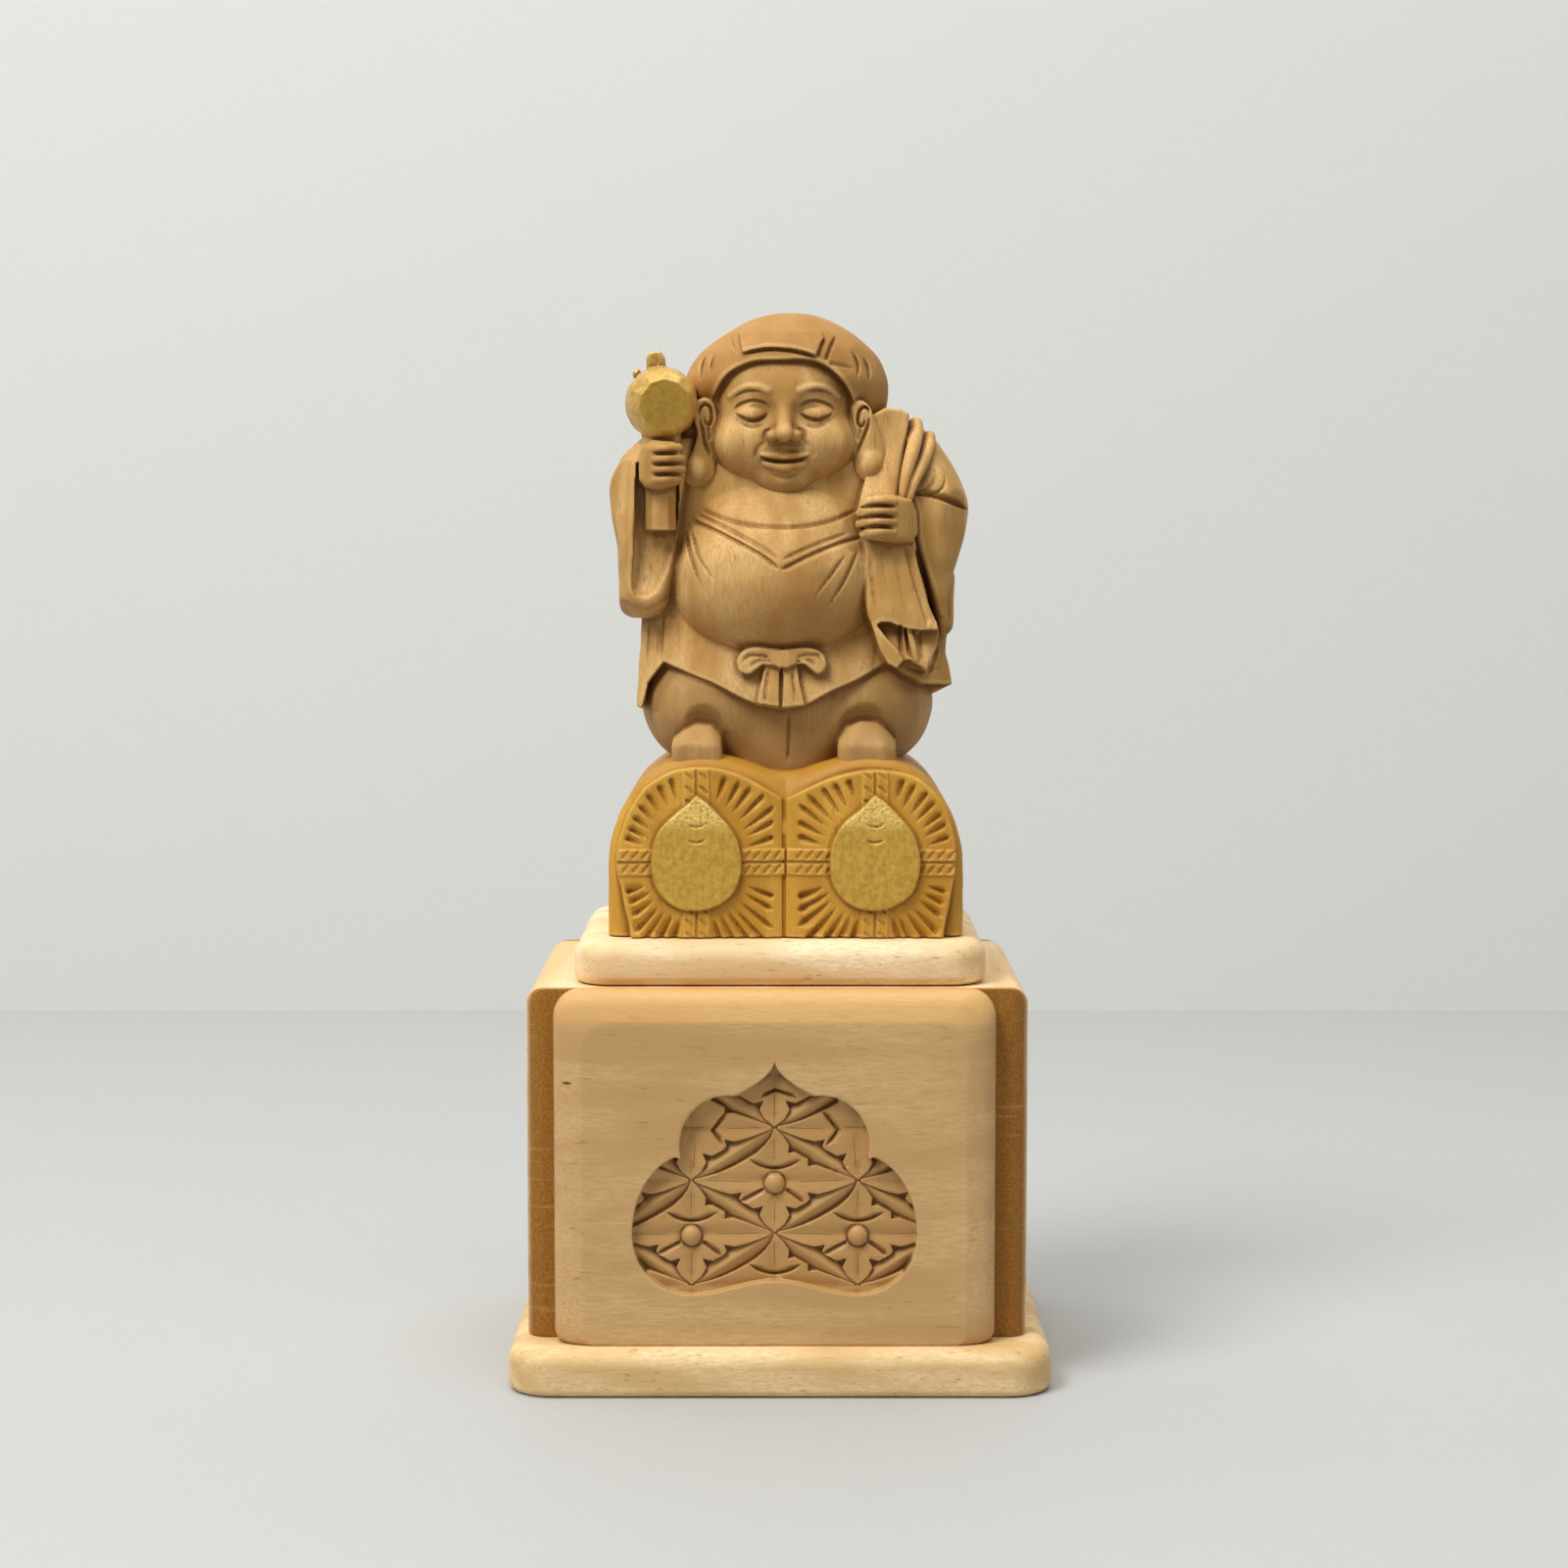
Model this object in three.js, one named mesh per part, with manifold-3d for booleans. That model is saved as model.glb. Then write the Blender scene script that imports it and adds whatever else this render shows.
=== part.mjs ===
// A carved wooden Daikoku standing on two straw rice bales, with a rounded plinth, a wooden block,
// a carved front panel and a rounded base plate. Millimetres, +Z up, the front faces -Y, and the
// origin is the middle of the base plate's underside.
import * as THREE from "three";
import { mergeVertices } from "three/addons/utils/BufferGeometryUtils.js";
import Module from "manifold-3d";

const wasm = await Module();
wasm.setup();

// Driving dimensions of the stand. A setback is from the front of what carries the piece, a shift
// is from its middle, and the panel rises a little above the block that it covers.
const GLUE_LINE = 0.1;
const BASE_WIDTH = 93.4;
const BASE_DEPTH = 78;
const BASE_THICKNESS = 8.2;
const BASE_CORNER = 8;
const BASE_TOP_EDGE = 3.2;
const BASE_LOWER_EDGE = 1.5;
const PANEL_WIDTH = 75.5;
const PANEL_RISE = 0.3;
const PANEL_THICKNESS = 5.8;
const PANEL_CORNER = 4.5;
const PANEL_LOWER_CORNER = 2;
const PANEL_EDGE = 3.8;
const PANEL_SETBACK = 3.5;
const PANEL_SHIFT = -0.4;
const BLOCK_WIDTH = 86.4;
const BLOCK_DEPTH = 64;
const BLOCK_HEIGHT = 60.5;
const BLOCK_CORNER = 3.5;
const BLOCK_TOP_EDGE = 3;
const BLOCK_SHIFT = -0.5;
const PLINTH_WIDTH = 71.5;
const PLINTH_DEPTH = 55;
const PLINTH_THICKNESS = 7.8;
const PLINTH_CORNER = 7;
const PLINTH_TOP_EDGE = 3.4;
const PLINTH_LOWER_EDGE = 1.7;
const PLINTH_SETBACK = 2.6;
const PLINTH_SHIFT = 0.5;

// Driving dimensions of the window carved in the front panel
const WINDOW_WIDTH = 48.6;
const WINDOW_HEIGHT = 40.3;
const WINDOW_FOOT = 8.7;
const WINDOW_DEPTH = 1.6;
const CELL_WIDTH = 28.4;
const CELL_HEIGHT = 18.2;
const CELL_MIDDLE = 19.5;
const LATTICE_CUT_WIDTH = 3.6;
const LATTICE_CUT_DEPTH = 1.5;
const PETAL_CUT_WIDTH = 1.1;
const PETAL_CUT_DEPTH = 0.8;
const PEARL_RADIUS = 1.5;

// Driving dimensions of the figure. Its forms are drawn in units, and this many units are its
// whole height, so all of them follow the height.
const FIGURE_HEIGHT = 108.5;
const UNITS_IN_FIGURE = 108.5;
const FIGURE_SHIFT = 1;
const FIGURE_SETBACK = 3.5;
const SHARE = FIGURE_HEIGHT / UNITS_IN_FIGURE;

// How finely round forms are cut
const RING_SIDES = 20;
const BALL_SIDES = 14;
const BALL_RINGS = 7;
const ROD_SIDES = 8;
const ARC_STEPS = 6;
const EDGE_STEPS = 2;
const CUT_STEPS = 5;
const CORNER_STEPS = 3;
const SMALLEST_CORNER = 0.2;

// The signs of both directions in each quarter turn, counted from the right
const QUARTERS = [
  [1, 1],
  [-1, 1],
  [-1, -1],
  [1, -1],
];

// Turns a closed geometry into a solid that can be joined and cut.
function solidOf(geometry) {
  const bare = new THREE.BufferGeometry();
  bare.setAttribute("position", geometry.getAttribute("position"));
  if (geometry.index) bare.setIndex(geometry.index);
  const merged = mergeVertices(bare, 1e-4);
  const mesh = new wasm.Mesh({
    numProp: 3,
    vertProperties: merged.attributes.position.array,
    triVerts: new Uint32Array(merged.index.array),
  });
  return new wasm.Manifold(mesh);
}

// Turns a solid back into a geometry with flat faces.
function geometryOf(solid) {
  const mesh = solid.getMesh();
  const geometry = new THREE.BufferGeometry();
  geometry.setAttribute("position", new THREE.BufferAttribute(new Float32Array(mesh.vertProperties), 3));
  geometry.setIndex(new THREE.BufferAttribute(new Uint32Array(mesh.triVerts), 1));
  const flat = geometry.toNonIndexed();
  flat.computeVertexNormals();
  return flat;
}

const join = (solids) => solids.reduce((whole, next) => whole.add(next));
const cut = (solid, cutters) => (cutters.length ? solid.subtract(join(cutters)) : solid);
const degrees = THREE.MathUtils.degToRad;

// Closes a run of equal rings of points into one solid, with a fan over each end.
function skin(rings) {
  const sides = rings[0].length;
  const middle = (ring) => ring.reduce((sum, p) => sum.add(p), new THREE.Vector3()).divideScalar(sides);
  const points = [...rings.flat(), middle(rings[0]), middle(rings.at(-1))];
  const lowEnd = rings.length * sides;
  const highEnd = lowEnd + 1;
  const lastRing = lowEnd - sides;
  const index = [];
  for (let side = 0; side < sides; side++) {
    const next = (side + 1) % sides;
    for (let row = 0; row < rings.length - 1; row++) {
      const a = row * sides + side;
      const b = row * sides + next;
      index.push(a, b, b + sides, a, b + sides, a + sides);
    }
    index.push(lowEnd, next, side, highEnd, lastRing + side, lastRing + next);
  }
  const geometry = new THREE.BufferGeometry().setFromPoints(points);
  geometry.setIndex(index);
  return solidOf(geometry);
}

// A ball stretched to three radii and turned by degrees about X, Y and Z.
function ball({ at, size, turn = [0, 0, 0], sides = BALL_SIDES, rings = BALL_RINGS }) {
  const geometry = new THREE.SphereGeometry(1, sides, rings);
  geometry.rotateX(Math.PI / 2);
  geometry.scale(...size.map((radius) => radius * SHARE));
  const [aboutX, aboutY, aboutZ] = turn.map(degrees);
  geometry.rotateX(aboutX);
  geometry.rotateY(aboutY);
  geometry.rotateZ(aboutZ);
  geometry.translate(...at.map((place) => place * SHARE));
  return solidOf(geometry);
}

// A form built up from level ovals. Each row is height, middle x, middle y, half width and half
// depth. Fullness 2 is an ellipse, and more is squarer.
function stack({ rows, fullness = 2, sides = RING_SIDES }) {
  const bulge = (value) => Math.sign(value) * Math.abs(value) ** (2 / fullness);
  const rings = rows.map(([z, x, y, halfWidth, halfDepth]) =>
    Array.from({ length: sides }, (_, side) => {
      const angle = (2 * Math.PI * side) / sides;
      const across = x + halfWidth * bulge(Math.cos(angle));
      const inward = y + halfDepth * bulge(Math.sin(angle));
      return new THREE.Vector3(across, inward, z).multiplyScalar(SHARE);
    }),
  );
  return skin(rings);
}

// A rod through points, each with its own radius.
function rod({ points, radii, sides = ROD_SIDES, flatness = 1 }) {
  const path = points.map((p) => new THREE.Vector3(...p));
  const rings = path.map((point, i) => {
    const before = path[Math.max(i - 1, 0)];
    const after = path[Math.min(i + 1, path.length - 1)];
    const along = after.clone().sub(before).normalize();
    const aside = new THREE.Vector3(0, 1, 0).cross(along);
    if (aside.length() < 0.1) aside.set(1, 0, 0);
    aside.normalize();
    const outward = along.clone().cross(aside);
    return Array.from({ length: sides }, (_, side) => {
      const angle = (2 * Math.PI * (side + 0.5)) / sides;
      const spot = point.clone();
      spot.addScaledVector(aside, radii[i] * Math.cos(angle));
      spot.addScaledVector(outward, radii[i] * flatness * Math.sin(angle));
      return spot.multiplyScalar(SHARE);
    });
  });
  return skin(rings);
}

// A smooth line through a few points in front view, as evenly spread points.
function curveThrough(points, steps) {
  return new THREE.SplineCurve(points.map((p) => new THREE.Vector2(...p))).getSpacedPoints(steps);
}

const sharpShape = (points) => new THREE.Shape(points.map(([x, z]) => new THREE.Vector2(x, z)));

// A shape drawn in front view, given thickness from the front plane to the back plane. The round
// edge takes from the thickness and from the outline.
function slab({ shape, front, back, edge = 0, edgeDepth = edge, scale = SHARE }) {
  const geometry = new THREE.ExtrudeGeometry(shape, {
    depth: back - front - 2 * edgeDepth,
    curveSegments: ARC_STEPS,
    bevelEnabled: edge > 0,
    bevelThickness: edgeDepth,
    bevelSize: edge,
    bevelOffset: -edge,
    bevelSegments: EDGE_STEPS,
  });
  geometry.rotateX(Math.PI / 2);
  geometry.translate(0, back - edgeDepth, 0);
  geometry.scale(scale, scale, scale);
  return solidOf(geometry);
}

// The corners of a rectangle with round corners about the origin, drawn in by an inset.
function roundedRectangle(width, height, radius, inset = 0) {
  const corner = Math.max(radius - inset, SMALLEST_CORNER);
  const x = width / 2 - inset - corner;
  const y = height / 2 - inset - corner;
  const points = [];
  QUARTERS.forEach(([sideX, sideY], quarter) => {
    for (let i = 0; i <= CORNER_STEPS; i++) {
      const angle = (Math.PI / 2) * (quarter + i / CORNER_STEPS);
      points.push([sideX * x + corner * Math.cos(angle), sideY * y + corner * Math.sin(angle)]);
    }
  });
  return points;
}

// A flat board with round corners, resting on z = 0, with a round edge above and another below.
function board({ width, depth, thickness, corner, topEdge, lowerEdge = 0 }) {
  const levels = [];
  const steps = EDGE_STEPS + 1;
  for (let i = 0; i <= (lowerEdge ? steps : 0); i++) {
    const angle = ((Math.PI / 2) * i) / steps;
    levels.push([lowerEdge * (1 - Math.cos(angle)), lowerEdge * (1 - Math.sin(angle))]);
  }
  for (let i = 0; i <= steps; i++) {
    const angle = ((Math.PI / 2) * i) / steps;
    levels.push([thickness - topEdge * (1 - Math.sin(angle)), topEdge * (1 - Math.cos(angle))]);
  }
  const rings = levels.map(([z, inset]) =>
    roundedRectangle(width, depth, corner, inset).map(([x, y]) => new THREE.Vector3(x, y, z)),
  );
  return skin(rings);
}

// The block: round upright corners in plan, and round upper edges in front view.
function makeBlock() {
  const x = BLOCK_WIDTH / 2;
  const top = BLOCK_HEIGHT - BLOCK_TOP_EDGE;
  const front = new THREE.Shape();
  front.moveTo(-x, 0);
  front.lineTo(x, 0);
  front.lineTo(x, top);
  front.absarc(x - BLOCK_TOP_EDGE, top, BLOCK_TOP_EDGE, 0, Math.PI / 2);
  front.lineTo(-x + BLOCK_TOP_EDGE, BLOCK_HEIGHT);
  front.absarc(-x + BLOCK_TOP_EDGE, top, BLOCK_TOP_EDGE, Math.PI / 2, Math.PI);
  const plan = sharpShape(roundedRectangle(BLOCK_WIDTH, BLOCK_DEPTH, BLOCK_CORNER));
  const upright = new THREE.ExtrudeGeometry(plan, {
    depth: BLOCK_HEIGHT,
    curveSegments: ARC_STEPS,
    bevelEnabled: false,
  });
  const across = slab({ shape: front, front: -BLOCK_DEPTH, back: BLOCK_DEPTH, scale: 1 });
  return solidOf(upright).intersect(across);
}

// The window's outline about the middle of its foot: a pointed tip with hollow sides, a small lobe
// and a large lobe on each side, and a wave along the foot. Numbers are shares of its half width
// and its height.
function windowPoints() {
  const shoulder = { x: 0.33, z: 0.64, wide: 0.335, high: 0.215, from: 97, to: -16 };
  const lobe = { x: 0.585, z: 0.26, wide: 0.415, high: 0.345, from: 75, to: -90, low: 0.26 };
  const half = [];
  for (let i = 0; i < ARC_STEPS; i++) {
    const t = i / ARC_STEPS;
    half.push([0.28 * t ** 1.3, 1 - 0.205 * t ** 0.8 + 0.058 * t]);
  }
  for (const arc of [shoulder, lobe]) {
    for (let i = 0; i <= 2 * CORNER_STEPS; i++) {
      const angle = degrees(arc.from + ((arc.to - arc.from) * i) / (2 * CORNER_STEPS));
      const reach = angle < 0 && arc.low ? arc.low : arc.high;
      half.push([arc.x + arc.wide * Math.cos(angle), arc.z + reach * Math.sin(angle)]);
    }
  }
  for (let i = 1; i <= ARC_STEPS; i++) {
    const t = i / ARC_STEPS;
    half.push([lobe.x * (1 - t), 0.03 * (1 - Math.cos(Math.PI * t))]);
  }
  const place = ([x, z], side) => [(side * x * WINDOW_WIDTH) / 2, WINDOW_FOOT + z * WINDOW_HEIGHT];
  const right = half.map((point) => place(point, 1));
  const left = half.slice(1, -1).map((point) => place(point, -1));
  return [...right, ...left.reverse()];
}

// How far a gouge stands out of the surface, as a share of its cut
const GOUGE_STANDS_OUT = 0.7;

// A cut with a V section along a line, deepest in the middle and running out at both ends, as a
// gouge leaves it. Each point of the line is a place on the surface.
function gouge({ line, width, depth, ends = 0.12, scale = SHARE }) {
  const last = line.length - 1;
  const rings = line.map((point, i) => {
    const swell = Math.max(ends, Math.sin((Math.PI * i) / last));
    const before = line[Math.max(i - 1, 0)];
    const after = line[Math.min(i + 1, last)];
    const aside = new THREE.Vector3(before.z - after.z, 0, after.x - before.x);
    aside.normalize().multiplyScalar((swell * width * (1 + GOUGE_STANDS_OUT)) / 2);
    const outward = new THREE.Vector3(0, -swell * depth * GOUGE_STANDS_OUT, 0);
    const left = outward.clone().add(aside);
    const right = outward.clone().sub(aside);
    const bottom = new THREE.Vector3(0, swell * depth, 0);
    return [left, right, bottom].map((corner) => corner.add(point).multiplyScalar(scale));
  });
  return skin(rings);
}

// Places along a straight line on the upright plane y.
function straightLine(from, to, y, steps = CUT_STEPS) {
  return Array.from({ length: steps }, (_, i) => {
    const t = i / (steps - 1);
    return new THREE.Vector3(from[0] + (to[0] - from[0]) * t, y, from[1] + (to[1] - from[1]) * t);
  });
}

// A place in the lattice, counted in half cells from its middle.
function cellPlace(i, j) {
  return [(i * CELL_WIDTH) / 2, WINDOW_FOOT + CELL_MIDDLE + (j * CELL_HEIGHT) / 2];
}

// Where a cut between two petals starts and ends, in half cells from the flower's middle
const PETAL = { from: [0.08, 0.12], to: [0.42, 0.36] };

// The lattice of pointed cells: boat-shaped cuts between the knots, crossing cuts between the
// petals.
function latticeCuts(field) {
  const cuts = [];
  const halfCellsAcross = Math.ceil(WINDOW_WIDTH / CELL_WIDTH) + 1;
  const halfCellsUp = Math.ceil(WINDOW_HEIGHT / CELL_HEIGHT);
  for (let i = -halfCellsAcross; i < halfCellsAcross; i++) {
    for (let j = -halfCellsUp; j <= halfCellsUp; j++) {
      const isKnot = (i + j) % 2 !== 0;
      if (isKnot) {
        for (const step of [-1, 1]) {
          const line = straightLine(cellPlace(i, j), cellPlace(i + 1, j + step), field);
          cuts.push(gouge({ line, width: LATTICE_CUT_WIDTH, depth: LATTICE_CUT_DEPTH, scale: 1 }));
        }
      } else {
        for (const [side, rise] of QUARTERS) {
          const from = cellPlace(i + side * PETAL.from[0], j + rise * PETAL.from[1]);
          const to = cellPlace(i + side * PETAL.to[0], j + rise * PETAL.to[1]);
          const line = straightLine(from, to, field, 3);
          cuts.push(gouge({ line, width: PETAL_CUT_WIDTH, depth: PETAL_CUT_DEPTH, scale: 1 }));
        }
      }
    }
  }
  return cuts;
}

// A pearl in the middle of each flower that shows whole.
function pearls(field) {
  const wholeFlowers = [
    [0, 0],
    [-1, -1],
    [1, -1],
  ];
  return wholeFlowers.map(([i, j]) => {
    const [x, z] = cellPlace(i, j);
    const geometry = new THREE.SphereGeometry(PEARL_RADIUS, 10, 6);
    geometry.translate(x, field, z);
    return solidOf(geometry);
  });
}

// The front panel, with its face at y = 0 and its foot at z = 0: as high as the block and a little
// more, with round front edges at the sides and the top, a square foot, a flat back, and the carved
// window.
function makePanel() {
  const height = BLOCK_HEIGHT + PANEL_RISE;
  const belowFoot = PANEL_EDGE + PANEL_CORNER;
  const lying = board({
    width: PANEL_WIDTH,
    depth: height + belowFoot,
    thickness: PANEL_THICKNESS,
    corner: PANEL_CORNER,
    topEdge: PANEL_EDGE,
  });
  const upright = geometryOf(lying);
  upright.rotateX(Math.PI / 2);
  upright.translate(0, PANEL_THICKNESS, (height - belowFoot) / 2);
  const front = roundedRectangle(PANEL_WIDTH, 2 * height, PANEL_LOWER_CORNER);
  const raised = front.map(([x, z]) => [x, z + height]);
  const before = -PANEL_THICKNESS;
  const behind = 2 * PANEL_THICKNESS;
  const room = slab({ shape: sharpShape(raised), front: before, back: behind, scale: 1 });
  const window = sharpShape(windowPoints());
  const recess = slab({ shape: window, front: before, back: WINDOW_DEPTH, scale: 1 });
  const inside = slab({ shape: window, front: before, back: behind, scale: 1 });
  const pattern = join(latticeCuts(WINDOW_DEPTH)).intersect(inside);
  const carved = solidOf(upright).intersect(room).subtract(recess).subtract(pattern);
  return carved.add(join(pearls(WINDOW_DEPTH)).intersect(inside));
}

// A reach past every form of the figure, for cuts that go right through
const BEYOND = 60;

// The two bales, in front view: outer side, shoulder, crown and valley of one bale
const BALE = {
  axis: 15.3,
  shoulder: 11.8,
  outer: 15.5,
  inner: 20.3,
  crown: 19.3,
  front: -22.5,
  back: 22.5,
  taper: 1.5,
  taperDepth: 7,
};
const JEWEL = { x: 15.4, z: 12.5, radius: 7.5, tip: 24.5, thick: 1.6 };
const ROPE = { gap: 2.45, radius: 1.15, height: 13.2, lean: -0.1 };
const STRAW = { cuts: 34, width: 1.9, depth: 1, rim: 0.5, around: 1.2, aboveJewel: 3, shortest: 2.5 };
const SADDLE = [
  [12, 20],
  [12, 30.2],
  [6, 28.8],
  [0, 27.9],
  [-6, 28.8],
  [-12, 30.2],
  [-12, 20],
];

// The outline of both bales, drawn in by an inset.
function baleShape(inset) {
  const valley = Math.acos(BALE.axis / BALE.inner);
  const points = [[-BALE.axis - BALE.outer + inset, -4]];
  const steps = 2 * ARC_STEPS;
  for (let i = 0; i <= steps; i++) {
    const angle = Math.PI - ((Math.PI - valley) * i) / steps;
    const reach = angle > Math.PI / 2 ? BALE.outer - inset : BALE.inner;
    const across = -BALE.axis + reach * Math.cos(angle);
    points.push([across, BALE.shoulder + (BALE.crown - inset) * Math.sin(angle)]);
  }
  const mirrored = points.slice(0, -1).map(([x, z]) => [-x, z]);
  return sharpShape([...points, ...mirrored.reverse()].reverse());
}

// A drop: round below, with a point on top.
function dropShape(x, z, radius, tip) {
  const rise = (tip - z) / radius;
  const touch = Math.acos(1 / rise);
  const points = [[x, tip]];
  const steps = 3 * ARC_STEPS;
  for (let i = 0; i <= steps; i++) {
    const angle = Math.PI / 2 + touch + ((2 * Math.PI - 2 * touch) * i) / steps;
    points.push([x + radius * Math.cos(angle), z + radius * Math.sin(angle)]);
  }
  return sharpShape(points);
}

// Whether a place in front view lies on a bale's face, with a margin to its rim, foot and valley.
function onBaleFace(x, z, margin) {
  const across = Math.abs(x) - BALE.axis;
  const reach = across > 0 ? BALE.outer - BALE.taper - margin : BALE.inner - margin;
  const rise = Math.max(0, z - BALE.shoulder) / (BALE.crown - BALE.taper - margin);
  return Math.hypot(across / reach, rise) < 1 && z > margin && Math.abs(x) > margin;
}

// Straw ends cut into one bale's face: a fan of gouge cuts that leaves the ropes' places free.
function strawCuts(side, face) {
  const cuts = [];
  for (let i = 0; i < STRAW.cuts; i++) {
    const angle = (2 * Math.PI * (i + 0.5)) / STRAW.cuts;
    const spot = (r) => [side * JEWEL.x + r * Math.cos(angle), JEWEL.z + r * Math.sin(angle)];
    const tip = STRAW.aboveJewel * Math.max(0, Math.sin(angle)) ** 3;
    const inner = JEWEL.radius + STRAW.around + tip;
    let outer = inner;
    while (onBaleFace(...spot(outer), STRAW.rim)) outer += 0.2;
    const toRope = Math.min(Math.abs(Math.sin(angle)), Math.abs(Math.cos(angle)));
    const clear = toRope * ((inner + outer) / 2) > ROPE.gap + ROPE.radius;
    if (!clear || outer - inner < STRAW.shortest) continue;
    const line = straightLine(spot(inner), spot(outer), face, 3);
    cuts.push(gouge({ line, width: STRAW.width, depth: STRAW.depth }));
  }
  return cuts;
}

// The ropes over a bale's face: two side by side across it and two up it.
function ropes(side, face) {
  const made = [];
  for (const offset of [-ROPE.gap / 2, ROPE.gap / 2]) {
    const level = ROPE.height + offset;
    const start = [side * 0.3, face, level];
    const finish = [side * (BALE.axis + BALE.outer - BALE.taper), face, level + ROPE.lean];
    const x = side * JEWEL.x + offset;
    const foot = [x, face, 0.2];
    const top = [x, face, BALE.shoulder + BALE.crown - 2];
    for (const points of [[start, finish], [foot, top]]) {
      made.push(rod({ points, radii: [ROPE.radius, ROPE.radius], flatness: 0.75, sides: 6 }));
    }
  }
  return made;
}

// Both bales, with straw cuts, ropes and a raised jewel on each front face.
function makeBales() {
  const body = slab({
    shape: baleShape(0),
    front: BALE.front,
    back: BALE.back,
    edge: BALE.taper,
    edgeDepth: BALE.taperDepth,
  });
  const saddle = slab({ shape: sharpShape(SADDLE), front: -19, back: 20, edge: 1.4, edgeDepth: 4 });
  const seam = straightLine([0, 0.3], [0, 24.5], BALE.front, 3);
  const cuts = [gouge({ line: seam, width: 1.4, depth: 1, ends: 0.8 })];
  const raised = [];
  for (const side of [-1, 1]) {
    const shape = dropShape(side * JEWEL.x, JEWEL.z, JEWEL.radius, JEWEL.tip);
    cuts.push(...strawCuts(side, BALE.front));
    raised.push(...ropes(side, BALE.front));
    raised.push(slab({ shape, front: BALE.front - JEWEL.thick, back: BALE.front + 1, edge: 0.5 }));
  }
  const face = slab({ shape: baleShape(BALE.taper + 0.2), front: -BEYOND, back: BEYOND });
  const aboveFoot = sharpShape([[-BEYOND, 0], [BEYOND, 0], [BEYOND, BEYOND], [-BEYOND, BEYOND]]);
  const room = slab({ shape: aboveFoot, front: -BEYOND, back: BEYOND });
  return cut(body.add(saddle), cuts).add(join(raised).intersect(face)).intersect(room);
}

// Trousers: a round mass over each foot and one between them.
function makeTrousers() {
  return join([
    ball({ at: [-12.2, -0.8, 39], size: [13, 14.4, 11.5], sides: 16, rings: 8 }),
    ball({ at: [13, -0.8, 39.5], size: [13, 14.4, 12], sides: 16, rings: 8 }),
    stack({
      rows: [
        [25, 0.3, 0, 8, 13],
        [30, 0.3, 0, 15, 14],
        [36, 0.3, 0, 21, 14.2],
        [50, 0.3, 0, 24, 14],
      ],
    }),
  ]);
}

// Feet: cut with flat knife faces.
function makeFeet() {
  const left = [
    [-19.8, 28], [-19.7, 33.8], [-17.8, 35.6], [-15.4, 36.5], [-12.8, 36.2], [-11, 33.6],
    [-11, 28],
  ];
  const right = [[9, 28], [9.1, 33.8], [10.4, 36], [13.1, 36.9], [16, 36.6], [19.1, 33.8], [19.2, 28]];
  return [left, right].map((points) =>
    slab({ shape: sharpShape(points), front: -19, back: -4, edge: 1.1, edgeDepth: 1.6 }),
  );
}

// The coat: a wide body cut to its hem, which hangs in a point in front and flares at the right.
function makeCoat() {
  const body = stack({
    rows: [
      [34, 1.5, 1, 31, 17],
      [44, 1.2, 1, 29.5, 16.4],
      [52, 1, 0.8, 28, 14.8],
      [64, 0, 0.8, 26, 13.6],
      [74, 0, 1, 25, 13],
      [82, 0, 1.5, 24, 12],
      [88, 1, 2.5, 20, 10.5],
      [91.5, 2, 3, 14, 8],
    ],
    fullness: 2.3,
  });
  const top = [[28.4, 52], [28, 62], [29, 94], [-27, 94], [-25.6, 56]];
  const frontHem = [
    [-26.2, 39.3], [-25.2, 39], [-21.4, 47.2], [-12, 43.4], [-0.8, 39.2], [8, 42], [17.6, 47.4],
    [24, 43.2], [29.6, 42.9],
  ];
  const frontShape = sharpShape([...frontHem, ...top].reverse());
  const backHem = [[-26.2, 39.3], [-12, 37], [6, 36.4], [20, 38.6], [29.6, 42.9]];
  const backShape = sharpShape([...backHem, ...top].reverse());
  const front = slab({ shape: frontShape, front: -BEYOND, back: -4 });
  const back = slab({ shape: backShape, front: -4, back: BEYOND });
  return body.intersect(front.add(back));
}

// Belly and chest, one above the other.
function makeBelly() {
  return join([
    ball({ at: [-1.2, -4, 62], size: [19.4, 16.2, 13.4], sides: 20, rings: 11 }),
    ball({ at: [-0.6, -1.5, 72], size: [18.8, 14, 10.8], sides: 18, rings: 8 }),
  ]);
}

// Level ovals between a left and a right edge in front view, each row height, left, right, middle
// depth and half depth.
const betweenEdges = (rows) =>
  rows.map(([z, left, right, y, halfDepth]) => [z, (left + right) / 2, y, (right - left) / 2, halfDepth]);

// The viewer's left sleeve, which hangs from the raised arm with its opening to the front.
function makeLeftSleeve() {
  const body = stack({
    rows: betweenEdges([
      [55, -27.6, -23, -3, 5.5],
      [56.4, -29.4, -20.6, -3, 8.6],
      [61, -29.5, -18.8, -2.8, 9.4],
      [66, -29.5, -18.4, -2.6, 9.6],
      [71, -30.4, -18.2, -2.4, 9.8],
      [75.6, -31, -17.6, -2, 10.2],
      [79.4, -30.6, -16.8, -2, 10.2],
      [83, -28.8, -16, -1.6, 9.6],
      [86.2, -25.6, -15, -1, 7.6],
    ]),
    fullness: 3,
    sides: 20,
  });
  const opening = [
    [-19, 79],
    [-19.4, 71],
    [-20.6, 63.5],
    [-22.8, 59.2],
    [-24.8, 58],
    [-26.3, 58.6],
    [-27, 62],
    [-26.9, 79],
  ];
  return body.subtract(slab({ shape: sharpShape(opening), front: -BEYOND, back: -8.2 }));
}

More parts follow.
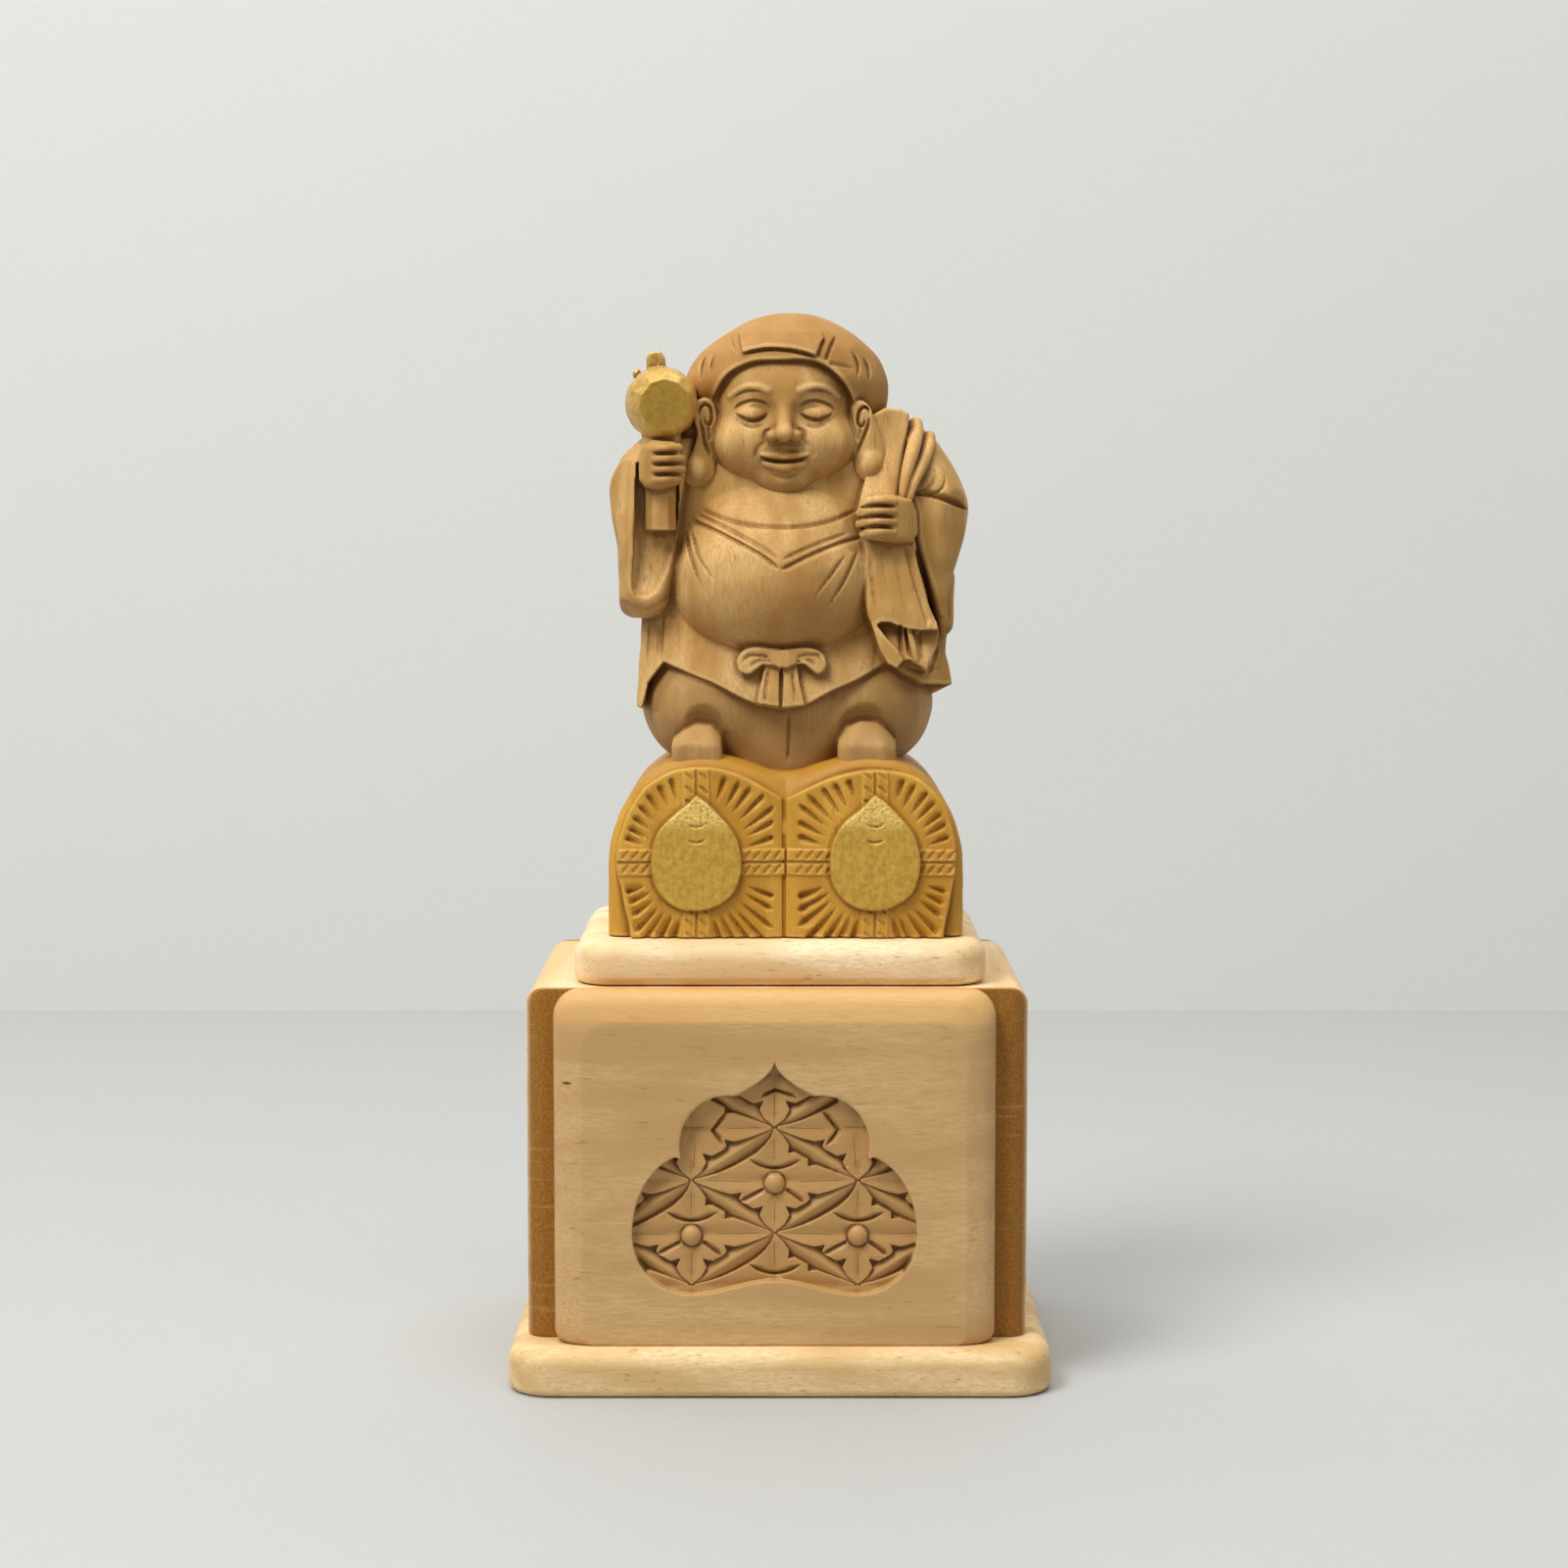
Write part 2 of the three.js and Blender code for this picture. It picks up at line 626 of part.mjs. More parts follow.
// The fist with the handle through it, and the mallet above.
function makeMallet() {
  const fist = [
    [-25.4, 78.6], [-25.5, 81], [-24.9, 84.6], [-23.2, 86], [-19, 85.8], [-17.8, 84],
    [-17.8, 80.6], [-18.9, 77.7], [-24.3, 77.5],
  ];
  const barrel = [
    [-14.6, 4.4],
    [-13.6, 5.2],
    [-10, 6.2],
    [-5.5, 6.3],
    [-1, 5.3],
    [1.5, 4],
  ];
  const knob = [
    [-22.5, -7, 97],
    [-22.5, -7, 101],
    [-22.5, -7, 101.7],
  ];
  return join([
    slab({ shape: sharpShape(fist), front: -15.6, back: -2, edge: 0.9, edgeDepth: 1.3 }),
    rod({ points: [[-21.8, -11.4, 70.1], [-21.8, -11.4, 79]], radii: [2.7, 2.7], sides: 6 }),
    rod({ points: [[-21.8, -9, 84], [-21.8, -8, 88]], radii: [3.2, 3.6], sides: 8 }),
    rod({
      points: barrel.map(([y]) => [-21.8 + 0.08 * (y + 6), y, 92.4]),
      radii: barrel.map(([, radius]) => radius),
      sides: 14,
    }),
    rod({ points: knob, radii: [1.9, 1.8, 1.2], sides: 8 }),
    ball({ at: [-26, -3.5, 97.2], size: [0.9, 0.9, 1], sides: 8, rings: 6 }),
  ]);
}

// The viewer's right arm under its sleeve, with the shoulder above.
function makeRightSleeve() {
  return stack({
    rows: betweenEdges([
      [51.7, 26.6, 28.6, -2, 5],
      [53.4, 25, 29.7, -2, 7],
      [58, 23.4, 29.7, -1.8, 8.4],
      [61.8, 22, 29.9, -1.6, 9],
      [63, 21.6, 29.4, -1.6, 9],
      [66, 20, 30.8, -1.4, 9.6],
      [70, 18, 31.8, -1, 10.2],
      [74, 16, 32.3, -0.6, 10.8],
      [78, 15, 31.4, 0, 11],
      [82, 14, 29.8, 0.6, 10.6],
      [86, 13, 27.6, 1.4, 9.4],
      [89.4, 13, 24.6, 2, 7],
      [91.2, 14, 21.4, 2, 4],
    ]),
    fullness: 2.5,
    sides: 22,
  });
}

// The sack: slung over the shoulder, held in the fist, with its mouth hanging open below, and its
// full body on the back.
function makeSack() {
  const neck = [
    [13, 75], [14.6, 82], [15.2, 90], [17.4, 91.8], [21.6, 90.8], [21.4, 86], [20.4, 80],
    [20.2, 75],
  ];
  const rolls = [
    {
      points: [[22.4, -1, 89.4], [22.9, -6, 86.5], [22.2, -10, 81], [20.9, -12.5, 75.5]],
      radii: [1, 1.35, 1.2, 0.9],
    },
    {
      points: [[25, -0.5, 87.2], [25.3, -5, 84.5], [23.8, -9.5, 80], [22.2, -12, 76]],
      radii: [0.9, 1.15, 1, 0.8],
    },
  ];
  const fist = [
    [12.3, 73.8], [13.6, 76.1], [18.5, 76.4], [21.8, 75.6], [22.7, 73.3], [22.9, 69.6],
    [21.8, 68.2], [19, 68.2], [13.6, 68.8], [13, 71],
  ];
  const tail = [
    [13.4, 70], [13.9, 62.5], [15.3, 54.2], [17.5, 50], [19.4, 46.8], [20.7, 47.8],
    [23.2, 47.4], [24.5, 46.4], [26.7, 51.3], [25.1, 56], [23.4, 62.5], [22, 70],
  ];
  return join([
    slab({ shape: sharpShape(neck.reverse()), front: -12.5, back: 4, edge: 0.8, edgeDepth: 4 }),
    ...rolls.map((roll) => rod(roll)),
    slab({ shape: sharpShape(fist.reverse()), front: -18, back: -6, edge: 1, edgeDepth: 1.6 }),
    slab({ shape: sharpShape(tail), front: -18.2, back: -5, edge: 0.7, edgeDepth: 1.4 }),
    ball({ at: [5, 10, 66.5], size: [19.5, 12, 20.5], turn: [0, 12, 0] }),
    ball({ at: [15, 6, 83], size: [9, 8, 8] }),
    ball({ at: [-16.5, 2, 84.5], size: [7, 8, 8] }),
  ]);
}

// The head under its cap: a broad jaw below, a smaller round above, and a neck that joins it.
const HEAD = {
  jaw: { at: [-0.4, -2.6, 84.4], size: [13.7, 12.2, 8.8] },
  brow: { at: [-0.3, -1.6, 91.5], size: [12.6, 12.4, 11] },
};

function makeHead() {
  return join([
    ball({ ...HEAD.jaw, sides: 18, rings: 10 }),
    ball({ ...HEAD.brow, sides: 18, rings: 10 }),
    stack({ rows: [[70, 0, 1, 14, 10], [80, 0, 1, 13, 10], [96, 0, 2, 12, 9]] }),
  ]);
}

// Features of a calm, plain face, set out on the head's own thirds: nose, lips and chin.
function makeFeatures() {
  return [
    rod({ points: [[-0.3, -12.6, 93.4], [-0.3, -16.2, 86.4]], radii: [0.7, 1.5], sides: 6 }),
    ball({ at: [-0.3, -15.2, 85.9], size: [1.9, 1.9, 1.5], sides: 8, rings: 6 }),
    ball({ at: [-2.3, -14.6, 85.7], size: [1.1, 1.4, 1.1], sides: 6, rings: 5 }),
    ball({ at: [1.7, -14.6, 85.7], size: [1.1, 1.4, 1.1], sides: 6, rings: 5 }),
    ball({ at: [-0.3, -14, 81.8], size: [3.2, 1.5, 1], sides: 10, rings: 5 }),
    ball({ at: [-0.3, -12.9, 78.9], size: [3.4, 1.8, 1.9], sides: 10, rings: 6 }),
  ];
}

// The cap: a wide soft crown, open in an arch over the forehead, with a folded patch in front.
function makeCap() {
  const crown = (grown) =>
    stack({
      rows: [
        [88.5, 0.8, 3, 14.6, 11],
        [91, 0.4, 1.5, 17.2, 13.5],
        [95.5, 0.2, 0, 18, 15.2],
        [98.8, 0.2, 0, 17.2, 15.6],
        [101.6, 0.4, 0.2, 15.3, 15],
        [104.2, 0.6, 0.5, 12.3, 13],
        [106.6, 0.7, 0.8, 8.3, 9.4],
        [108.1, 0.9, 1, 4.2, 5],
        [108.5, 1, 1, 1.6, 2],
      ].map(([z, x, y, halfWidth, halfDepth]) => [z, x, y, halfWidth + grown, halfDepth + grown]),
      sides: 24,
    });
  const arch = [
    [-13.4, 86],
    [-12.8, 92],
    [-11.3, 95.4],
    [-9.4, 97.8],
    [-6.2, 99.3],
    [2.4, 99.7],
    [6, 99.1],
    [9, 97.2],
    [11, 93.6],
    [12.4, 86],
  ];
  const patch = [[6.9, 104.6], [5.3, 100.5], [-7.5, 101], [-8.2, 104.8]];
  const opening = slab({ shape: sharpShape(arch), front: -BEYOND, back: -8.5 });
  const fold = crown(0.9).intersect(slab({ shape: sharpShape(patch), front: -BEYOND, back: -6 }));
  return crown(0).subtract(opening).add(fold);
}

// Ears with long lobes.
function makeEars() {
  const left = [
    [-12, 89.9], [-12.5, 92.4], [-14.1, 93.3], [-15.7, 92.3], [-15.9, 89.7], [-15.3, 86.9],
    [-16.6, 83.4], [-17.5, 80.6], [-17.4, 78.4], [-14.7, 77.7], [-12.4, 79.3], [-12, 82],
  ];
  const right = [
    [11, 90], [12, 92.6], [13.8, 92.8], [14.7, 90.7], [15.2, 88], [16.6, 85.3], [17.5, 82.6],
    [16.8, 80], [14.3, 78.6], [12.4, 79.6], [11.6, 83],
  ];
  return [left.reverse(), right].map((points) =>
    slab({ shape: sharpShape([...points].reverse()), front: -9.5, back: -2, edge: 0.8, edgeDepth: 1 }),
  );
}

// The girdle's bow over the hem: two loops and two hanging tails.
function makeBow() {
  const leftTail = [[-4.9, 40.5], [-3.5, 47.6], [-0.8, 47.8], [-0.9, 39.7]];
  const rightTail = [[-0.4, 39.7], [-0.3, 47.8], [1.9, 47.6], [3.2, 40.2]];
  const leftLoop = [[-0.8, -16.4, 48.4], [-4.6, -16.6, 48.6], [-7.4, -15.6, 46.4]];
  const rightLoop = [[-0.8, -16.4, 48.4], [3.6, -16.6, 48.8], [6.4, -15.6, 46.4]];
  const tails = [leftTail, rightTail].map((points) =>
    slab({ shape: sharpShape(points.reverse()), front: -17.4, back: -12, edge: 0.3 }),
  );
  return [
    ...tails,
    rod({ points: leftLoop, radii: [0.9, 1.3, 1.2] }),
    rod({ points: rightLoop, radii: [0.9, 1.3, 1.2] }),
  ];
}

// Finds the front surface of a solid: a line drawn in front view becomes places on that surface.
function surfaceFinder(solid) {
  const mesh = new THREE.Mesh(geometryOf(solid), new THREE.MeshBasicMaterial({ side: THREE.DoubleSide }));
  const ray = new THREE.Raycaster();
  const inward = new THREE.Vector3(0, 1, 0);
  return (points, steps) =>
    curveThrough(points, steps).map(({ x, y: z }) => {
      ray.set(new THREE.Vector3(x * SHARE, -100 * SHARE, z * SHARE), inward);
      const [hit] = ray.intersectObject(mesh);
      return new THREE.Vector3(x, hit ? hit.point.y / SHARE : 0, z);
    });
}

// Lines carved in the finished forms, drawn in front view
const FINGERS = [
  [[-22.9, 83.6], [-19.2, 83.8]],
  [[-22.9, 81.8], [-19.2, 82]],
  [[-22.9, 80], [-19.2, 80.1]],
  [[13, 74.6], [15.6, 75.2], [18.4, 74.8]],
  [[12.6, 73], [15.6, 73.6], [18.6, 73]],
  [[12.7, 71.4], [15.6, 71.9], [18.4, 71.3]],
  [[13.2, 69.9], [15.6, 70.2], [18, 69.8]],
];
const DRAPERY = [
  [[-17.8, 75], [-12, 72.6], [-6, 71], [-0.5, 70.5], [5.5, 71], [12.3, 73.4]],
  [[-16.7, 73.4], [-10.7, 70.4], [-4.4, 66.9], [-0.9, 64.2]],
  [[-0.9, 64.2], [3.9, 66.6], [8.8, 68.6], [12.6, 69.8]],
  [[-16.4, 68.6], [-15, 63.8], [-12.4, 58.8]],
  [[-14.6, 67.8], [-13, 64], [-10.4, 60.4]],
  [[12.4, 66.6], [9.6, 61.8], [6, 57.6]],
  [[12.8, 63.4], [10.8, 59.6], [8.6, 56.8]],
  [[-21.8, 54], [-21.6, 50.6], [-21.4, 47.6]],
  [[0.4, 38.6], [0.4, 34], [0.3, 29.6]],
  [[22.6, 76.2], [26, 75.2], [30.6, 74.4]],
  [[22.4, 78.6], [24.6, 78.2], [26.4, 79.8]],
  [[17.8, 53.2], [18.6, 58], [18.4, 65]],
  [[22, 52], [21.4, 57], [20.2, 64]],
];
const FACE_LINES = [
  [[-8.6, 92.6], [-5.6, 94.6], [-2.4, 93.6]],
  [[1.8, 93.6], [5, 94.6], [8, 92.6]],
  [[-8, 90], [-5.6, 91], [-3.2, 90.2]],
  [[2.6, 90.2], [5, 91], [7.4, 90]],
  [[-4.2, 82.6], [-0.3, 81.8], [3.6, 82.6]],
];
const CAP_LINES = [
  [[-13.4, 99], [-14.2, 96.6], [-13.8, 94.2]],
  [[14.4, 98.8], [15.2, 96.4], [14.8, 94]],
  [[7.8, 104], [6.6, 100.2]],
];

function carve(solid) {
  const onSurface = surfaceFinder(solid);
  const lines = (group, width, depth) =>
    group.map((points) => gouge({ line: onSurface(points, Math.max(3, points.length)), width, depth }));
  return cut(solid, [
    ...lines(FINGERS, 0.9, 0.7),
    ...lines(DRAPERY, 1.2, 0.8),
    ...lines(FACE_LINES, 0.8, 0.55),
    ...lines(CAP_LINES, 0.8, 0.5),
  ]);
}

function makeFigure() {
  const forms = [
    makeTrousers(),
    ...makeFeet(),
    makeCoat(),
    makeBelly(),
    makeLeftSleeve(),
    makeRightSleeve(),
    makeSack(),
    makeHead(),
    makeCap(),
    ...makeEars(),
    ...makeFeatures(),
    ...makeBow(),
    makeMallet(),
  ];
  return carve(join(forms)).add(makeBales());
}

// Levels and places in the stack of pieces
const blockFoot = BASE_THICKNESS + GLUE_LINE;
const plinthFoot = blockFoot + BLOCK_HEIGHT + GLUE_LINE;
const figureFoot = plinthFoot + PLINTH_THICKNESS + GLUE_LINE;
const panelFront = -BASE_DEPTH / 2 + PANEL_SETBACK;
const blockFront = panelFront + PANEL_THICKNESS + GLUE_LINE;
const blockMiddle = blockFront + BLOCK_DEPTH / 2;
const plinthFront = blockFront + PLINTH_SETBACK;
const figureFront = plinthFront + FIGURE_SETBACK;
const panelMiddle = BLOCK_SHIFT + PANEL_SHIFT;
const plinthMiddle = BLOCK_SHIFT + PLINTH_SHIFT;
const figureMiddle = plinthMiddle + FIGURE_SHIFT;

// The woods: pale boards, the panel, the block and the carving
const PALE_WOOD = { color: "#dcc39a", roughness: 0.6 };
const PANEL_WOOD = { color: "#cfa978", roughness: 0.6 };
const BLOCK_WOOD = { color: "#96652c", roughness: 0.65 };
const FIGURE_WOOD = { color: "#c89b62", roughness: 0.55 };

const part = new THREE.Group();
part.name = "daikoku";

function addPiece(name, solid, place, wood) {
  const material = new THREE.MeshStandardMaterial({ ...wood, metalness: 0 });
  const mesh = new THREE.Mesh(geometryOf(solid), material);
  mesh.name = name;
  mesh.position.set(...place);
  part.add(mesh);
}

addPiece(
  "base_plate",
  board({
    width: BASE_WIDTH,
    depth: BASE_DEPTH,
    thickness: BASE_THICKNESS,
    corner: BASE_CORNER,
    topEdge: BASE_TOP_EDGE,
    lowerEdge: BASE_LOWER_EDGE,
  }),
  [0, 0, 0],
  PALE_WOOD,
);
addPiece("front_panel", makePanel(), [panelMiddle, panelFront, blockFoot], PANEL_WOOD);
addPiece("stand_block", makeBlock(), [BLOCK_SHIFT, blockMiddle, blockFoot], BLOCK_WOOD);
addPiece(
  "top_plinth",
  board({
    width: PLINTH_WIDTH,
    depth: PLINTH_DEPTH,
    thickness: PLINTH_THICKNESS,
    corner: PLINTH_CORNER,
    topEdge: PLINTH_TOP_EDGE,
    lowerEdge: PLINTH_LOWER_EDGE,
  }),
  [plinthMiddle, plinthFront + PLINTH_DEPTH / 2, plinthFoot],
  PALE_WOOD,
);
addPiece(
  "daikoku_figure",
  makeFigure(),
  [figureMiddle, figureFront - BALE.front * SHARE, figureFoot],
  FIGURE_WOOD,
);

export default part;
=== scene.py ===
# %% [markdown]
# # A carved wooden Daikoku on its stand
# The real object is a hand-sized wood carving: a plump deity of luck on two straw rice bales, set
# on a rounded plinth, a wooden block with a carved panel in front, and a rounded base plate. This
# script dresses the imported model, piece by piece, in the same frame and at the same size. It works
# in millimetres and turns them into metres only when a mesh is made.

import math

import bpy
import numpy as np
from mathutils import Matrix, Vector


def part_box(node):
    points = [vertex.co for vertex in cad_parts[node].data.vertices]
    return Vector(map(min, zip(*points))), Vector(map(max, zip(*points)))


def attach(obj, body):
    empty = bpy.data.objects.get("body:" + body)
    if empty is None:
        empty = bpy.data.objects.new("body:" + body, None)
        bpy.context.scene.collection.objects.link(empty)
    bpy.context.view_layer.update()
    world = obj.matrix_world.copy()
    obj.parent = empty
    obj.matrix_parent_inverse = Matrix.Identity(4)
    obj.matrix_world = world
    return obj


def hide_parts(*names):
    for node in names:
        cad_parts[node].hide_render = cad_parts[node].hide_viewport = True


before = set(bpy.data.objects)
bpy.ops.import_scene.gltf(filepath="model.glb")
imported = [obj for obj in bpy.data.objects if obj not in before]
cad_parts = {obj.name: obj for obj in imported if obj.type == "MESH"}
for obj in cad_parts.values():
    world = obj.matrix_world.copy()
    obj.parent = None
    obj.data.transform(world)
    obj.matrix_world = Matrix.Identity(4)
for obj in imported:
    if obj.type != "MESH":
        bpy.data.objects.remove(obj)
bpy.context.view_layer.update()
print("pieces in the frame:", sorted(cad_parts))

# %% Measures taken from the frame
MM = 0.001


def span(node):
    """Lowest and highest corner of a piece of the frame, in millimetres."""
    low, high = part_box(node)
    return np.array(low) / MM, np.array(high) / MM


for name in sorted(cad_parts):
    low, high = span(name)
    print(name, "is", np.round(high - low, 1), "mm")

# %% [markdown]
# ## Meshes from arrays
# Blender can start from ready-made cubes and cylinders and bend them by hand. Here every surface is
# an array of points worked out in one go, because then each size is a number that can be read and
# changed. A closed surface of two parameters is a stack of rings, so one helper turns rings into
# faces and closes both ends with a pole. Smooth shading suits worked wood, whose edges are rounded.


# %% Turn arrays into a piece
def ring_faces(rings, around):
    """Quads between neighbouring rings of `around` points, then a fan to a pole at each end."""
    row = np.arange(rings - 1)[:, None] * around
    here = np.arange(around)[None, :]
    after = (here + 1) % around
    quads = np.stack([row + here, row + after, row + around + after, row + around + here], -1)
    first_pole = rings * around
    last = (rings - 1) * around
    start = np.stack([np.full(around, first_pole), after[0], here[0]], -1)
    end = np.stack([np.full(around, first_pole + 1), last + here[0], last + after[0]], -1)
    return quads.reshape(-1, 4), np.concatenate([start, end])


def make_piece(name, points, quads, triangles, node, slot):
    """A smooth mesh from points in millimetres, standing for one node of the frame."""
    mesh = bpy.data.meshes.new(name)
    corners = np.concatenate([np.ravel(quads), np.ravel(triangles)]).astype(np.int32)
    sizes = np.concatenate([np.full(len(quads), 4), np.full(len(triangles), 3)])
    mesh.vertices.add(len(points))
    mesh.vertices.foreach_set("co", (np.asarray(points, np.float32) * MM).ravel())
    mesh.loops.add(len(corners))
    mesh.loops.foreach_set("vertex_index", corners)
    mesh.polygons.add(len(sizes))
    starts = np.concatenate([[0], np.cumsum(sizes)[:-1]]).astype(np.int32)
    mesh.polygons.foreach_set("loop_start", starts)
    mesh.update(calc_edges=True)
    mesh.shade_smooth()
    mesh.validate()
    piece = bpy.data.objects.new(name, mesh)
    bpy.context.collection.objects.link(piece)
    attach(piece, "root")
    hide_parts(node)
    print(name, "has", len(points), "points and", len(triangles) + 2 * len(quads), "triangles")
    return piece


def thin_out(piece, most_triangles, kept=None):
    """Takes points away where the surface is flat, until no more than `most_triangles` are left.
    The points marked in `kept` stay, so that a flat face keeps a flat shade up to its edges."""
    share = most_triangles / sum(len(face.vertices) - 2 for face in piece.data.polygons)
    if share < 1:
        thin = piece.modifiers.new("thin", "DECIMATE")
        thin.ratio = share
        if kept is not None:
            free = piece.vertex_groups.new(name="free")
            free.add(np.flatnonzero(~kept).tolist(), 1.0, "REPLACE")
            thin.vertex_group = free.name
        view = bpy.context.evaluated_depsgraph_get()
        thinner = bpy.data.meshes.new_from_object(piece.evaluated_get(view))
        piece.modifiers.clear()
        piece.vertex_groups.clear()
        thinner.name = piece.name
        piece.data = thinner
        piece.data.shade_smooth()
    print(piece.name, "keeps", len(piece.data.polygons), "faces")


def paint(piece, name, values):
    """Stores one number for each point of a piece, for its material to read."""
    layer = piece.data.attributes.new(name, "FLOAT", "POINT")
    layer.data.foreach_set("value", np.asarray(values, np.float32))


def piece_points(piece, place):
    """The points of a piece in millimetres from a place, and their outward directions."""
    count = len(piece.data.vertices)
    points = np.empty(count * 3, np.float32)
    piece.data.vertices.foreach_get("co", points)
    outward = np.empty(count * 3, np.float32)
    piece.data.vertices.foreach_get("normal", outward)
    return points.reshape(-1, 3) / MM - place, outward.reshape(-1, 3)


# %% [markdown]
# ## The rounded boards
# The plinth and the base plate are pale boards with round corners and round edges, softer above
# than below. A cube with a Bevel modifier would give one rounding for both. Here each board is a
# rounded rectangle carried through a list of levels: every level has a height and an inset, and the
# insets follow a quarter circle of its own radius at each edge. Rings close beside the edges keep
# the flat faces flat when they are shaded smooth.

# %% Rounded rectangle and edge levels
BESIDE_EDGE = 0.4
NEAR_RING, FAR_RING = 12, 30


def rounded_rectangle(width, depth, corner, around=96):
    """Points of a rectangle with round corners: the side's half length plus a quarter circle."""
    corner = max(corner, 0.05)
    turn = np.linspace(0, math.pi / 2, around // 4)
    quarters = []
    for k in range(4):
        angle = turn + k * math.pi / 2
        across = np.sign(math.cos((k + 0.5) * math.pi / 2)) * (width / 2 - corner)
        inward = np.sign(math.sin((k + 0.5) * math.pi / 2)) * (depth / 2 - corner)
        quarters.append(
            np.stack([across + corner * np.cos(angle), inward + corner * np.sin(angle)], -1)
        )
    return np.concatenate(quarters)


def edge_levels(thickness, top_edge, lower_edge, steps=9):
    """Height and inset of each level: a quarter circle below, a straight side and one above."""
    turn = np.linspace(0, math.pi / 2, steps)
    below = np.stack([lower_edge * (1 - np.sin(turn)), lower_edge * (1 - np.cos(turn))], -1)
    above = np.stack([thickness - top_edge * (1 - np.sin(turn)), top_edge * (1 - np.cos(turn))], -1)
    flat_below = [[0, FAR_RING], [0, NEAR_RING], [0, lower_edge + BESIDE_EDGE]]
    flat_above = [
        [thickness, top_edge + BESIDE_EDGE], [thickness, NEAR_RING], [thickness, FAR_RING],
    ]
    return np.concatenate([flat_below, below[::-1], above, flat_above])


def level_rings(low, high, corner, levels, shrink_depth=True):
    """Rings of a board: at each level the rounded rectangle is smaller by twice the inset."""
    size = high - low
    middle = (high + low) / 2
    rings = []
    for height, inset in levels:
        depth = size[1] - 2 * inset if shrink_depth else size[1]
        ring = rounded_rectangle(size[0] - 2 * inset, depth, corner - inset)
        level = np.full((len(ring), 1), low[2] + height)
        rings.append(np.concatenate([ring + middle[:2], level], 1))
    return np.array(rings)


def close_rings(rings):
    """Adds the two poles: the middles of the first and last ring."""
    poles = np.stack([rings[0].mean(0), rings[-1].mean(0)])
    points = np.concatenate([rings.reshape(-1, 3), poles])
    quads, fans = ring_faces(len(rings), rings.shape[1])
    return points, quads, fans


# %% Plinth and base plate
BOARDS = [
    {"node": "base_plate", "name": "base_plate_board", "slot": "base_wood",
     "corner": 8.0, "top_edge": 3.2, "lower_edge": 1.5},
    {"node": "top_plinth", "name": "plinth_board", "slot": "plinth_wood",
     "corner": 7.0, "top_edge": 3.4, "lower_edge": 1.7},
]
boards = {}
for board in BOARDS:
    low, high = span(board["node"])
    levels = edge_levels(high[2] - low[2], board["top_edge"], board["lower_edge"])
    rings = level_rings(low, high, board["corner"], levels)
    boards[board["node"]] = make_piece(
        board["name"], *close_rings(rings), board["node"], board["slot"]
    )

# %% [markdown]
# ## The block
# The block's long edges above are rounded from front to back, and its upright corners are rounded
# in plan. A Bevel modifier would need a weight on each edge. The rings of a board do it more
# simply: the levels draw in only sideways, with the depth kept. Its level faces are shaded flat,
# since a fan to a pole would bend the light on them.

# %% Stand block
BLOCK_CORNER, BLOCK_TOP_EDGE, BLOCK_FOOT_EDGE = 3.5, 3.0, 0.25
BLOCK_LOW, BLOCK_HIGH = span("stand_block")
block_height = BLOCK_HIGH[2] - BLOCK_LOW[2]
edge_turn = np.linspace(0, math.pi / 2, 10)
edge_height = block_height - BLOCK_TOP_EDGE * (1 - np.sin(edge_turn))
rounding = np.stack([edge_height, BLOCK_TOP_EDGE * (1 - np.cos(edge_turn))], -1)
block_levels = np.concatenate([[[0, BLOCK_FOOT_EDGE], [BLOCK_FOOT_EDGE, 0]], rounding])
block_rings = level_rings(BLOCK_LOW, BLOCK_HIGH, BLOCK_CORNER, block_levels, shrink_depth=False)
stand_block = make_piece("block_of_wood", *close_rings(block_rings), "stand_block", "block_wood")
level_faces = [abs(face.normal.z) > 0.999 for face in stand_block.data.polygons]
stand_block.data.polygons.foreach_set("use_smooth", np.logical_not(level_faces))
print(sum(level_faces), "level faces of the block are shaded flat")

# %% [markdown]
# ## The carved front panel
# The panel is a light board with a recessed window in the shape of a lobed jewel. The recess is
# filled with a lattice of pointed cells, each holding a four-petalled flower. It could be cut from
# a board with a Boolean modifier and a model of every petal. But the whole front is one surface of
# two parameters: the angle about a point inside the window, and the share of the way from that
# point to the rim. Such rays meet every lobe of the rim once, so the rim stays crisp, and the
# relief is a depth worked out for every point of the surface.

# %% Distances in front view
def smooth_line(points, per_span=6, closed=False):
    """A Catmull-Rom curve through the points: each span leans on its two neighbours."""
    p = np.asarray(points, float)
    if closed:
        p = np.concatenate([p[-1:], p, p[:2]])
    else:
        p = np.concatenate([2 * p[:1] - p[1:2], p, 2 * p[-1:] - p[-2:-1]])
    t = np.linspace(0, 1, per_span, endpoint=False)[:, None, None]
    a, b, c, d = p[:-3], p[1:-2], p[2:-1], p[3:]
    curve = b + t / 2 * (c - a + t * (2 * a - 5 * b + 4 * c - d + t * (3 * (b - c) + d - a)))
    curve = np.swapaxes(curve, 0, 1).reshape(-1, p.shape[1])
    return curve if closed else np.concatenate([curve, p[-2:-1]])


def to_segment(x, z, start, end):
    """Distance to a straight piece, the share of its length, and the side the point lies on."""
    along = np.subtract(end, start)
    from_start_x, from_start_z = x - start[0], z - start[1]
    share = (from_start_x * along[0] + from_start_z * along[1]) / max(along @ along, 1e-9)
    share = np.clip(share, 0, 1)
    off_x, off_z = from_start_x - share * along[0], from_start_z - share * along[1]
    side = along[0] * off_z - along[1] * off_x
    return np.hypot(off_x, off_z), share, side


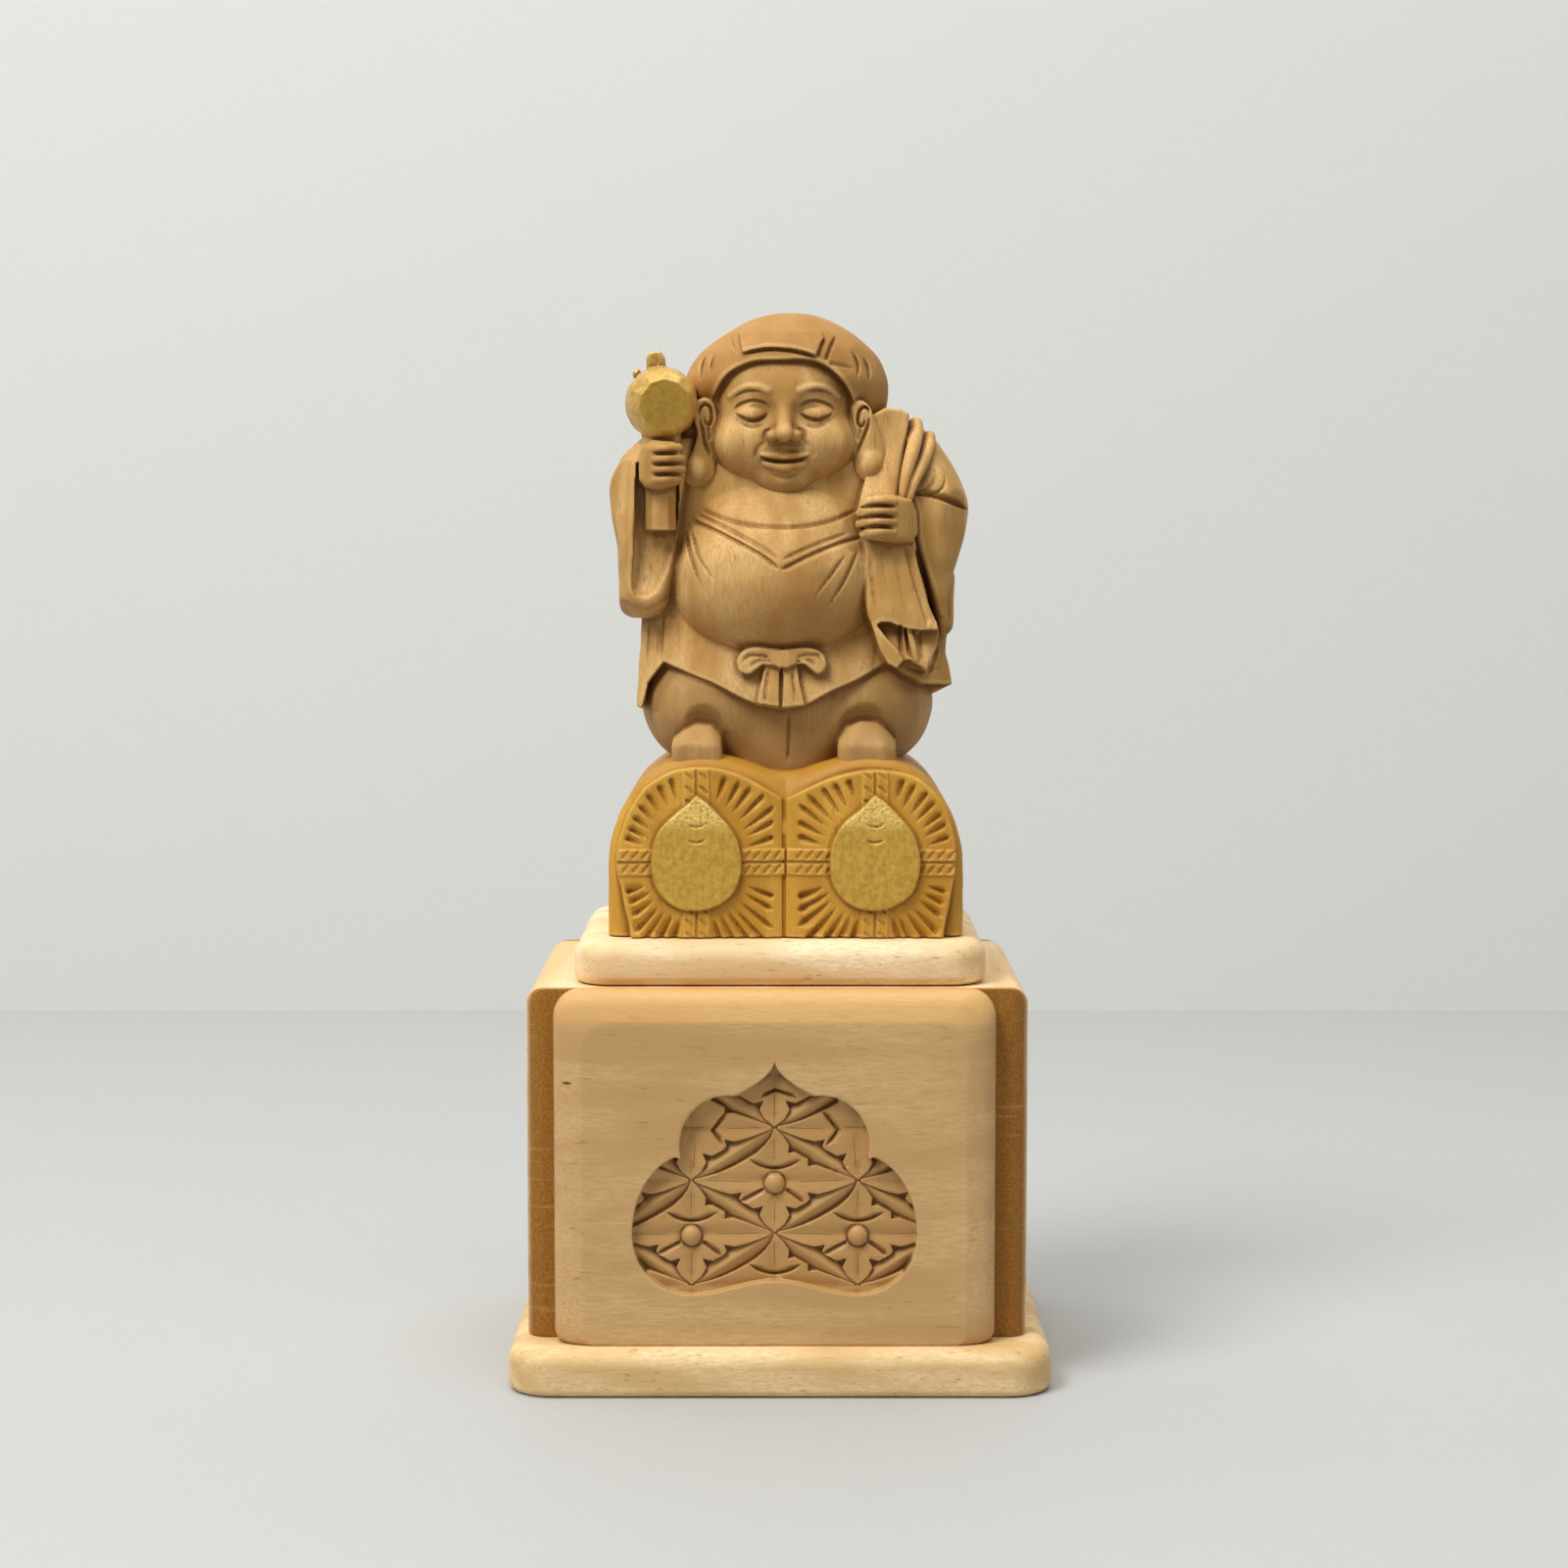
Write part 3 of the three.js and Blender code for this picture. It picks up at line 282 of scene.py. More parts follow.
def outline_distance(x, z, outline):
    """Signed distance to a closed outline: nearest edge, negative where the edges wind round."""
    nearest = np.full(np.broadcast_shapes(np.shape(x), np.shape(z)), 1e6)
    inside = np.zeros(nearest.shape, bool)
    ends = np.roll(outline, -1, axis=0)
    for start, end in zip(outline, ends):
        distance, _, _ = to_segment(x, z, start, end)
        nearest = np.minimum(nearest, distance)
        rises = (start[1] > z) != (end[1] > z)
        slope = (end[0] - start[0]) / (end[1] - start[1] if end[1] != start[1] else 1e-9)
        inside ^= rises & (x < start[0] + (z - start[1]) * slope)
    return np.where(inside, -nearest, nearest)


def stroke(x, z, line, width, depth, lean=0.0, ends=(0.3, 0.3)):
    """Depth of a V cut along a line, with its lowest place moved aside by `lean` and its two ends
    running out over the shares `ends` of its length."""
    line = np.asarray(line, float)
    lengths = np.hypot(*np.diff(line, axis=0).T)
    reached = np.concatenate([[0], np.cumsum(lengths)])
    best = np.full(np.broadcast_shapes(np.shape(x), np.shape(z)), 1e6)
    place = np.zeros(best.shape)
    aside = np.zeros(best.shape)
    for k in range(len(line) - 1):
        distance, share, side = to_segment(x, z, line[k], line[k + 1])
        nearer = distance < best
        best = np.where(nearer, distance, best)
        place = np.where(nearer, (reached[k] + share * lengths[k]) / reached[-1], place)
        aside = np.where(nearer, np.sign(side), aside)
    run_out = np.clip(np.minimum(place / ends[0], (1 - place) / ends[1]), 0, 1)
    swell = np.sin(run_out * math.pi / 2)
    half = np.maximum(width * swell * (1 + lean * aside) / 2, 1e-3)
    return depth * swell * np.clip(1 - best / half, 0, 1)


# %% The window's outline
PANEL_LOW, PANEL_HIGH = span("front_panel")
PANEL_EDGE = [
    (5.2, 0), (5, 0.02), (4.7, 0.10), (3.6, 0.42), (2.5, 0.76), (1.75, 1.08), (1.1, 1.5),
    (0.6, 1.95), (0.25, 2.6), (0.06, 3.2), (0, 3.8),
]
PANEL_CORNER = 4.5
PANEL_LOWER_CORNER = 2.0
WINDOW = {"width": 48.6, "height": 40.3, "foot": 8.7, "depth": 1.6}
CELL = {"width": 28.4, "height": 18.2, "middle": 19.5}
TIP = {"wide": 0.28, "drop": 0.205, "rise": 0.058}
SHOULDER = {"x": 0.33, "z": 0.64, "wide": 0.335, "high": 0.215, "low": 0.215, "turn": (97, -16)}
LOBE = {"x": 0.585, "z": 0.26, "wide": 0.415, "high": 0.345, "low": 0.26, "turn": (75, -90)}
FOOT_RISE = 0.03


def window_outline():
    """Half of the outline as a hollow curve from the tip, two arcs and a cosine wave along the
    foot, in shares of the half width and the height, mirrored to the other half."""
    t = np.linspace(0, 1, 14, endpoint=False)
    parts = [np.stack([TIP["wide"] * t**1.3, 1 - TIP["drop"] * t**0.8 + TIP["rise"] * t], -1)]
    for arc in (SHOULDER, LOBE):
        angle = np.radians(np.linspace(*arc["turn"], 26))
        reach = np.where(angle < 0, arc["low"], arc["high"])
        across = arc["x"] + arc["wide"] * np.cos(angle)
        parts.append(np.stack([across, arc["z"] + reach * np.sin(angle)], -1))
    t = np.linspace(0, 1, 15)[1:]
    parts.append(np.stack([LOBE["x"] * (1 - t), FOOT_RISE * (1 - np.cos(math.pi * t))], -1))
    half = np.concatenate(parts) * [WINDOW["width"] / 2, WINDOW["height"]] + [0, WINDOW["foot"]]
    return np.concatenate([half, half[-2:0:-1] * [-1, 1]])


def ray_reach(outline, centre, angles):
    """How far a ray from the centre goes to the outline, whose edges are first cut up finely."""
    share = np.linspace(0, 1, 60, endpoint=False)[None, :, None]
    ends = np.roll(outline, -1, axis=0)
    fine = outline[:, None] + share * (ends - outline)[:, None]
    offset = fine.reshape(-1, 2) - centre
    own = np.arctan2(offset[:, 1], offset[:, 0])
    order = np.argsort(own)
    far = np.hypot(*offset.T)[order]
    return np.interp(angles, own[order], far, period=2 * math.pi)


print("the window is", WINDOW["width"], "by", WINDOW["height"], "mm")

# %% [markdown]
# ## The flowers in the window
# Each cell of the lattice holds a flower of four pointed petals. The relief is written as a carver
# would work: the flower's serrated outline, the bars around it, the V cuts that part the petals,
# and the button in the middle. Each is a short formula for the depth at a place in front view.

# %% The flowers' outline and cuts
LOWER_QUARTER = [
    (0, 9), (1.75, 7.5), (2.6, 6), (2, 4.5), (3.6, 4.9), (5.6, 3.8), (6.1, 3.2),
    (5.7, 2.1), (7.4, 2.4), (9.5, 1.85), (13.7, 0.25),
]
UPPER_QUARTER = [
    (0, 9.1), (1.5, 7.6), (2.5, 6.1), (2.4, 4.8), (3.6, 4.8), (5.7, 3.6), (5.8, 2.5),
    (7.2, 2.6), (9.5, 1.8), (13.7, 0.25),
]
SMOOTH_QUARTER = [
    (-0.7, 7.4), (-1.7, 6), (-3.2, 4.6), (-5, 3.5), (-6.8, 2.5), (-9.2, 1.4), (-11.4, 0.7),
    (-13.7, 0.25),
]
MIDDLE_LINES = [
    ([(2.2, -0.3), (13, 0)], 0.34, 0.16), ([(-2.2, -0.3), (-13, 0)], 0.34, 0.16),
    ([(0, 2.6), (0, 8)], 0.34, 0.16), ([(0, -2.6), (0, -8)], 0.34, 0.16),
]
WHOLE_CUTS = MIDDLE_LINES + [
    ([(-4.5, 3.8), (-2.4, 2.5), (0, 1.95), (2.4, 2.5), (4.7, 3.8)], 1.5, 0.8),
    ([(1.3, -1.2), (5.3, -4.1)], 1.4, 0.75), ([(-1.3, -1.1), (-6.1, -3.6)], 1.4, 0.75),
]
SIDE_CUTS = [
    ([(6.25, 3.1), (3.5, -0.5), (5.6, -3.2)], 1.5, 0.9), ([(4.6, -0.2), (13, 0)], 0.34, 0.16),
    ([(0.7, -1), (0.3, -8)], 0.34, 0.16), ([(-2.6, 0), (3.2, 0)], 0.34, 0.14),
]
CUTS = {
    (0, 0): WHOLE_CUTS, (-1, -1): WHOLE_CUTS, (1, -1): WHOLE_CUTS, (-1, 1): SIDE_CUTS,
    (1, 1): [([(-x, z) for x, z in line], width, deep) for line, width, deep in SIDE_CUTS],
    (0, 2): [([(-2.6, -3.9), (0.1, -2.7), (4, -4)], 1.3, 0.8), MIDDLE_LINES[3]],
    (0, -2): [WHOLE_CUTS[4], MIDDLE_LINES[2]],
}
BUTTON = {"radius": 1.8, "drop": 0.45, "height": 1.5, "cells": [(0, 0), (-1, -1), (1, -1)]}
MITRE = (0.25, 0.25)
PETAL = {"wide": 13, "high": 8.4, "depth": 0.4, "fold": 0.26, "fold_wide": 1.3, "fold_high": 1.1}
BAR = {"crest": 0.36, "rise": 0.12, "fall": 0.45, "lowest": 1.2}
STEP_WIDTH = 0.14
TOP_ROOM, SHOULDER_ROOM = -3.6, (3.4, -4.5)


def flower_outline():
    """The serrated lower quarter and its mirror image, a serrated quarter at the upper right and
    a smooth one at the upper left, wound round the flower."""
    lower = np.array(LOWER_QUARTER) * [1, -1]
    return np.concatenate([lower, UPPER_QUARTER[::-1], SMOOTH_QUARTER, lower[:0:-1] * [-1, 1]])


print(len(flower_outline()), "points round a flower")


# %% Depth of the lattice
def lattice_depth(x, z):
    """Depth below the recess. Between the knots run bars like low roofs: their depth grows with
    the distance to the line from knot to knot. The flowers stand above them with a step at their
    edges, V cuts part the petals, and a button stands up in the middle. Under the window's tip and
    shoulders and at its foot the cells are left plain."""
    half_x, half_z = CELL["width"] / 2, CELL["height"] / 2
    z = z - WINDOW["foot"] - CELL["middle"]
    column, row = x / half_x, z / half_z
    even = (np.round((column + row) / 2) * 2, np.round((column - row) / 2) * 2)
    i, j = (even[0] + even[1]) / 2, (even[0] - even[1]) / 2
    in_x, in_z = x - i * half_x, z - j * half_z
    beyond = outline_distance(in_x, in_z, flower_outline())
    room_x, room_z = SHOULDER_ROOM
    under_tip = (i == 0) & (j > 1) & (in_z > TOP_ROOM)
    under_shoulder = (np.abs(i) == 1) & (j > 0) & (-in_x * i < room_x) & (in_z > room_z)
    beyond = np.where(under_tip | under_shoulder | (z < -2 * half_z), -1, beyond)
    petal = np.clip(1 - np.abs(in_x) / PETAL["wide"], 0, 1)
    petal = petal * np.clip(1 - np.abs(in_z) / PETAL["high"], 0, 1)
    fold = np.minimum(np.abs(in_x) / PETAL["fold_wide"], np.abs(in_z) / PETAL["fold_high"])
    to_knots = np.clip(4 * (1 - np.abs(in_x) / half_x - np.abs(in_z) / half_z), 0.25, 1)
    surface = PETAL["depth"] * petal**2 + PETAL["fold"] * to_knots * np.exp(-(fold**2))
    across = half_x * half_z / math.hypot(half_x, half_z)
    from_line = np.abs(1 - np.abs(in_x) / half_x - np.abs(in_z) / half_z) * across
    crest = BAR["crest"] - BAR["rise"] * np.sin(math.pi * np.clip(np.abs(in_x) / half_x, 0, 1))
    bar = np.minimum(crest + BAR["fall"] * from_line**1.4, BAR["lowest"])
    bar = np.maximum(bar, surface)
    step = np.clip(beyond / STEP_WIDTH + 0.5, 0, 1)
    depth = surface + (bar - surface) * step
    for (column, row), cuts in CUTS.items():
        here = (i == column) & (j == row)
        for line, width, deep in cuts:
            sharp = line if len(line) < 4 else smooth_line(line, 4)
            sunk = deep + surface[here]
            cut = stroke(in_x[here], in_z[here], sharp, width, sunk, 0.4, MITRE)
            depth[here] = np.maximum(depth[here], cut)
    for i, j in BUTTON["cells"]:
        aside = np.hypot(x - i * half_x, z - j * half_z + BUTTON["drop"]) / BUTTON["radius"]
        ring = 0.6 * np.clip(1 - np.abs(aside - 1.1) / 0.16, 0, 1)
        dome = np.sqrt(np.clip(1 - aside**2, 0, 1))
        depth = np.where(ring > 0, np.maximum(depth, ring), depth)
        depth = np.where(aside < 1, 0.7 - BUTTON["height"] * dome, depth)
    return depth


# %% [markdown]
# ## The panel's surface
# Rings across the rays fill the recess, climb its wall, cross the flat face in one stride and go
# round the outer edge. The flat face keeps its points, for an even shade; the rest is thinned.

# %% Rays and rings of the panel
RAYS, FIELD_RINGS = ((1200, 220))
SPACING, INNERMOST, OUTERMOST = 0.85, 0.004, 0.995
RAY_CENTRE_HEIGHT = 0.42
panel_size = PANEL_HIGH - PANEL_LOW
panel_middle = (PANEL_HIGH[0] + PANEL_LOW[0]) / 2
ray_angle = np.linspace(-math.pi, math.pi, RAYS, endpoint=False)
ray_centre = np.array([0, WINDOW["foot"] + RAY_CENTRE_HEIGHT * WINDOW["height"]])
ray_way = np.stack([np.cos(ray_angle), np.sin(ray_angle)], -1)


def front_outline(inset):
    """The panel's outline drawn in by an inset at the sides and the top, with a tighter foot."""
    half = panel_size[0] / 2 - inset
    top = panel_size[2] - inset
    corner, foot = PANEL_CORNER, PANEL_LOWER_CORNER
    turn = np.linspace(0, math.pi / 2, 12)
    across, up = half - corner + corner * np.cos(turn), top - corner + corner * np.sin(turn)
    lower = np.stack([half - foot + foot * np.sin(turn), foot - foot * np.cos(turn)], -1)
    right = np.concatenate([lower, np.stack([across, up], -1)])
    return np.concatenate([right, right[::-1] * [-1, 1]])


def ray_ring(reach, depth):
    """One ring: a point on every ray at its reach, with the depth behind the panel's face."""
    flat = ray_centre + reach[:, None] * ray_way
    depth = np.broadcast_to(depth, RAYS)
    return np.stack([flat[:, 0], depth, flat[:, 1]], -1)


rim = ray_reach(window_outline(), ray_centre, ray_angle)
print("rays reach", np.round([rim.min(), rim.max()], 1), "mm to the rim")

# %% The carved panel
PANEL_TRIANGLES = 185000
RIM_ROUND = 0.1
shares = np.linspace(INNERMOST, 1, FIELD_RINGS) ** SPACING * OUTERMOST
field_rings = [rim * share for share in shares]
panel_rings = []
for reach in field_rings:
    spots = ray_centre + reach[:, None] * ray_way
    carved = WINDOW["depth"] + lattice_depth(spots[:, 0], spots[:, 1])
    panel_rings.append(ray_ring(reach, carved))
panel_rings += [ray_ring(rim * 0.998, 0.5), ray_ring(rim, 0.08), ray_ring(rim + RIM_ROUND, 0)]
flat_edge = ray_reach(front_outline(PANEL_EDGE[0][0]), ray_centre, ray_angle)
for share in (0.03, 0.97, 1):
    panel_rings.append(ray_ring(rim + RIM_ROUND + (flat_edge - rim - RIM_ROUND) * share, 0))
for inset, depth in PANEL_EDGE[1:]:
    reach = ray_reach(front_outline(inset), ray_centre, ray_angle)
    panel_rings.append(ray_ring(reach, depth))
outer = ray_reach(front_outline(0), ray_centre, ray_angle)
thickness = panel_size[1]
panel_rings += [ray_ring(outer, thickness - 0.2), ray_ring(outer - 0.2, thickness)]
panel_rings += [ray_ring(outer * 0.5, thickness)]
panel_place = [panel_middle, PANEL_LOW[1], PANEL_LOW[2]]
panel_rings = np.array(panel_rings) + panel_place
panel_points, panel_quads, panel_fans = close_rings(panel_rings[::-1])
front_panel = make_piece(
    "carved_panel", panel_points, panel_quads, panel_fans, "front_panel", "panel_wood"
)
thin_out(front_panel, PANEL_TRIANGLES, kept=panel_points[:, 1] < PANEL_LOW[1] + 1e-4)

# %% Hollows of the relief
REACHES = (2, 4, 8, 14)
field_depth = panel_rings[:FIELD_RINGS, :, 1] - PANEL_LOW[1]
crease = np.zeros(field_depth.shape)
for shift in REACHES:
    for axis in (0, 1):
        around = (np.roll(field_depth, shift, axis) + np.roll(field_depth, -shift, axis)) / 2
        crease += np.clip((field_depth - around) / (0.06 * shift), 0, 1) / 8
spots, _ = piece_points(front_panel, panel_place)
offset = spots[:, [0, 2]] - ray_centre
turn = (np.arctan2(offset[:, 1], offset[:, 0]) + math.pi) / (2 * math.pi) * RAYS
ray = np.round(turn).astype(int) % RAYS
share = np.hypot(*offset.T) / rim[ray]
ring = (np.clip(share / OUTERMOST, 0, 1) ** (1 / SPACING) - INNERMOST) / (1 - INNERMOST)
ring = np.clip(np.round(ring * (FIELD_RINGS - 1)).astype(int), 0, FIELD_RINGS - 1)
in_window = (share < 1) & (spots[:, 1] < panel_size[1] / 2)
# The window is marked, for stain with painted shade over the recess.
paint(front_panel, "carved", in_window)
# Painted shade with dirt: how deep each point lies in a crease of the relief.
paint(front_panel, "hollow", in_window * np.clip(crease[ring, ray] * 2.2, 0, 1))
print(int(in_window.sum()), "points lie in the window")

# %% [markdown]
# ## Carving in a block of distances
# The figure isn't one sheet that can be written as a function of two parameters: sleeves, sack, ears
# and hands stand free of the body and meet in sharp creases. It could be sculpted by hand, or put
# together from shapes with Booleans and a Remesh modifier. Here it is made as a carver makes it,
# from a block. The block is a grid of numbers: the distance to the nearest surface, in millimetres,
# negative inside the wood. A ball, a turned form, a slab cut to a drawn outline or a rod is a short
# formula for that distance. Joining two forms takes the smaller number, cutting takes the larger
# one, and a soft step between them gives the rounded seam that a gouge leaves.

# %% A block of distances
FAR = 6.0


def soft_min(a, b, soft):
    """The smaller of two distances, eased where they differ by less than `soft`."""
    ease = np.maximum(soft - np.abs(a - b), 0) / soft
    return np.minimum(a, b) - ease * ease * soft / 4


class Block:
    """A grid of signed distances in millimetres over a box from `low` to `high`."""

    def __init__(self, low, high, step):
        self.step = step
        self.first = np.floor(np.divide(low, step)).astype(int)
        count = np.ceil(np.divide(high, step)).astype(int) - self.first + 1
        self.field = np.full(count, FAR, np.float32)

    def window(self, low, high):
        """The part of the grid inside a box, and its three coordinates ready to broadcast."""
        start = np.floor(np.divide(low, self.step)).astype(int) - self.first
        stop = np.ceil(np.divide(high, self.step)).astype(int) - self.first + 1
        start, stop = np.maximum(start, 0), np.minimum(stop, self.field.shape)
        axes = []
        for k in range(3):
            shape = [1, 1, 1]
            shape[k] = -1
            places = (np.arange(start[k], stop[k]) + self.first[k]) * self.step
            axes.append(places.astype(np.float32).reshape(shape))
        return tuple(slice(a, b) for a, b in zip(start, stop)), axes

    def add(self, form, soft=0.3):
        """Joins a form on."""
        low, high, distance = form
        place, axes = self.window(np.subtract(low, soft + 1), np.add(high, soft + 1))
        self.field[place] = soft_min(self.field[place], distance(*axes), soft)
        return self

    def cut(self, form, soft=0.3):
        """Cuts a form away."""
        low, high, distance = form
        place, axes = self.window(np.subtract(low, soft + 1), np.add(high, soft + 1))
        self.field[place] = -soft_min(-self.field[place], distance(*axes), soft)
        return self

    def keep(self, form, soft=0.3):
        """Cuts away all that is outside a form."""
        _, _, distance = form
        whole = (-1e6,) * 3, (1e6,) * 3
        place, axes = self.window(*whole)
        self.field[place] = -soft_min(-self.field[place], -distance(*axes), soft)
        return self

    def carve(self, lines, behind=0, before=-1e6):
        """Sinks V cuts into the surface between two depths, by adding their depth to the field."""
        for line, width, depth, lean, *ends in lines:
            line = smooth_line(line)
            low = [line[:, 0].min() - width, before, line[:, 1].min() - width]
            high = [line[:, 0].max() + width, behind, line[:, 1].max() + width]
            place, (x, y, z) = self.window(low, high)
            sunk = stroke(x, z, line, width, depth, lean, *ends)
            self.field[place] += sunk.astype(np.float32)
        return self

    def join(self, other, soft=0.25):
        """Joins another block on, where the two grids overlap."""
        start = np.maximum(self.first, other.first)
        ends = (b.first + b.field.shape for b in (self, other))
        stop = np.minimum(*ends)
        here = tuple(map(slice, start - self.first, stop - self.first))
        there = tuple(map(slice, start - other.first, stop - other.first))
        self.field[here] = soft_min(self.field[here], other.field[there], soft)
        return self


# %% Ball and stack of ovals
def ball(at, size, turn=0):
    """A ball stretched to three radii, tilted in front view by degrees. Its distance is k(k-1)/g,
    where k is the length in radii and g that length divided once more by the radii."""
    reach = max(size)
    c, s = math.cos(math.radians(turn)), math.sin(math.radians(turn))

    def distance(x, y, z):
        x, y, z = x - at[0], y - at[1], z - at[2]
        x, z = c * x - s * z, s * x + c * z
        k = np.sqrt((x / size[0]) ** 2 + (y / size[1]) ** 2 + (z / size[2]) ** 2)
        g = np.sqrt((x / size[0] ** 2) ** 2 + (y / size[1] ** 2) ** 2 + (z / size[2] ** 2) ** 2)
        return (k * (k - 1) / np.maximum(g, 1e-6)).astype(np.float32)

    return np.subtract(at, reach), np.add(at, reach), distance


def stack(rows, fullness=2, round_ends=0.5):
    """Level ovals between rows of height, middle x, middle y, half width and half depth. At each
    height the oval is (|u|^n + |v|^n)^(1/n) = 1, and its distance is divided by its own slope."""
    rows = np.asarray(rows, float)
    fine = smooth_line(rows, 10)
    order = np.argsort(fine[:, 0])
    fine = fine[order]
    low = [np.min(fine[:, 1] - fine[:, 3]), np.min(fine[:, 2] - fine[:, 4]), rows[0, 0]]
    high = [np.max(fine[:, 1] + fine[:, 3]), np.max(fine[:, 2] + fine[:, 4]), rows[-1, 0]]
    n = fullness

    def distance(x, y, z):
        mid_x, mid_y, wide, deep = (np.interp(z, fine[:, 0], fine[:, k]) for k in range(1, 5))
        slope = np.gradient((wide + deep).ravel() / 2, np.ravel(z)).reshape(np.shape(z))
        u = np.abs(x - mid_x) / wide
        v = np.abs(y - mid_y) / deep
        reach = np.maximum((u**n + v**n) ** (1 / n), 1e-3)
        steep = np.hypot((u / reach) ** (n - 1) / wide, (v / reach) ** (n - 1) / deep)
        side = (reach - 1) / np.maximum(steep, 1e-4) / np.sqrt(1 + slope**2)
        ends = np.maximum(rows[0, 0] - z, z - rows[-1, 0])
        return -soft_min(-side, -ends, round_ends).astype(np.float32)

    return low, high, distance


# %% Slab and rod
def face_depth(face, x, z):
    """The depth of a slab's face, given as one number or as a function of the place."""
    return face(x, z) if callable(face) else face


def slab(outline, front, back, edge=0.6, smooth=False):
    """An outline drawn in front view with thickness from front to back and rounded edges: the
    distance to the outline and to the two faces are joined as the legs of a right angle. Front and
    back are depths, or functions of the place in front view."""
    outline = np.asarray(outline, float)
    if smooth:
        outline = smooth_line(outline, 5, closed=True)
    box_x = np.linspace(outline[:, 0].min(), outline[:, 0].max(), 20)[:, None]
    box_z = np.linspace(outline[:, 1].min(), outline[:, 1].max(), 20)[None, :]
    low = [outline[:, 0].min(), np.min(face_depth(front, box_x, box_z)), outline[:, 1].min()]
    high = [outline[:, 0].max(), np.max(face_depth(back, box_x, box_z)), outline[:, 1].max()]

    def distance(x, y, z):
        beside = outline_distance(x, z, outline) + edge
        beyond = np.maximum(face_depth(front, x, z) - y, y - face_depth(back, x, z)) + edge
        outside = np.hypot(np.maximum(beside, 0), np.maximum(beyond, 0))
        return (np.minimum(np.maximum(beside, beyond), 0) + outside - edge).astype(np.float32)

    return low, high, distance


def rod(points, radii, flatness=1, curved=True):
    """A round rod along a curve: the distance to the nearest straight piece, less its radius."""
    spine = np.concatenate([np.asarray(points, float), np.reshape(radii, (-1, 1))], 1)
    if curved and len(points) > 2:
        spine = smooth_line(spine, 4)
    reach = spine[:, 3].max()
    low, high = spine[:, :3].min(0) - reach, spine[:, :3].max(0) + reach

    def distance(x, y, z):
        best = None
        for start, end in zip(spine[:-1], spine[1:]):
            along = end[:3] - start[:3]
            share = (x - start[0]) * along[0] + (y - start[1]) * along[1]
            share = (share + (z - start[2]) * along[2]) / max(along @ along, 1e-9)
            share = np.clip(share, 0, 1)
            off = (x - start[0] - share * along[0]) ** 2
            off = off + ((y - start[1] - share * along[1]) / flatness) ** 2
            off = np.sqrt(off + (z - start[2] - share * along[2]) ** 2)
            off = off - (start[3] + share * (end[3] - start[3]))
            best = off if best is None else np.minimum(best, off)
        return best.astype(np.float32)

    return low, high, distance


# %% Flat cut and overlap
def half_space(point, way):
    """All that lies behind a flat knife cut through a point, whose outward direction is `way`."""
    way = np.divide(way, np.linalg.norm(way))

    def distance(x, y, z):
        flat = (x - point[0]) * way[0] + (y - point[1]) * way[1] + (z - point[2]) * way[2]
        return flat.astype(np.float32)

    return (-1e6,) * 3, (1e6,) * 3, distance


def both(first, second, soft=0.2):
    """Where two forms overlap, inside the first one's box."""
    low, high, one = first
    _, _, other = second

    def distance(x, y, z):
        return -soft_min(-one(x, y, z), -other(x, y, z), soft)

    return low, high, distance


def leaning(depth, lean, level, swell=0, middle=0):
    """A front face that comes forward by `lean` for each millimetre below a level, and falls back
    by `swell` times the square of the distance from a middle."""

    def face(x, z):
        return depth - lean * (level - z) + swell * (x - middle) ** 2

    return face


# %% [markdown]
# ## From the block to a piece
# The surface lies where the distance is nought. A net of four-sided faces goes through all cells
# that it passes, its points are moved onto it along the slope, and a modifier takes out the
# triangles that flat places don't need. The grid also tells the finishes how hollow each place is.

# %% The skin of a block
def block_skin(block):
    """Finds the surface as a net: one point in every cell that the surface passes, at the middle
    of the places where it crosses the cell's edges, and a quad round every crossed grid edge."""
    field = block.field
    inside = field < 0
    low, high = slice(None, -1), slice(1, None)
    corners = [(a, b, c) for a in (0, 1) for b in (0, 1) for c in (0, 1)]
    pick = {0: low, 1: high}
    count = sum(inside[pick[a], pick[b], pick[c]].astype(np.int8) for a, b, c in corners)
    cells = np.argwhere((count > 0) & (count < 8))
    value = np.stack([field[tuple((cells + corner).T)] for corner in corners], 1)
    total = np.zeros((len(cells), 3))
    crossings = np.zeros(len(cells))
    for m, a in enumerate(corners):
        for n, b in enumerate(corners):
            if m < n and sum(np.abs(np.subtract(a, b))) == 1:
                crossed = (value[:, m] < 0) != (value[:, n] < 0)
                gap = np.where(crossed, value[:, m] - value[:, n], 1)
                share = np.where(crossed, value[:, m] / gap, 0)[:, None]
                total += crossed[:, None] * (a + share * np.subtract(b, a))
                crossings += crossed
    points = (cells + total / crossings[:, None] + block.first) * block.step
    index = np.full(count.shape, -1, np.int32)
    index[tuple(cells.T)] = np.arange(len(cells))
    quads = []
    for axis in range(3):
        one = [slice(1, -1)] * 3
        two = [slice(1, -1)] * 3
        one[axis], two[axis] = slice(0, -1), slice(1, None)
        crossed = inside[tuple(one)] != inside[tuple(two)]
        edge = np.argwhere(crossed)
        shift = np.ones(3, int)
        shift[axis] = 0
        base = edge + shift
        u, v = [k for k in range(3) if k != axis]
        around = []
        for du, dv in ((0, 0), (1, 0), (1, 1), (0, 1)):
            cell = base.copy()
            cell[:, u] -= du
            cell[:, v] -= dv
            around.append(index[tuple(cell.T)])
        quad = np.stack(around, 1)
        starts_inside = inside[tuple(one)][crossed]
        flip = starts_inside if axis != 1 else ~starts_inside
        quad[~flip] = quad[~flip][:, ::-1]
        quads.append(quad)
    return points, np.concatenate(quads)


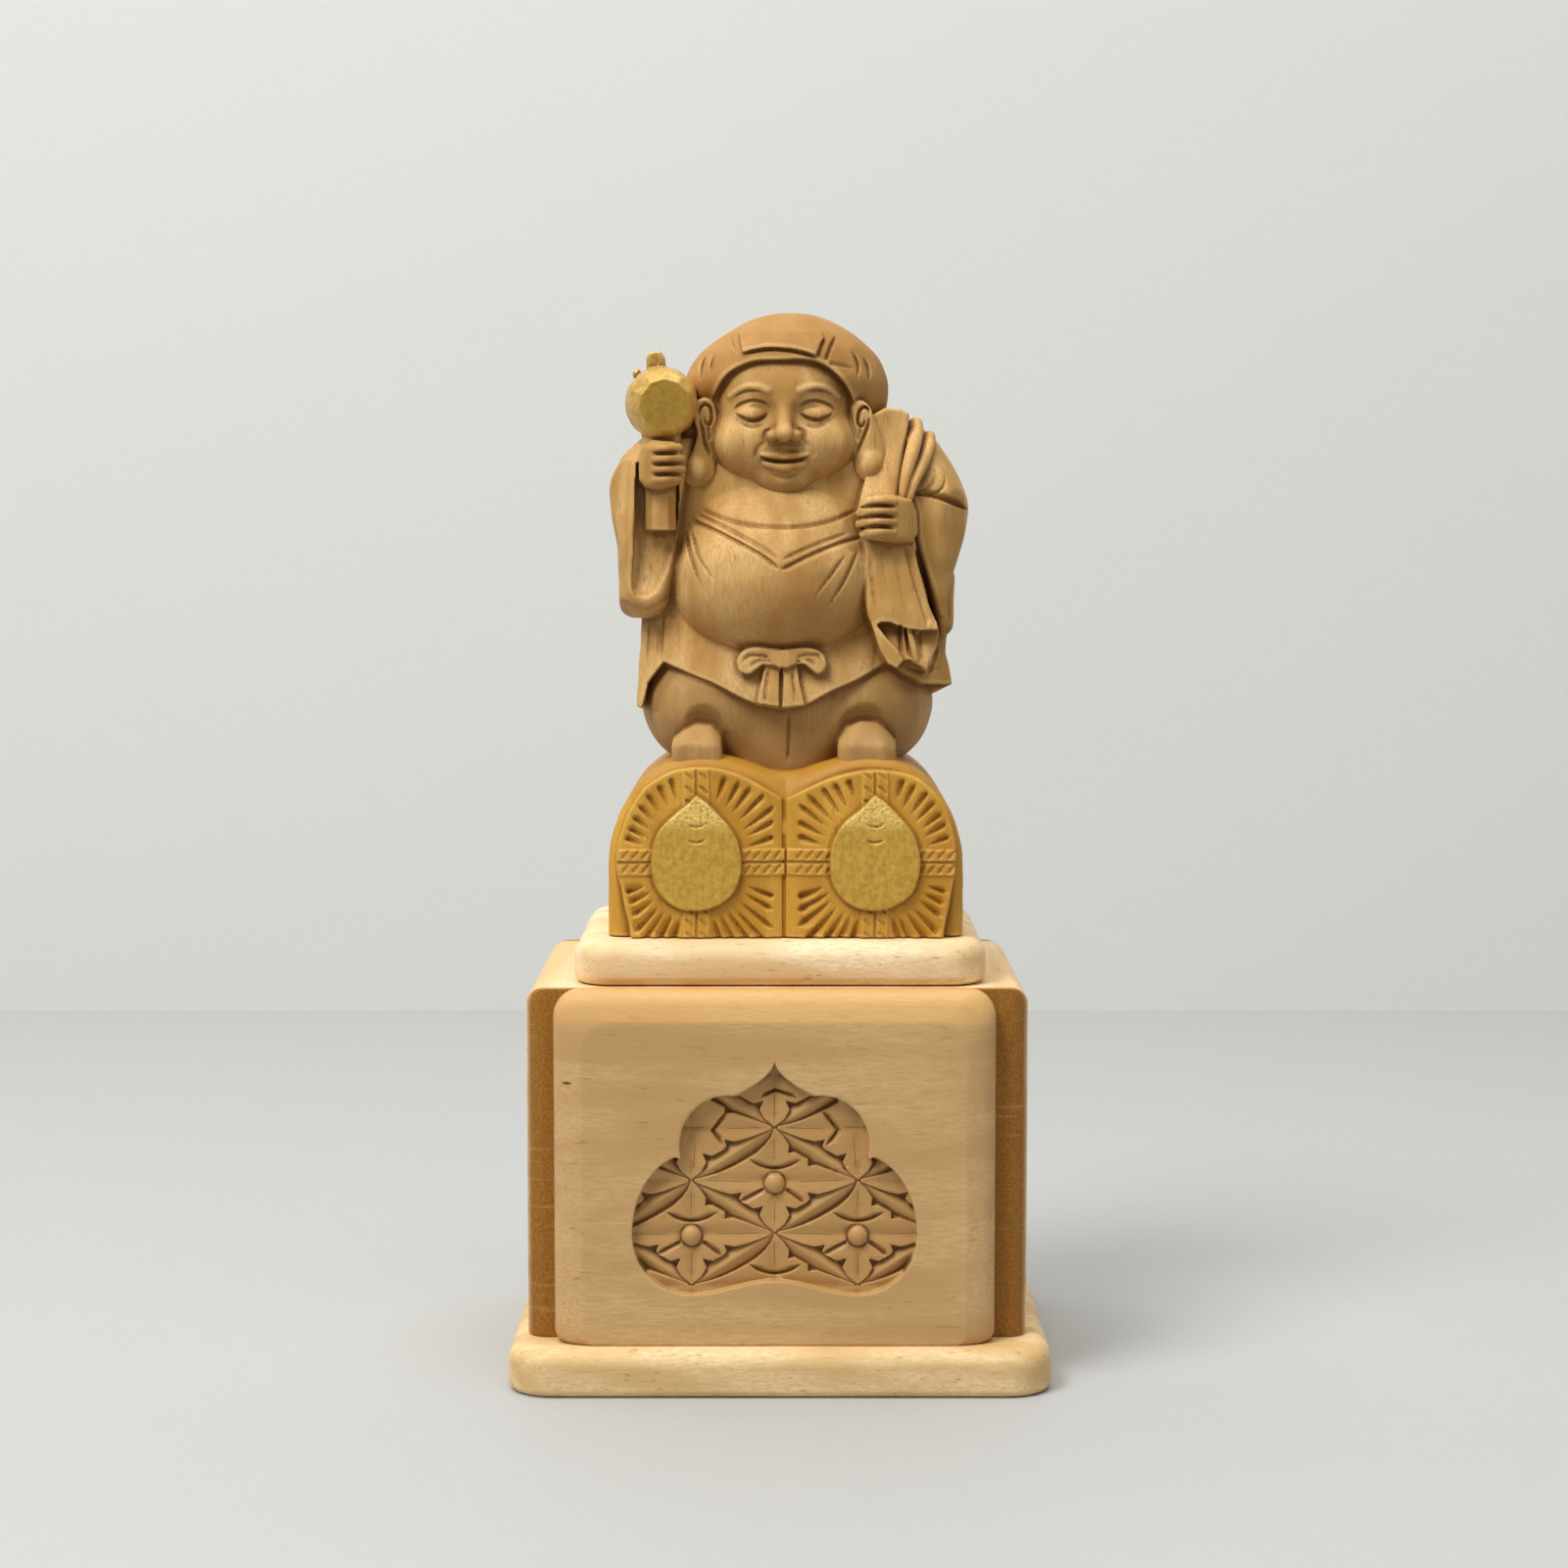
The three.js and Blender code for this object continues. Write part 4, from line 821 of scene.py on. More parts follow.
# %% Reading a block
def read_block(block, points):
    """Distance at any points, mixed from the eight grid values around each."""
    place = points / block.step - block.first
    cell = np.clip(np.floor(place).astype(int), 0, np.array(block.field.shape) - 2)
    share = np.clip(place - cell, 0, 1)
    value = np.zeros(len(points))
    for a in (0, 1):
        for b in (0, 1):
            for c in (0, 1):
                weight = np.abs(1 - a - share[:, 0]) * np.abs(1 - b - share[:, 1])
                weight = weight * np.abs(1 - c - share[:, 2])
                value += weight * block.field[tuple((cell + (a, b, c)).T)]
    return value


def slope_at(block, points):
    """The direction in which the distance grows, from readings half a grid step to each side."""
    steps = np.eye(3) * block.step / 2
    return np.stack(
        [read_block(block, points + s) - read_block(block, points - s) for s in steps], -1
    ) / block.step


def settle(block, points):
    """Moves each point along the slope until its distance is nought."""
    slope = slope_at(block, points)
    length = np.maximum(np.sum(slope * slope, 1), 0.15)
    move = (read_block(block, points) / length)[:, None] * slope
    longest = np.maximum(np.linalg.norm(move, axis=1, keepdims=True), 1e-9)
    return points - move * np.minimum(1, block.step / 2 / longest)


def carved_piece(name, block, place, node, slot, most_triangles):
    """Makes the skin of a block a piece, thinned where it is flat, and set down at its place."""
    points, quads = block_skin(block)
    points = settle(block, points)
    piece = make_piece(name, points + place, quads, np.zeros((0, 3), int), node, slot)
    thin_out(piece, most_triangles)
    return piece


def hollowness(block, points, outward, reach):
    """How hollow the surface is: nought in the open, and near one where the wood closes round. A
    step outwards by `reach` adds less than `reach` to the distance in a hollow."""
    gained = read_block(block, points + outward * reach)
    return np.clip(1 - gained / reach, 0, 1)


# %% [markdown]
# ## The carving's own measures
# The figure is carved in millimetres of its own: x across, y inwards and z up from the foot of the
# bales. Sizes of forms are written as a maker would note them, as rows of a turned shape or as an
# outline drawn in front view. Left and right are the viewer's. The same short wave runs through
# all of them, because a knife leaves long shallow facets and never a true plane.

# %% Place, steps and the knife's wave
CARVING_PLACE = np.array([1, -1, 76.8])
FINE = 0.24
FINER = 0.18
print("steps", FINE, FINER, "mm")


def knife_wave(block, height, length, seed):
    """Adds a sum of sines in random directions: shallow facets about one wave length wide."""
    draw = np.random.default_rng(seed)
    _, (x, y, z) = block.window((-1e6,) * 3, (1e6,) * 3)
    total = 0
    for _ in range(4):
        way = draw.normal(size=3)
        way *= 2 * math.pi / length / np.linalg.norm(way)
        turn = (way[0] * x + way[1] * y + way[2] * z + draw.uniform(0, 6)).astype(np.float32)
        total = total + np.sin(turn)
    block.field += (height / 2 * total).astype(np.float32)


def on_front(block, line, out=0):
    """Places on the front of a block under a line drawn in front view: the first crossing from
    outside to inside along y, found between two grid places."""
    line = np.asarray(line, float)
    cell = np.round(line / block.step).astype(int) - block.first[[0, 2]]
    columns = block.field[cell[:, 0], :, cell[:, 1]]
    first = np.argmax(columns < 0, axis=1)
    row = np.arange(len(line))
    before, after = columns[row, first - 1], columns[row, first]
    depth = (first - 1 + before / (before - after) + block.first[1]) * block.step
    return np.stack([line[:, 0], depth - out, line[:, 1]], -1)


def ridge(block, line, radii, out=0, soft=0.4):
    """Lays a rod on the front of a block along a line drawn in front view."""
    radii = np.broadcast_to(radii, len(line))
    block.add(rod(on_front(block, line, out), radii), soft)


def between(rows):
    """Rows of height, left edge, right edge, middle depth and half depth, as rows of a stack."""
    return [(z, (left + right) / 2, y, (right - left) / 2, deep) for z, left, right, y, deep in rows]


def prism(at, radius, sides, low, high, turn=0, edge=0.15):
    """An upright rod with flat sides: the largest of the distances to its faces."""

    def distance(x, y, z):
        x, y = x - at[0], y - at[1]
        face = None
        for k in range(sides):
            angle = math.radians(turn) + 2 * math.pi * k / sides
            flat = x * math.cos(angle) + y * math.sin(angle) - radius
            face = flat if face is None else np.maximum(face, flat)
        return -soft_min(-face, -np.maximum(low - z, z - high), edge).astype(np.float32)

    reach = radius * 1.3
    return (at[0] - reach, at[1] - reach, low), (at[0] + reach, at[1] + reach, high), distance


# %% [markdown]
# ## Trousers, coat and belly
# The lower body is two round trouser legs with a scoop above each foot, where the cloth is drawn
# in. Over them hangs a coat, cut off at the hem, and out of it swells the belly.

# %% Trousers
SEAT_ROWS = [
    (25, 0.3, 0, 8, 13), (30, 0.3, 0, 14, 13.6), (36, 0.3, 0, 20, 14), (50, 0.3, 0, 24, 14),
]
body = Block((-33, -26, 25.2), (35.5, 24, 93.5), FINE)
body.add(ball((-12.4, -0.1, 39.8), (13.1, 14.1, 12.2)))
body.add(ball((13, -0.1, 40), (13.2, 14.1, 12.6)), 0.5)
body.add(stack(SEAT_ROWS), 2.5)
body.cut(ball((-15.9, -17.6, 34.6), (8.2, 5.4, 7.5), 10), 0.25)
body.cut(ball((14.3, -17.6, 34.4), (8.8, 5.4, 7.6), -10), 0.25)
body.carve([([(0.4, 40), (0.5, 35), (0.3, 28.6)], 0.8, 0.4, 0.1)], behind=-4)
print("body", body.field.shape)

# %% Feet
FOOT_LEFT = [
    (-19.8, 28), (-19.7, 33.8), (-17.8, 35.5), (-15.5, 36.6), (-12.9, 36.3), (-11.2, 34.4),
    (-10.9, 28),
]
FOOT_RIGHT = [
    (9, 28), (9.1, 33.8), (10.5, 36), (13.1, 37), (15.9, 36.8), (17.7, 35.3), (19.2, 33.6),
    (19.2, 28),
]
FOOT_CUTS = [
    ((-0.3, -19.2, 33.5), (0.05, -0.66, 0.75)), ((0.6, -16.4, 36.2), (0.22, -0.4, 0.9)),
    ((-3.2, -19, 33.4), (-0.55, -0.5, 0.67)), ((2.9, -19, 33.6), (0.6, -0.42, 0.68)),
    ((-3.8, -19, 31), (-0.66, -0.75, 0.05)), ((3.7, -19, 31), (0.62, -0.78, 0.08)),
]
for outline, middle in ((FOOT_LEFT, -15.3), (FOOT_RIGHT, 14.1)):
    foot = Block((middle - 8, -22, 26), (middle + 8, -3, 39), FINE)
    foot.add(slab(outline, -19.4, -4, 0.7))
    for point, way in FOOT_CUTS:
        foot.keep(half_space((middle + point[0], point[1], point[2]), way), 0.5)
    body.join(foot, 0.15)
print(len(FOOT_CUTS), "flat cuts on each foot")

# %% Coat and its hem
COAT_ROWS = [
    (34, 1.5, 1, 31, 18.8), (40, 1.4, 1, 30.4, 17.8), (46, 1.1, 1, 29.4, 16),
    (52, 1, 0.9, 28.2, 13.7), (58, 0.6, 0.8, 27.2, 12.5), (64, 0, 0.8, 26, 12.4),
    (74, 0, 1, 25, 12.6), (82, 0, 1.5, 24, 12), (88, 1, 2.5, 20, 10.5), (91.5, 2, 3, 14, 8),
]
COAT_TOP = [(28.6, 52), (28.2, 62), (29, 95), (-27, 95), (-25.4, 56), (-26, 46)]
HEM_FRONT = [
    (-26.2, 39.3), (-25.3, 38.9), (-24.2, 43.4), (-21.4, 47.1), (-17.2, 45.4), (-12.9, 43.8),
    (-8.8, 41.8), (-4.9, 40), (-0.7, 39.2), (3.4, 40), (7.2, 41.8), (11.1, 43.7), (14.6, 45.4),
    (17.6, 47.3), (20.4, 45.3), (23.8, 43.4), (29.6, 42.9), (29, 45.8), (28, 50),
]
HEM_BACK = [(-26.2, 39.3), (-12, 37), (6, 36.4), (20, 38.6), (29.6, 42.9), (28.4, 48)]
COAT_BOX = ((-33, -22, 34), (35.5, 22, 93.5))
coat = Block(*COAT_BOX, FINE)
coat.add(stack(COAT_ROWS, 2.3))
hem = Block(*COAT_BOX, FINE)
hem.add(slab(HEM_FRONT + COAT_TOP, -60, -3, 0.05))
hem.add(slab(HEM_BACK + COAT_TOP, -4, 60, 0.05), 0.05)
coat.field = -soft_min(-coat.field, -hem.field, 0.35)
coat.carve([
    ([(-21.1, 58), (-21.6, 52), (-21.9, 46.4)], 1.5, 0.7, -0.6),
    ([(-23.9, 56), (-24.3, 51), (-24.6, 45)], 1.1, 0.3, 0.5, (0.4, 0.5)),
    ([(-19, 56), (-18.5, 50), (-17.8, 46.4)], 1.4, 0.3, 0.4),
    ([(-15.8, 52), (-15, 48), (-14.2, 45)], 1.6, 0.18, 0.4),
    ([(24.3, 44.3), (25.8, 46.6), (27, 50.4)], 1.4, 0.5, 0.4),
    ([(20.6, 47), (23.4, 45.6), (27.5, 46.2)], 1.2, 0.35, 0.4),
    ([(16, 52), (15.6, 48), (15, 45.6)], 1.4, 0.2, 0.4),
], behind=-3)
body.join(coat, 0.15)
print("coat", coat.field.shape)

# %% Belly and chest
NECKLINE = [
    (-18.4, 75.5), (-15.1, 73.8), (-8.6, 71.4), (-3.1, 70.6), (2.3, 70.6), (7.7, 71.6),
    (13.2, 73.9),
]
trunk = Block((-26, -24, 44), (24, 18, 90), FINE)
trunk.add(ball((-1.3, -4, 61.2), (19.7, 16.4, 15.8)))
trunk.add(ball((-0.8, -1.2, 71.8), (18.8, 13.2, 9.6)), 4)
trunk.carve([
    (NECKLINE, 1.05, 0.55, 0.5, (0.1, 0.1)),
    ([(-17.9, 72.8), (-10.7, 69.5), (-4.2, 66), (-0.9, 63.4)], 1.15, 0.6, -0.5, (0.1, 0.1)),
    ([(-17.2, 74), (-10.7, 70.7), (-4.2, 67.2), (-1, 65)], 0.9, 0.5, 0.4, (0.1, 0.15)),
    ([(-1.1, 63.4), (3.9, 65.9), (8.8, 67.9), (13.6, 69.4)], 1.15, 0.6, -0.5, (0.1, 0.1)),
    ([(-0.8, 65), (3.9, 67.1), (8.8, 69), (11.6, 70)], 0.9, 0.5, 0.4, (0.15, 0.3)),
], behind=-3)
trunk.carve([
    ([(-17.9, 71), (-16.2, 64.6), (-14, 59)], 0.95, 0.6, 0.4, (0.25, 0.6)),
    ([(-16.6, 70.4), (-14.7, 64.8), (-11.8, 61)], 0.85, 0.5, 0.4, (0.25, 0.6)),
    ([(10.6, 66.2), (7.9, 62.5), (4.4, 57.9)], 0.85, 0.5, -0.4, (0.25, 0.6)),
    ([(12.9, 67.4), (10.1, 61.4), (6.6, 56.2)], 0.95, 0.6, -0.4, (0.25, 0.6)),
], behind=-3)
body.join(trunk, 0.3)
print("trunk", trunk.field.shape)

# %% [markdown]
# ## The bow
# The girdle is tied in a bow with two loops and two tails. Each is a thin slab whose front leans
# out below, parted by V cuts into folds. A curve with thickness would look laid on, while a slab
# joined to the block sits in it like carved cloth.

# %% Bow of the girdle
TAIL_LEFT = [(-5, 40.3), (-3.6, 47.4), (-0.6, 47.6), (-0.8, 39.6)]
TAIL_RIGHT = [(-0.9, 39.6), (-0.7, 47.6), (1.8, 47.4), (3.2, 40.1)]
LOOP_LEFT = [
    (-0.7, 49.4), (-3.1, 49.9), (-5.4, 50), (-7.3, 49.3), (-8.4, 47.7), (-8, 45.9),
    (-6.4, 45.4), (-5, 46.2), (-3.8, 47), (-1.6, 46.9),
]
LOOP_RIGHT = [
    (-0.5, 49.4), (1.9, 49.9), (3.9, 50), (5.9, 49.4), (7, 47.9), (6.8, 46.2), (5.5, 45.4),
    (4.3, 46.3), (2.8, 47.3), (0.4, 46.9),
]
KNOT = [(-3.4, 49.6), (2.6, 49.6), (1.8, 47.2), (0.2, 46.5), (-1.2, 46.5), (-2.6, 47.2)]
BOW_BACK = -11


def knot_front(x, z):
    """The knot's front bulges between the loops and leans out below."""
    return -16.9 + 0.06 * (x + 0.4) ** 2 - 0.2 * (49 - z)


bow = Block((-12, -22, 37), (10, -8, 52), FINE)
bow.add(slab(TAIL_LEFT, leaning(-15.8, 0.24, 48), BOW_BACK, 0.15))
bow.add(slab(TAIL_RIGHT, leaning(-15.9, 0.24, 48), BOW_BACK, 0.15), 0.1)
for outline, middle in ((LOOP_LEFT, -4.6), (LOOP_RIGHT, 3.6)):
    front = leaning(-16.9, 0.12, 47, 0.03, middle)
    bow.add(slab(outline, front, BOW_BACK, 0.3, smooth=True), 0.1)
bow.add(slab(KNOT, knot_front, BOW_BACK, 0.3), 0.1)
bow.carve([
    ([(-2.9, 46.8), (-3.4, 43.4), (-3.7, 39.8)], 0.8, 0.5, 0),
    ([(-0.8, 47), (-0.8, 43), (-0.9, 39)], 0.9, 0.9, 0),
    ([(0.9, 46.8), (1.4, 43.4), (1.7, 39.8)], 0.7, 0.45, 0),
    ([(-7.7, 46.7), (-6.6, 48.3), (-4.8, 48.5), (-2.8, 48.1)], 0.9, 0.6, 0.3, (0.4, 0.1)),
    ([(-6.6, 46.1), (-5.4, 47.2), (-4.4, 47.6), (-2.6, 47.5)], 0.8, 0.5, 0.3, (0.4, 0.1)),
    ([(6.6, 47), (5.6, 48.5), (3.9, 48.6), (1.9, 48.1)], 0.9, 0.6, -0.3, (0.4, 0.1)),
    ([(5.6, 46.2), (4.6, 47.3), (3.6, 47.8), (1.8, 47.5)], 0.8, 0.5, -0.3, (0.4, 0.1)),
], behind=-12)
body.join(bow, 0.12)
print("bow", bow.field.shape)

# %% [markdown]
# ## Left sleeve and fist
# The left sleeve hangs from the raised arm like a bag, with the mallet's handle hanging into its
# hollow. It is a stack of level ovals trimmed with flat knife cuts. The fist is a slab with four
# rods for fingers and V cuts between them.

# %% Left sleeve
SLEEVE_LEFT_ROWS = [
    (54.8, -27.6, -23.4, -3, 5.6), (56.4, -29.2, -20.8, -3, 8.8), (61, -29.5, -18.9, -2.8, 9.8),
    (66, -29.6, -18.5, -2.6, 10.2), (71, -30.3, -18.2, -2.4, 10.6), (75.6, -31, -17.6, -2, 11),
    (79.4, -30.6, -16.8, -2, 10.8), (83, -28.8, -16, -1.6, 9.8), (86.4, -25.6, -15, -1, 7.6),
]
HOLLOW = [
    (-26, 82), (-26.2, 77.6), (-26.4, 71.1), (-26.7, 65.1), (-26.9, 60.2), (-26.4, 58.8),
    (-25.2, 58.2), (-23.9, 58.3), (-22.2, 59.7), (-20.4, 63.5), (-19.2, 69.5), (-18.6, 76.5),
    (-18.6, 82),
]
SLEEVE_CUTS = [
    ((-27.8, -12.4, 67), (-0.79, -0.60, 0.10), 0.12),
    ((-19.4, -13.2, 64), (0.66, -0.74, -0.10), 0.15),
    ((-24.6, -12.6, 57.4), (-0.12, -0.66, -0.74), 0.2),
    ((-28.6, -8, 57), (-0.66, -0.35, -0.66), 0.2),
]


def sleeve_floor(x, z):
    """The bottom of the sleeve's hollow, which is shallower below."""
    return -8.3 - 3.5 * np.clip((74 - z) / 16, 0, 1) ** 1.5


left_arm = Block((-33, -22, 52), (-13, 16, 90), FINE)
left_arm.add(stack(between(SLEEVE_LEFT_ROWS), 3.2))
for point, way, soft in SLEEVE_CUTS:
    left_arm.keep(half_space(point, way), soft)
left_arm.cut(slab(HOLLOW, -60, sleeve_floor, 0.9), 0.08)
left_arm.carve([([(-20.2, 59.5), (-22.4, 57.2), (-25.4, 56.4)], 1.2, 0.35, 0.3)], behind=2)
print(len(SLEEVE_CUTS), "flat cuts on the left sleeve")

# %% Left fist and handle
FIST_LEFT = [
    (-25.5, 78.9), (-25.6, 81), (-25, 84.6), (-23.3, 85.9), (-19.2, 85.6), (-18.2, 84.2),
    (-18.2, 80.6), (-18.9, 78), (-22, 77.3), (-24.4, 77.6),
]


def left_fist_front(x, z):
    """The back of the hand falls back to both sides of its middle."""
    return -15.4 + 0.16 * np.abs(x + 22.6)


fist = Block((-28, -20, 68), (-16, 0, 90), FINE)
fist.add(slab(FIST_LEFT, left_fist_front, -2, 1.2))
fist.keep(half_space((-24.6, -15, 82), (-0.78, -0.62, 0.1)), 0.3)
fist.keep(half_space((-22, -15, 84.9), (0, -0.6, 0.8)), 0.3)
for height, tip in ((84.3, -18.6), (82.5, -18.2), (80.7, -18.2), (79, -18.7)):
    knuckles = [(-22.7, -14.9, height - 0.1), (-20.6, -15.2, height), (tip, -13.2, height + 0.1)]
    fist.add(rod(knuckles, [0.75, 0.85, 0.95]), 0.12)
fist.carve([
    ([(-23, 83.5), (-18.2, 83.7)], 0.95, 0.75, 0),
    ([(-23.2, 81.6), (-18, 81.8)], 0.95, 0.75, 0),
    ([(-23.2, 79.8), (-18.2, 80)], 0.95, 0.75, 0),
], behind=-8)
fist.add(prism((-21.8, -10.9), radius=2.35, sides=6, low=70.2, high=79, turn=30), 0.1)
fist.add(rod([(-21.8, -9, 84), (-21.8, -8, 88)], [3.2, 3.6]), 0.3)
left_arm.join(fist, 0.12)
left_arm.add(ball((-17.2, 2.6, 84.2), (7.4, 8.4, 8)), 1.5)
left_arm.add(ball((-18.4, -0.6, 84.4), (4.6, 6.4, 6.4)), 1)
print("left arm", left_arm.field.shape)

# %% [markdown]
# ## Right sleeve, sack and fist
# On the right the sack's neck comes over the shoulder in rolls, which are rods, runs through the
# fist, and ends in a tail: a slab that leans out below, with its open mouth cut in.

# %% Right sleeve and shoulder
SLEEVE_RIGHT_ROWS = [
    (51.6, 26.8, 28.6, -2, 5), (53.4, 25.2, 29.7, -2, 7.2), (58, 23.6, 29.8, -1.8, 8.8),
    (61.8, 22.2, 30, -1.6, 9.4), (63, 21.8, 29.8, -1.6, 9.6), (66, 20.2, 30.8, -1.4, 10),
    (70, 18.2, 31.8, -1, 10.6), (74, 16.2, 32.3, -0.6, 11), (78, 15, 31.4, 0.4, 11),
    (82, 14, 29.4, 1.2, 10), (86, 13, 26.9, 2.2, 8), (88.8, 13, 23.6, 3, 5.4),
    (90.6, 14, 20.4, 3, 3),
]
right_arm = Block((10, -22, 44), (35.5, 18, 93.5), FINE)
right_arm.add(stack(between(SLEEVE_RIGHT_ROWS), 2.6))
right_arm.keep(half_space((27.8, -11.3, 68), (0.80, -0.60, 0.03)), 0.15)
right_arm.cut(ball((31.6, -6, 62.4), (2, 6.5, 1), 25), 0.2)
right_arm.carve([
    ([(21.4, 76.4), (24.8, 76.1), (28, 75.2), (32.4, 73.6)], 1.5, 1.4, 0.75, (0.1, 0.3)),
    ([(26.2, 80.2), (25.3, 78), (23.2, 76.6)], 0.8, 0.55, 0.3, (0.4, 0.3)),
    ([(27.9, 80), (27.5, 77.8), (25.6, 76.2)], 0.8, 0.55, 0.3, (0.4, 0.3)),
    ([(22.4, 70.5), (23.8, 64.2), (25.4, 58), (26.9, 52)], 2.2, 1.5, -0.5, (0.1, 0.1)),
    ([(29.2, 61.6), (28.4, 57.9), (28.7, 53.6)], 1.4, 0.35, 0.4),
], behind=3, before=-20)
CUFF = [(22.5, 75.4), (23.2, 72.6), (23.4, 68.8), (24.4, 65), (25.9, 60.4), (27.3, 55.6)]
ridge(right_arm, CUFF, [0.35, 0.55, 0.6, 0.6, 0.55, 0.4], -0.15, 0.5)
print("right arm", right_arm.field.shape)

# %% The sack's neck and rolls
NECK = [
    (12.4, 73), (14.4, 82), (15.3, 90.4), (17.4, 91.6), (20.1, 91.4), (21.6, 90.6), (21.6, 89),
    (21, 85.3), (20.1, 80.5), (19.4, 76.4), (19.2, 73),
]
INNER_ROLL = [
    (23, 3, 88.2), (23, -2.2, 88.9), (22.8, -6.6, 87), (22.1, -10, 83.8),
    (21, -12.4, 80), (20.1, -14.2, 75.6),
]
OUTER_ROLL = [
    (25.5, 3, 85.8), (25.4, -2.2, 86.7), (25, -6.4, 84.8), (23.9, -9.8, 81.8),
    (22.4, -12.3, 78.6), (21.3, -13.8, 75.4),
]


def neck_front(x, z):
    """The neck's front goes over the shoulder like a quarter of a wave."""
    return -13.8 + 5.6 * np.sin(np.clip((z - 74) / 16, 0, 1) * 1.57)


right_arm.add(slab(NECK, neck_front, 6, 0.5), 0.15)
right_arm.add(rod(INNER_ROLL, [1.15, 1.25, 1.3, 1.2, 1, 0.7]), 0.1)
right_arm.add(rod(OUTER_ROLL, [1.05, 1.15, 1.15, 1.05, 0.9, 0.7]), 0.1)
print(len(NECK), "points round the neck")

# %% The sack's tail and mouth
TAIL = [
    (13.4, 70), (13.6, 66), (13.8, 58.6), (14.2, 55.5), (15.2, 52.9), (16.5, 49.2), (17.5, 47.3),
    (19.2, 46.4), (20.4, 47.7), (21.5, 47.9), (22.1, 47.4), (23.4, 46.7), (24.5, 45.8),
    (24.9, 47.6), (26.2, 49.8), (26.7, 52.4), (25.8, 55.5), (24.5, 60), (23.2, 64.5), (22.2, 70),
]
MOUTH = [
    (15.8, 53.9), (16.6, 54.4), (17.6, 54.5), (18.6, 54.2), (19.7, 53.6), (21.4, 53.1),
    (23.4, 52.9), (24.9, 53), (27.4, 53), (27.4, 44), (20.5, 44), (20.4, 47.8),
    (19.9, 49), (18.8, 50.2), (17.4, 51.6),
]
INNER_STRIP = [(19.8, 55), (20.8, 55), (21.5, 50.5), (21.8, 47.9), (20.4, 47.8), (19.9, 49.2)]
FOLD = [(21.1, 53.4), (21.7, 51.1), (22.2, 49.4), (22.6, 47.9)]
tail_front = leaning(-14.4, 0.17, 70, 0.035, 19.5)


def mouth_floor(x, z):
    """The cloth seen inside the mouth: deep under the edge and coming forward below."""
    return tail_front(x, z) + np.clip(2.9 - 0.30 * (54 - z), 0.9, 2.9)


def strip_front(x, z):
    """The front of the strip of cloth inside the mouth."""
    return tail_front(x, z) + 1.5


tail = Block((10, -22, 44), (30, -2, 74), FINE)
tail.add(slab(TAIL, tail_front, -4, 0.3))
tail.carve([
    ([(14.4, 68.4), (14.9, 61.4), (15.8, 55)], 1, 0.45, 0.4),
    ([(16.4, 67.8), (17, 62), (18.2, 55.6)], 2.2, 0.4, -0.6),
    ([(18.6, 67.8), (19.6, 62), (21.4, 54.6)], 2, 0.3, 0.6),
    ([(20.4, 68.6), (22, 62.2), (24.7, 53.4)], 1.5, 0.7, 0.6, (0.2, 0.1)),
    ([(22, 68.4), (23.6, 61.8), (25.9, 53.2)], 0.9, 0.4, 0.4, (0.2, 0.1)),
], behind=-5)
tail.cut(slab(MOUTH, -60, mouth_floor, 0.15), 0.08)
tail.add(slab(INNER_STRIP, strip_front, -8, 0.15), 0.08)
tail.add(rod([(x, tail_front(x, z) + 1.3, z) for x, z in FOLD], [0.6, 0.8, 0.85, 0.7]), 0.12)
tail.carve([
    ([(19.75, 54), (19.8, 51.4), (19.95, 48.4)], 0.9, 0.9, 0.3, (0.1, 0.3)),
    ([(20.7, 53.6), (21.2, 50.8), (21.7, 48)], 0.8, 0.8, -0.3, (0.1, 0.3)),
    ([(23.2, 52.8), (23.3, 50.4), (23.6, 47.4)], 1.2, 0.6, -0.3, (0.1, 0.3)),
], behind=-5)
right_arm.join(tail, 0.12)
print("tail", tail.field.shape)

# %% Right fist
FIST_RIGHT = [
    (12.6, 73.9), (13.8, 75.9), (18.5, 76.4), (21.8, 75.5), (22.7, 73.3), (22.9, 69.7),
    (21.9, 68.2), (19, 68.1), (14, 68.8), (12.9, 71),
]


def right_fist_front(x, z):
    """The back of the hand falls back towards the wrist."""
    return -17.6 + 0.11 * np.clip(x - 17.5, 0, 9) ** 1.6


fist = Block((9, -23, 65), (27, -5, 80), FINE)
fist.add(slab(FIST_RIGHT, right_fist_front, -6, 1.1))
fist.keep(half_space((21.2, -16.6, 72), (0.7, -0.7, 0.05)), 0.3)
for height, tip in ((75.1, 13.8), (73.4, 13), (71.6, 12.9), (69.8, 13.6)):
    knuckles = [(18.6, -17.2, height + 0.1), (16.2, -17.6, height + 0.25)]
    knuckles.append((tip, -15.9, height - 0.3))
    fist.add(rod(knuckles, [0.7, 0.85, 0.95]), 0.12)
fist.carve([
    ([(12.4, 74), (15.6, 74.5), (18.9, 74.3)], 0.95, 0.8, 0),
    ([(12.2, 72.2), (15.6, 72.7), (18.9, 72.4)], 0.95, 0.8, 0),
    ([(12.4, 70.4), (15.6, 70.9), (18.7, 70.6)], 0.95, 0.8, 0),
], behind=-10)
right_arm.join(fist, 0.1)
print("right fist", fist.field.shape)

# %% The sack's body and the arms on the trunk
sack = Block((-20, -10, 42), (30, 23.5, 93), FINE)
sack.add(ball((5, 9.6, 66.5), (19.5, 11.8, 20.3), 12))
sack.add(ball((15, 6, 83), (9, 8, 8)), 4)
body.join(sack, 0.5)
body.join(left_arm, 0.15)
body.join(right_arm, 0.15)
knife_wave(body, 0.07, 6, 3)
BODY_FOOT = 26.6
body.keep(half_space((0, 0, BODY_FOOT), (0, 0, -1)), 0.1)
print("sack", sack.field.shape)

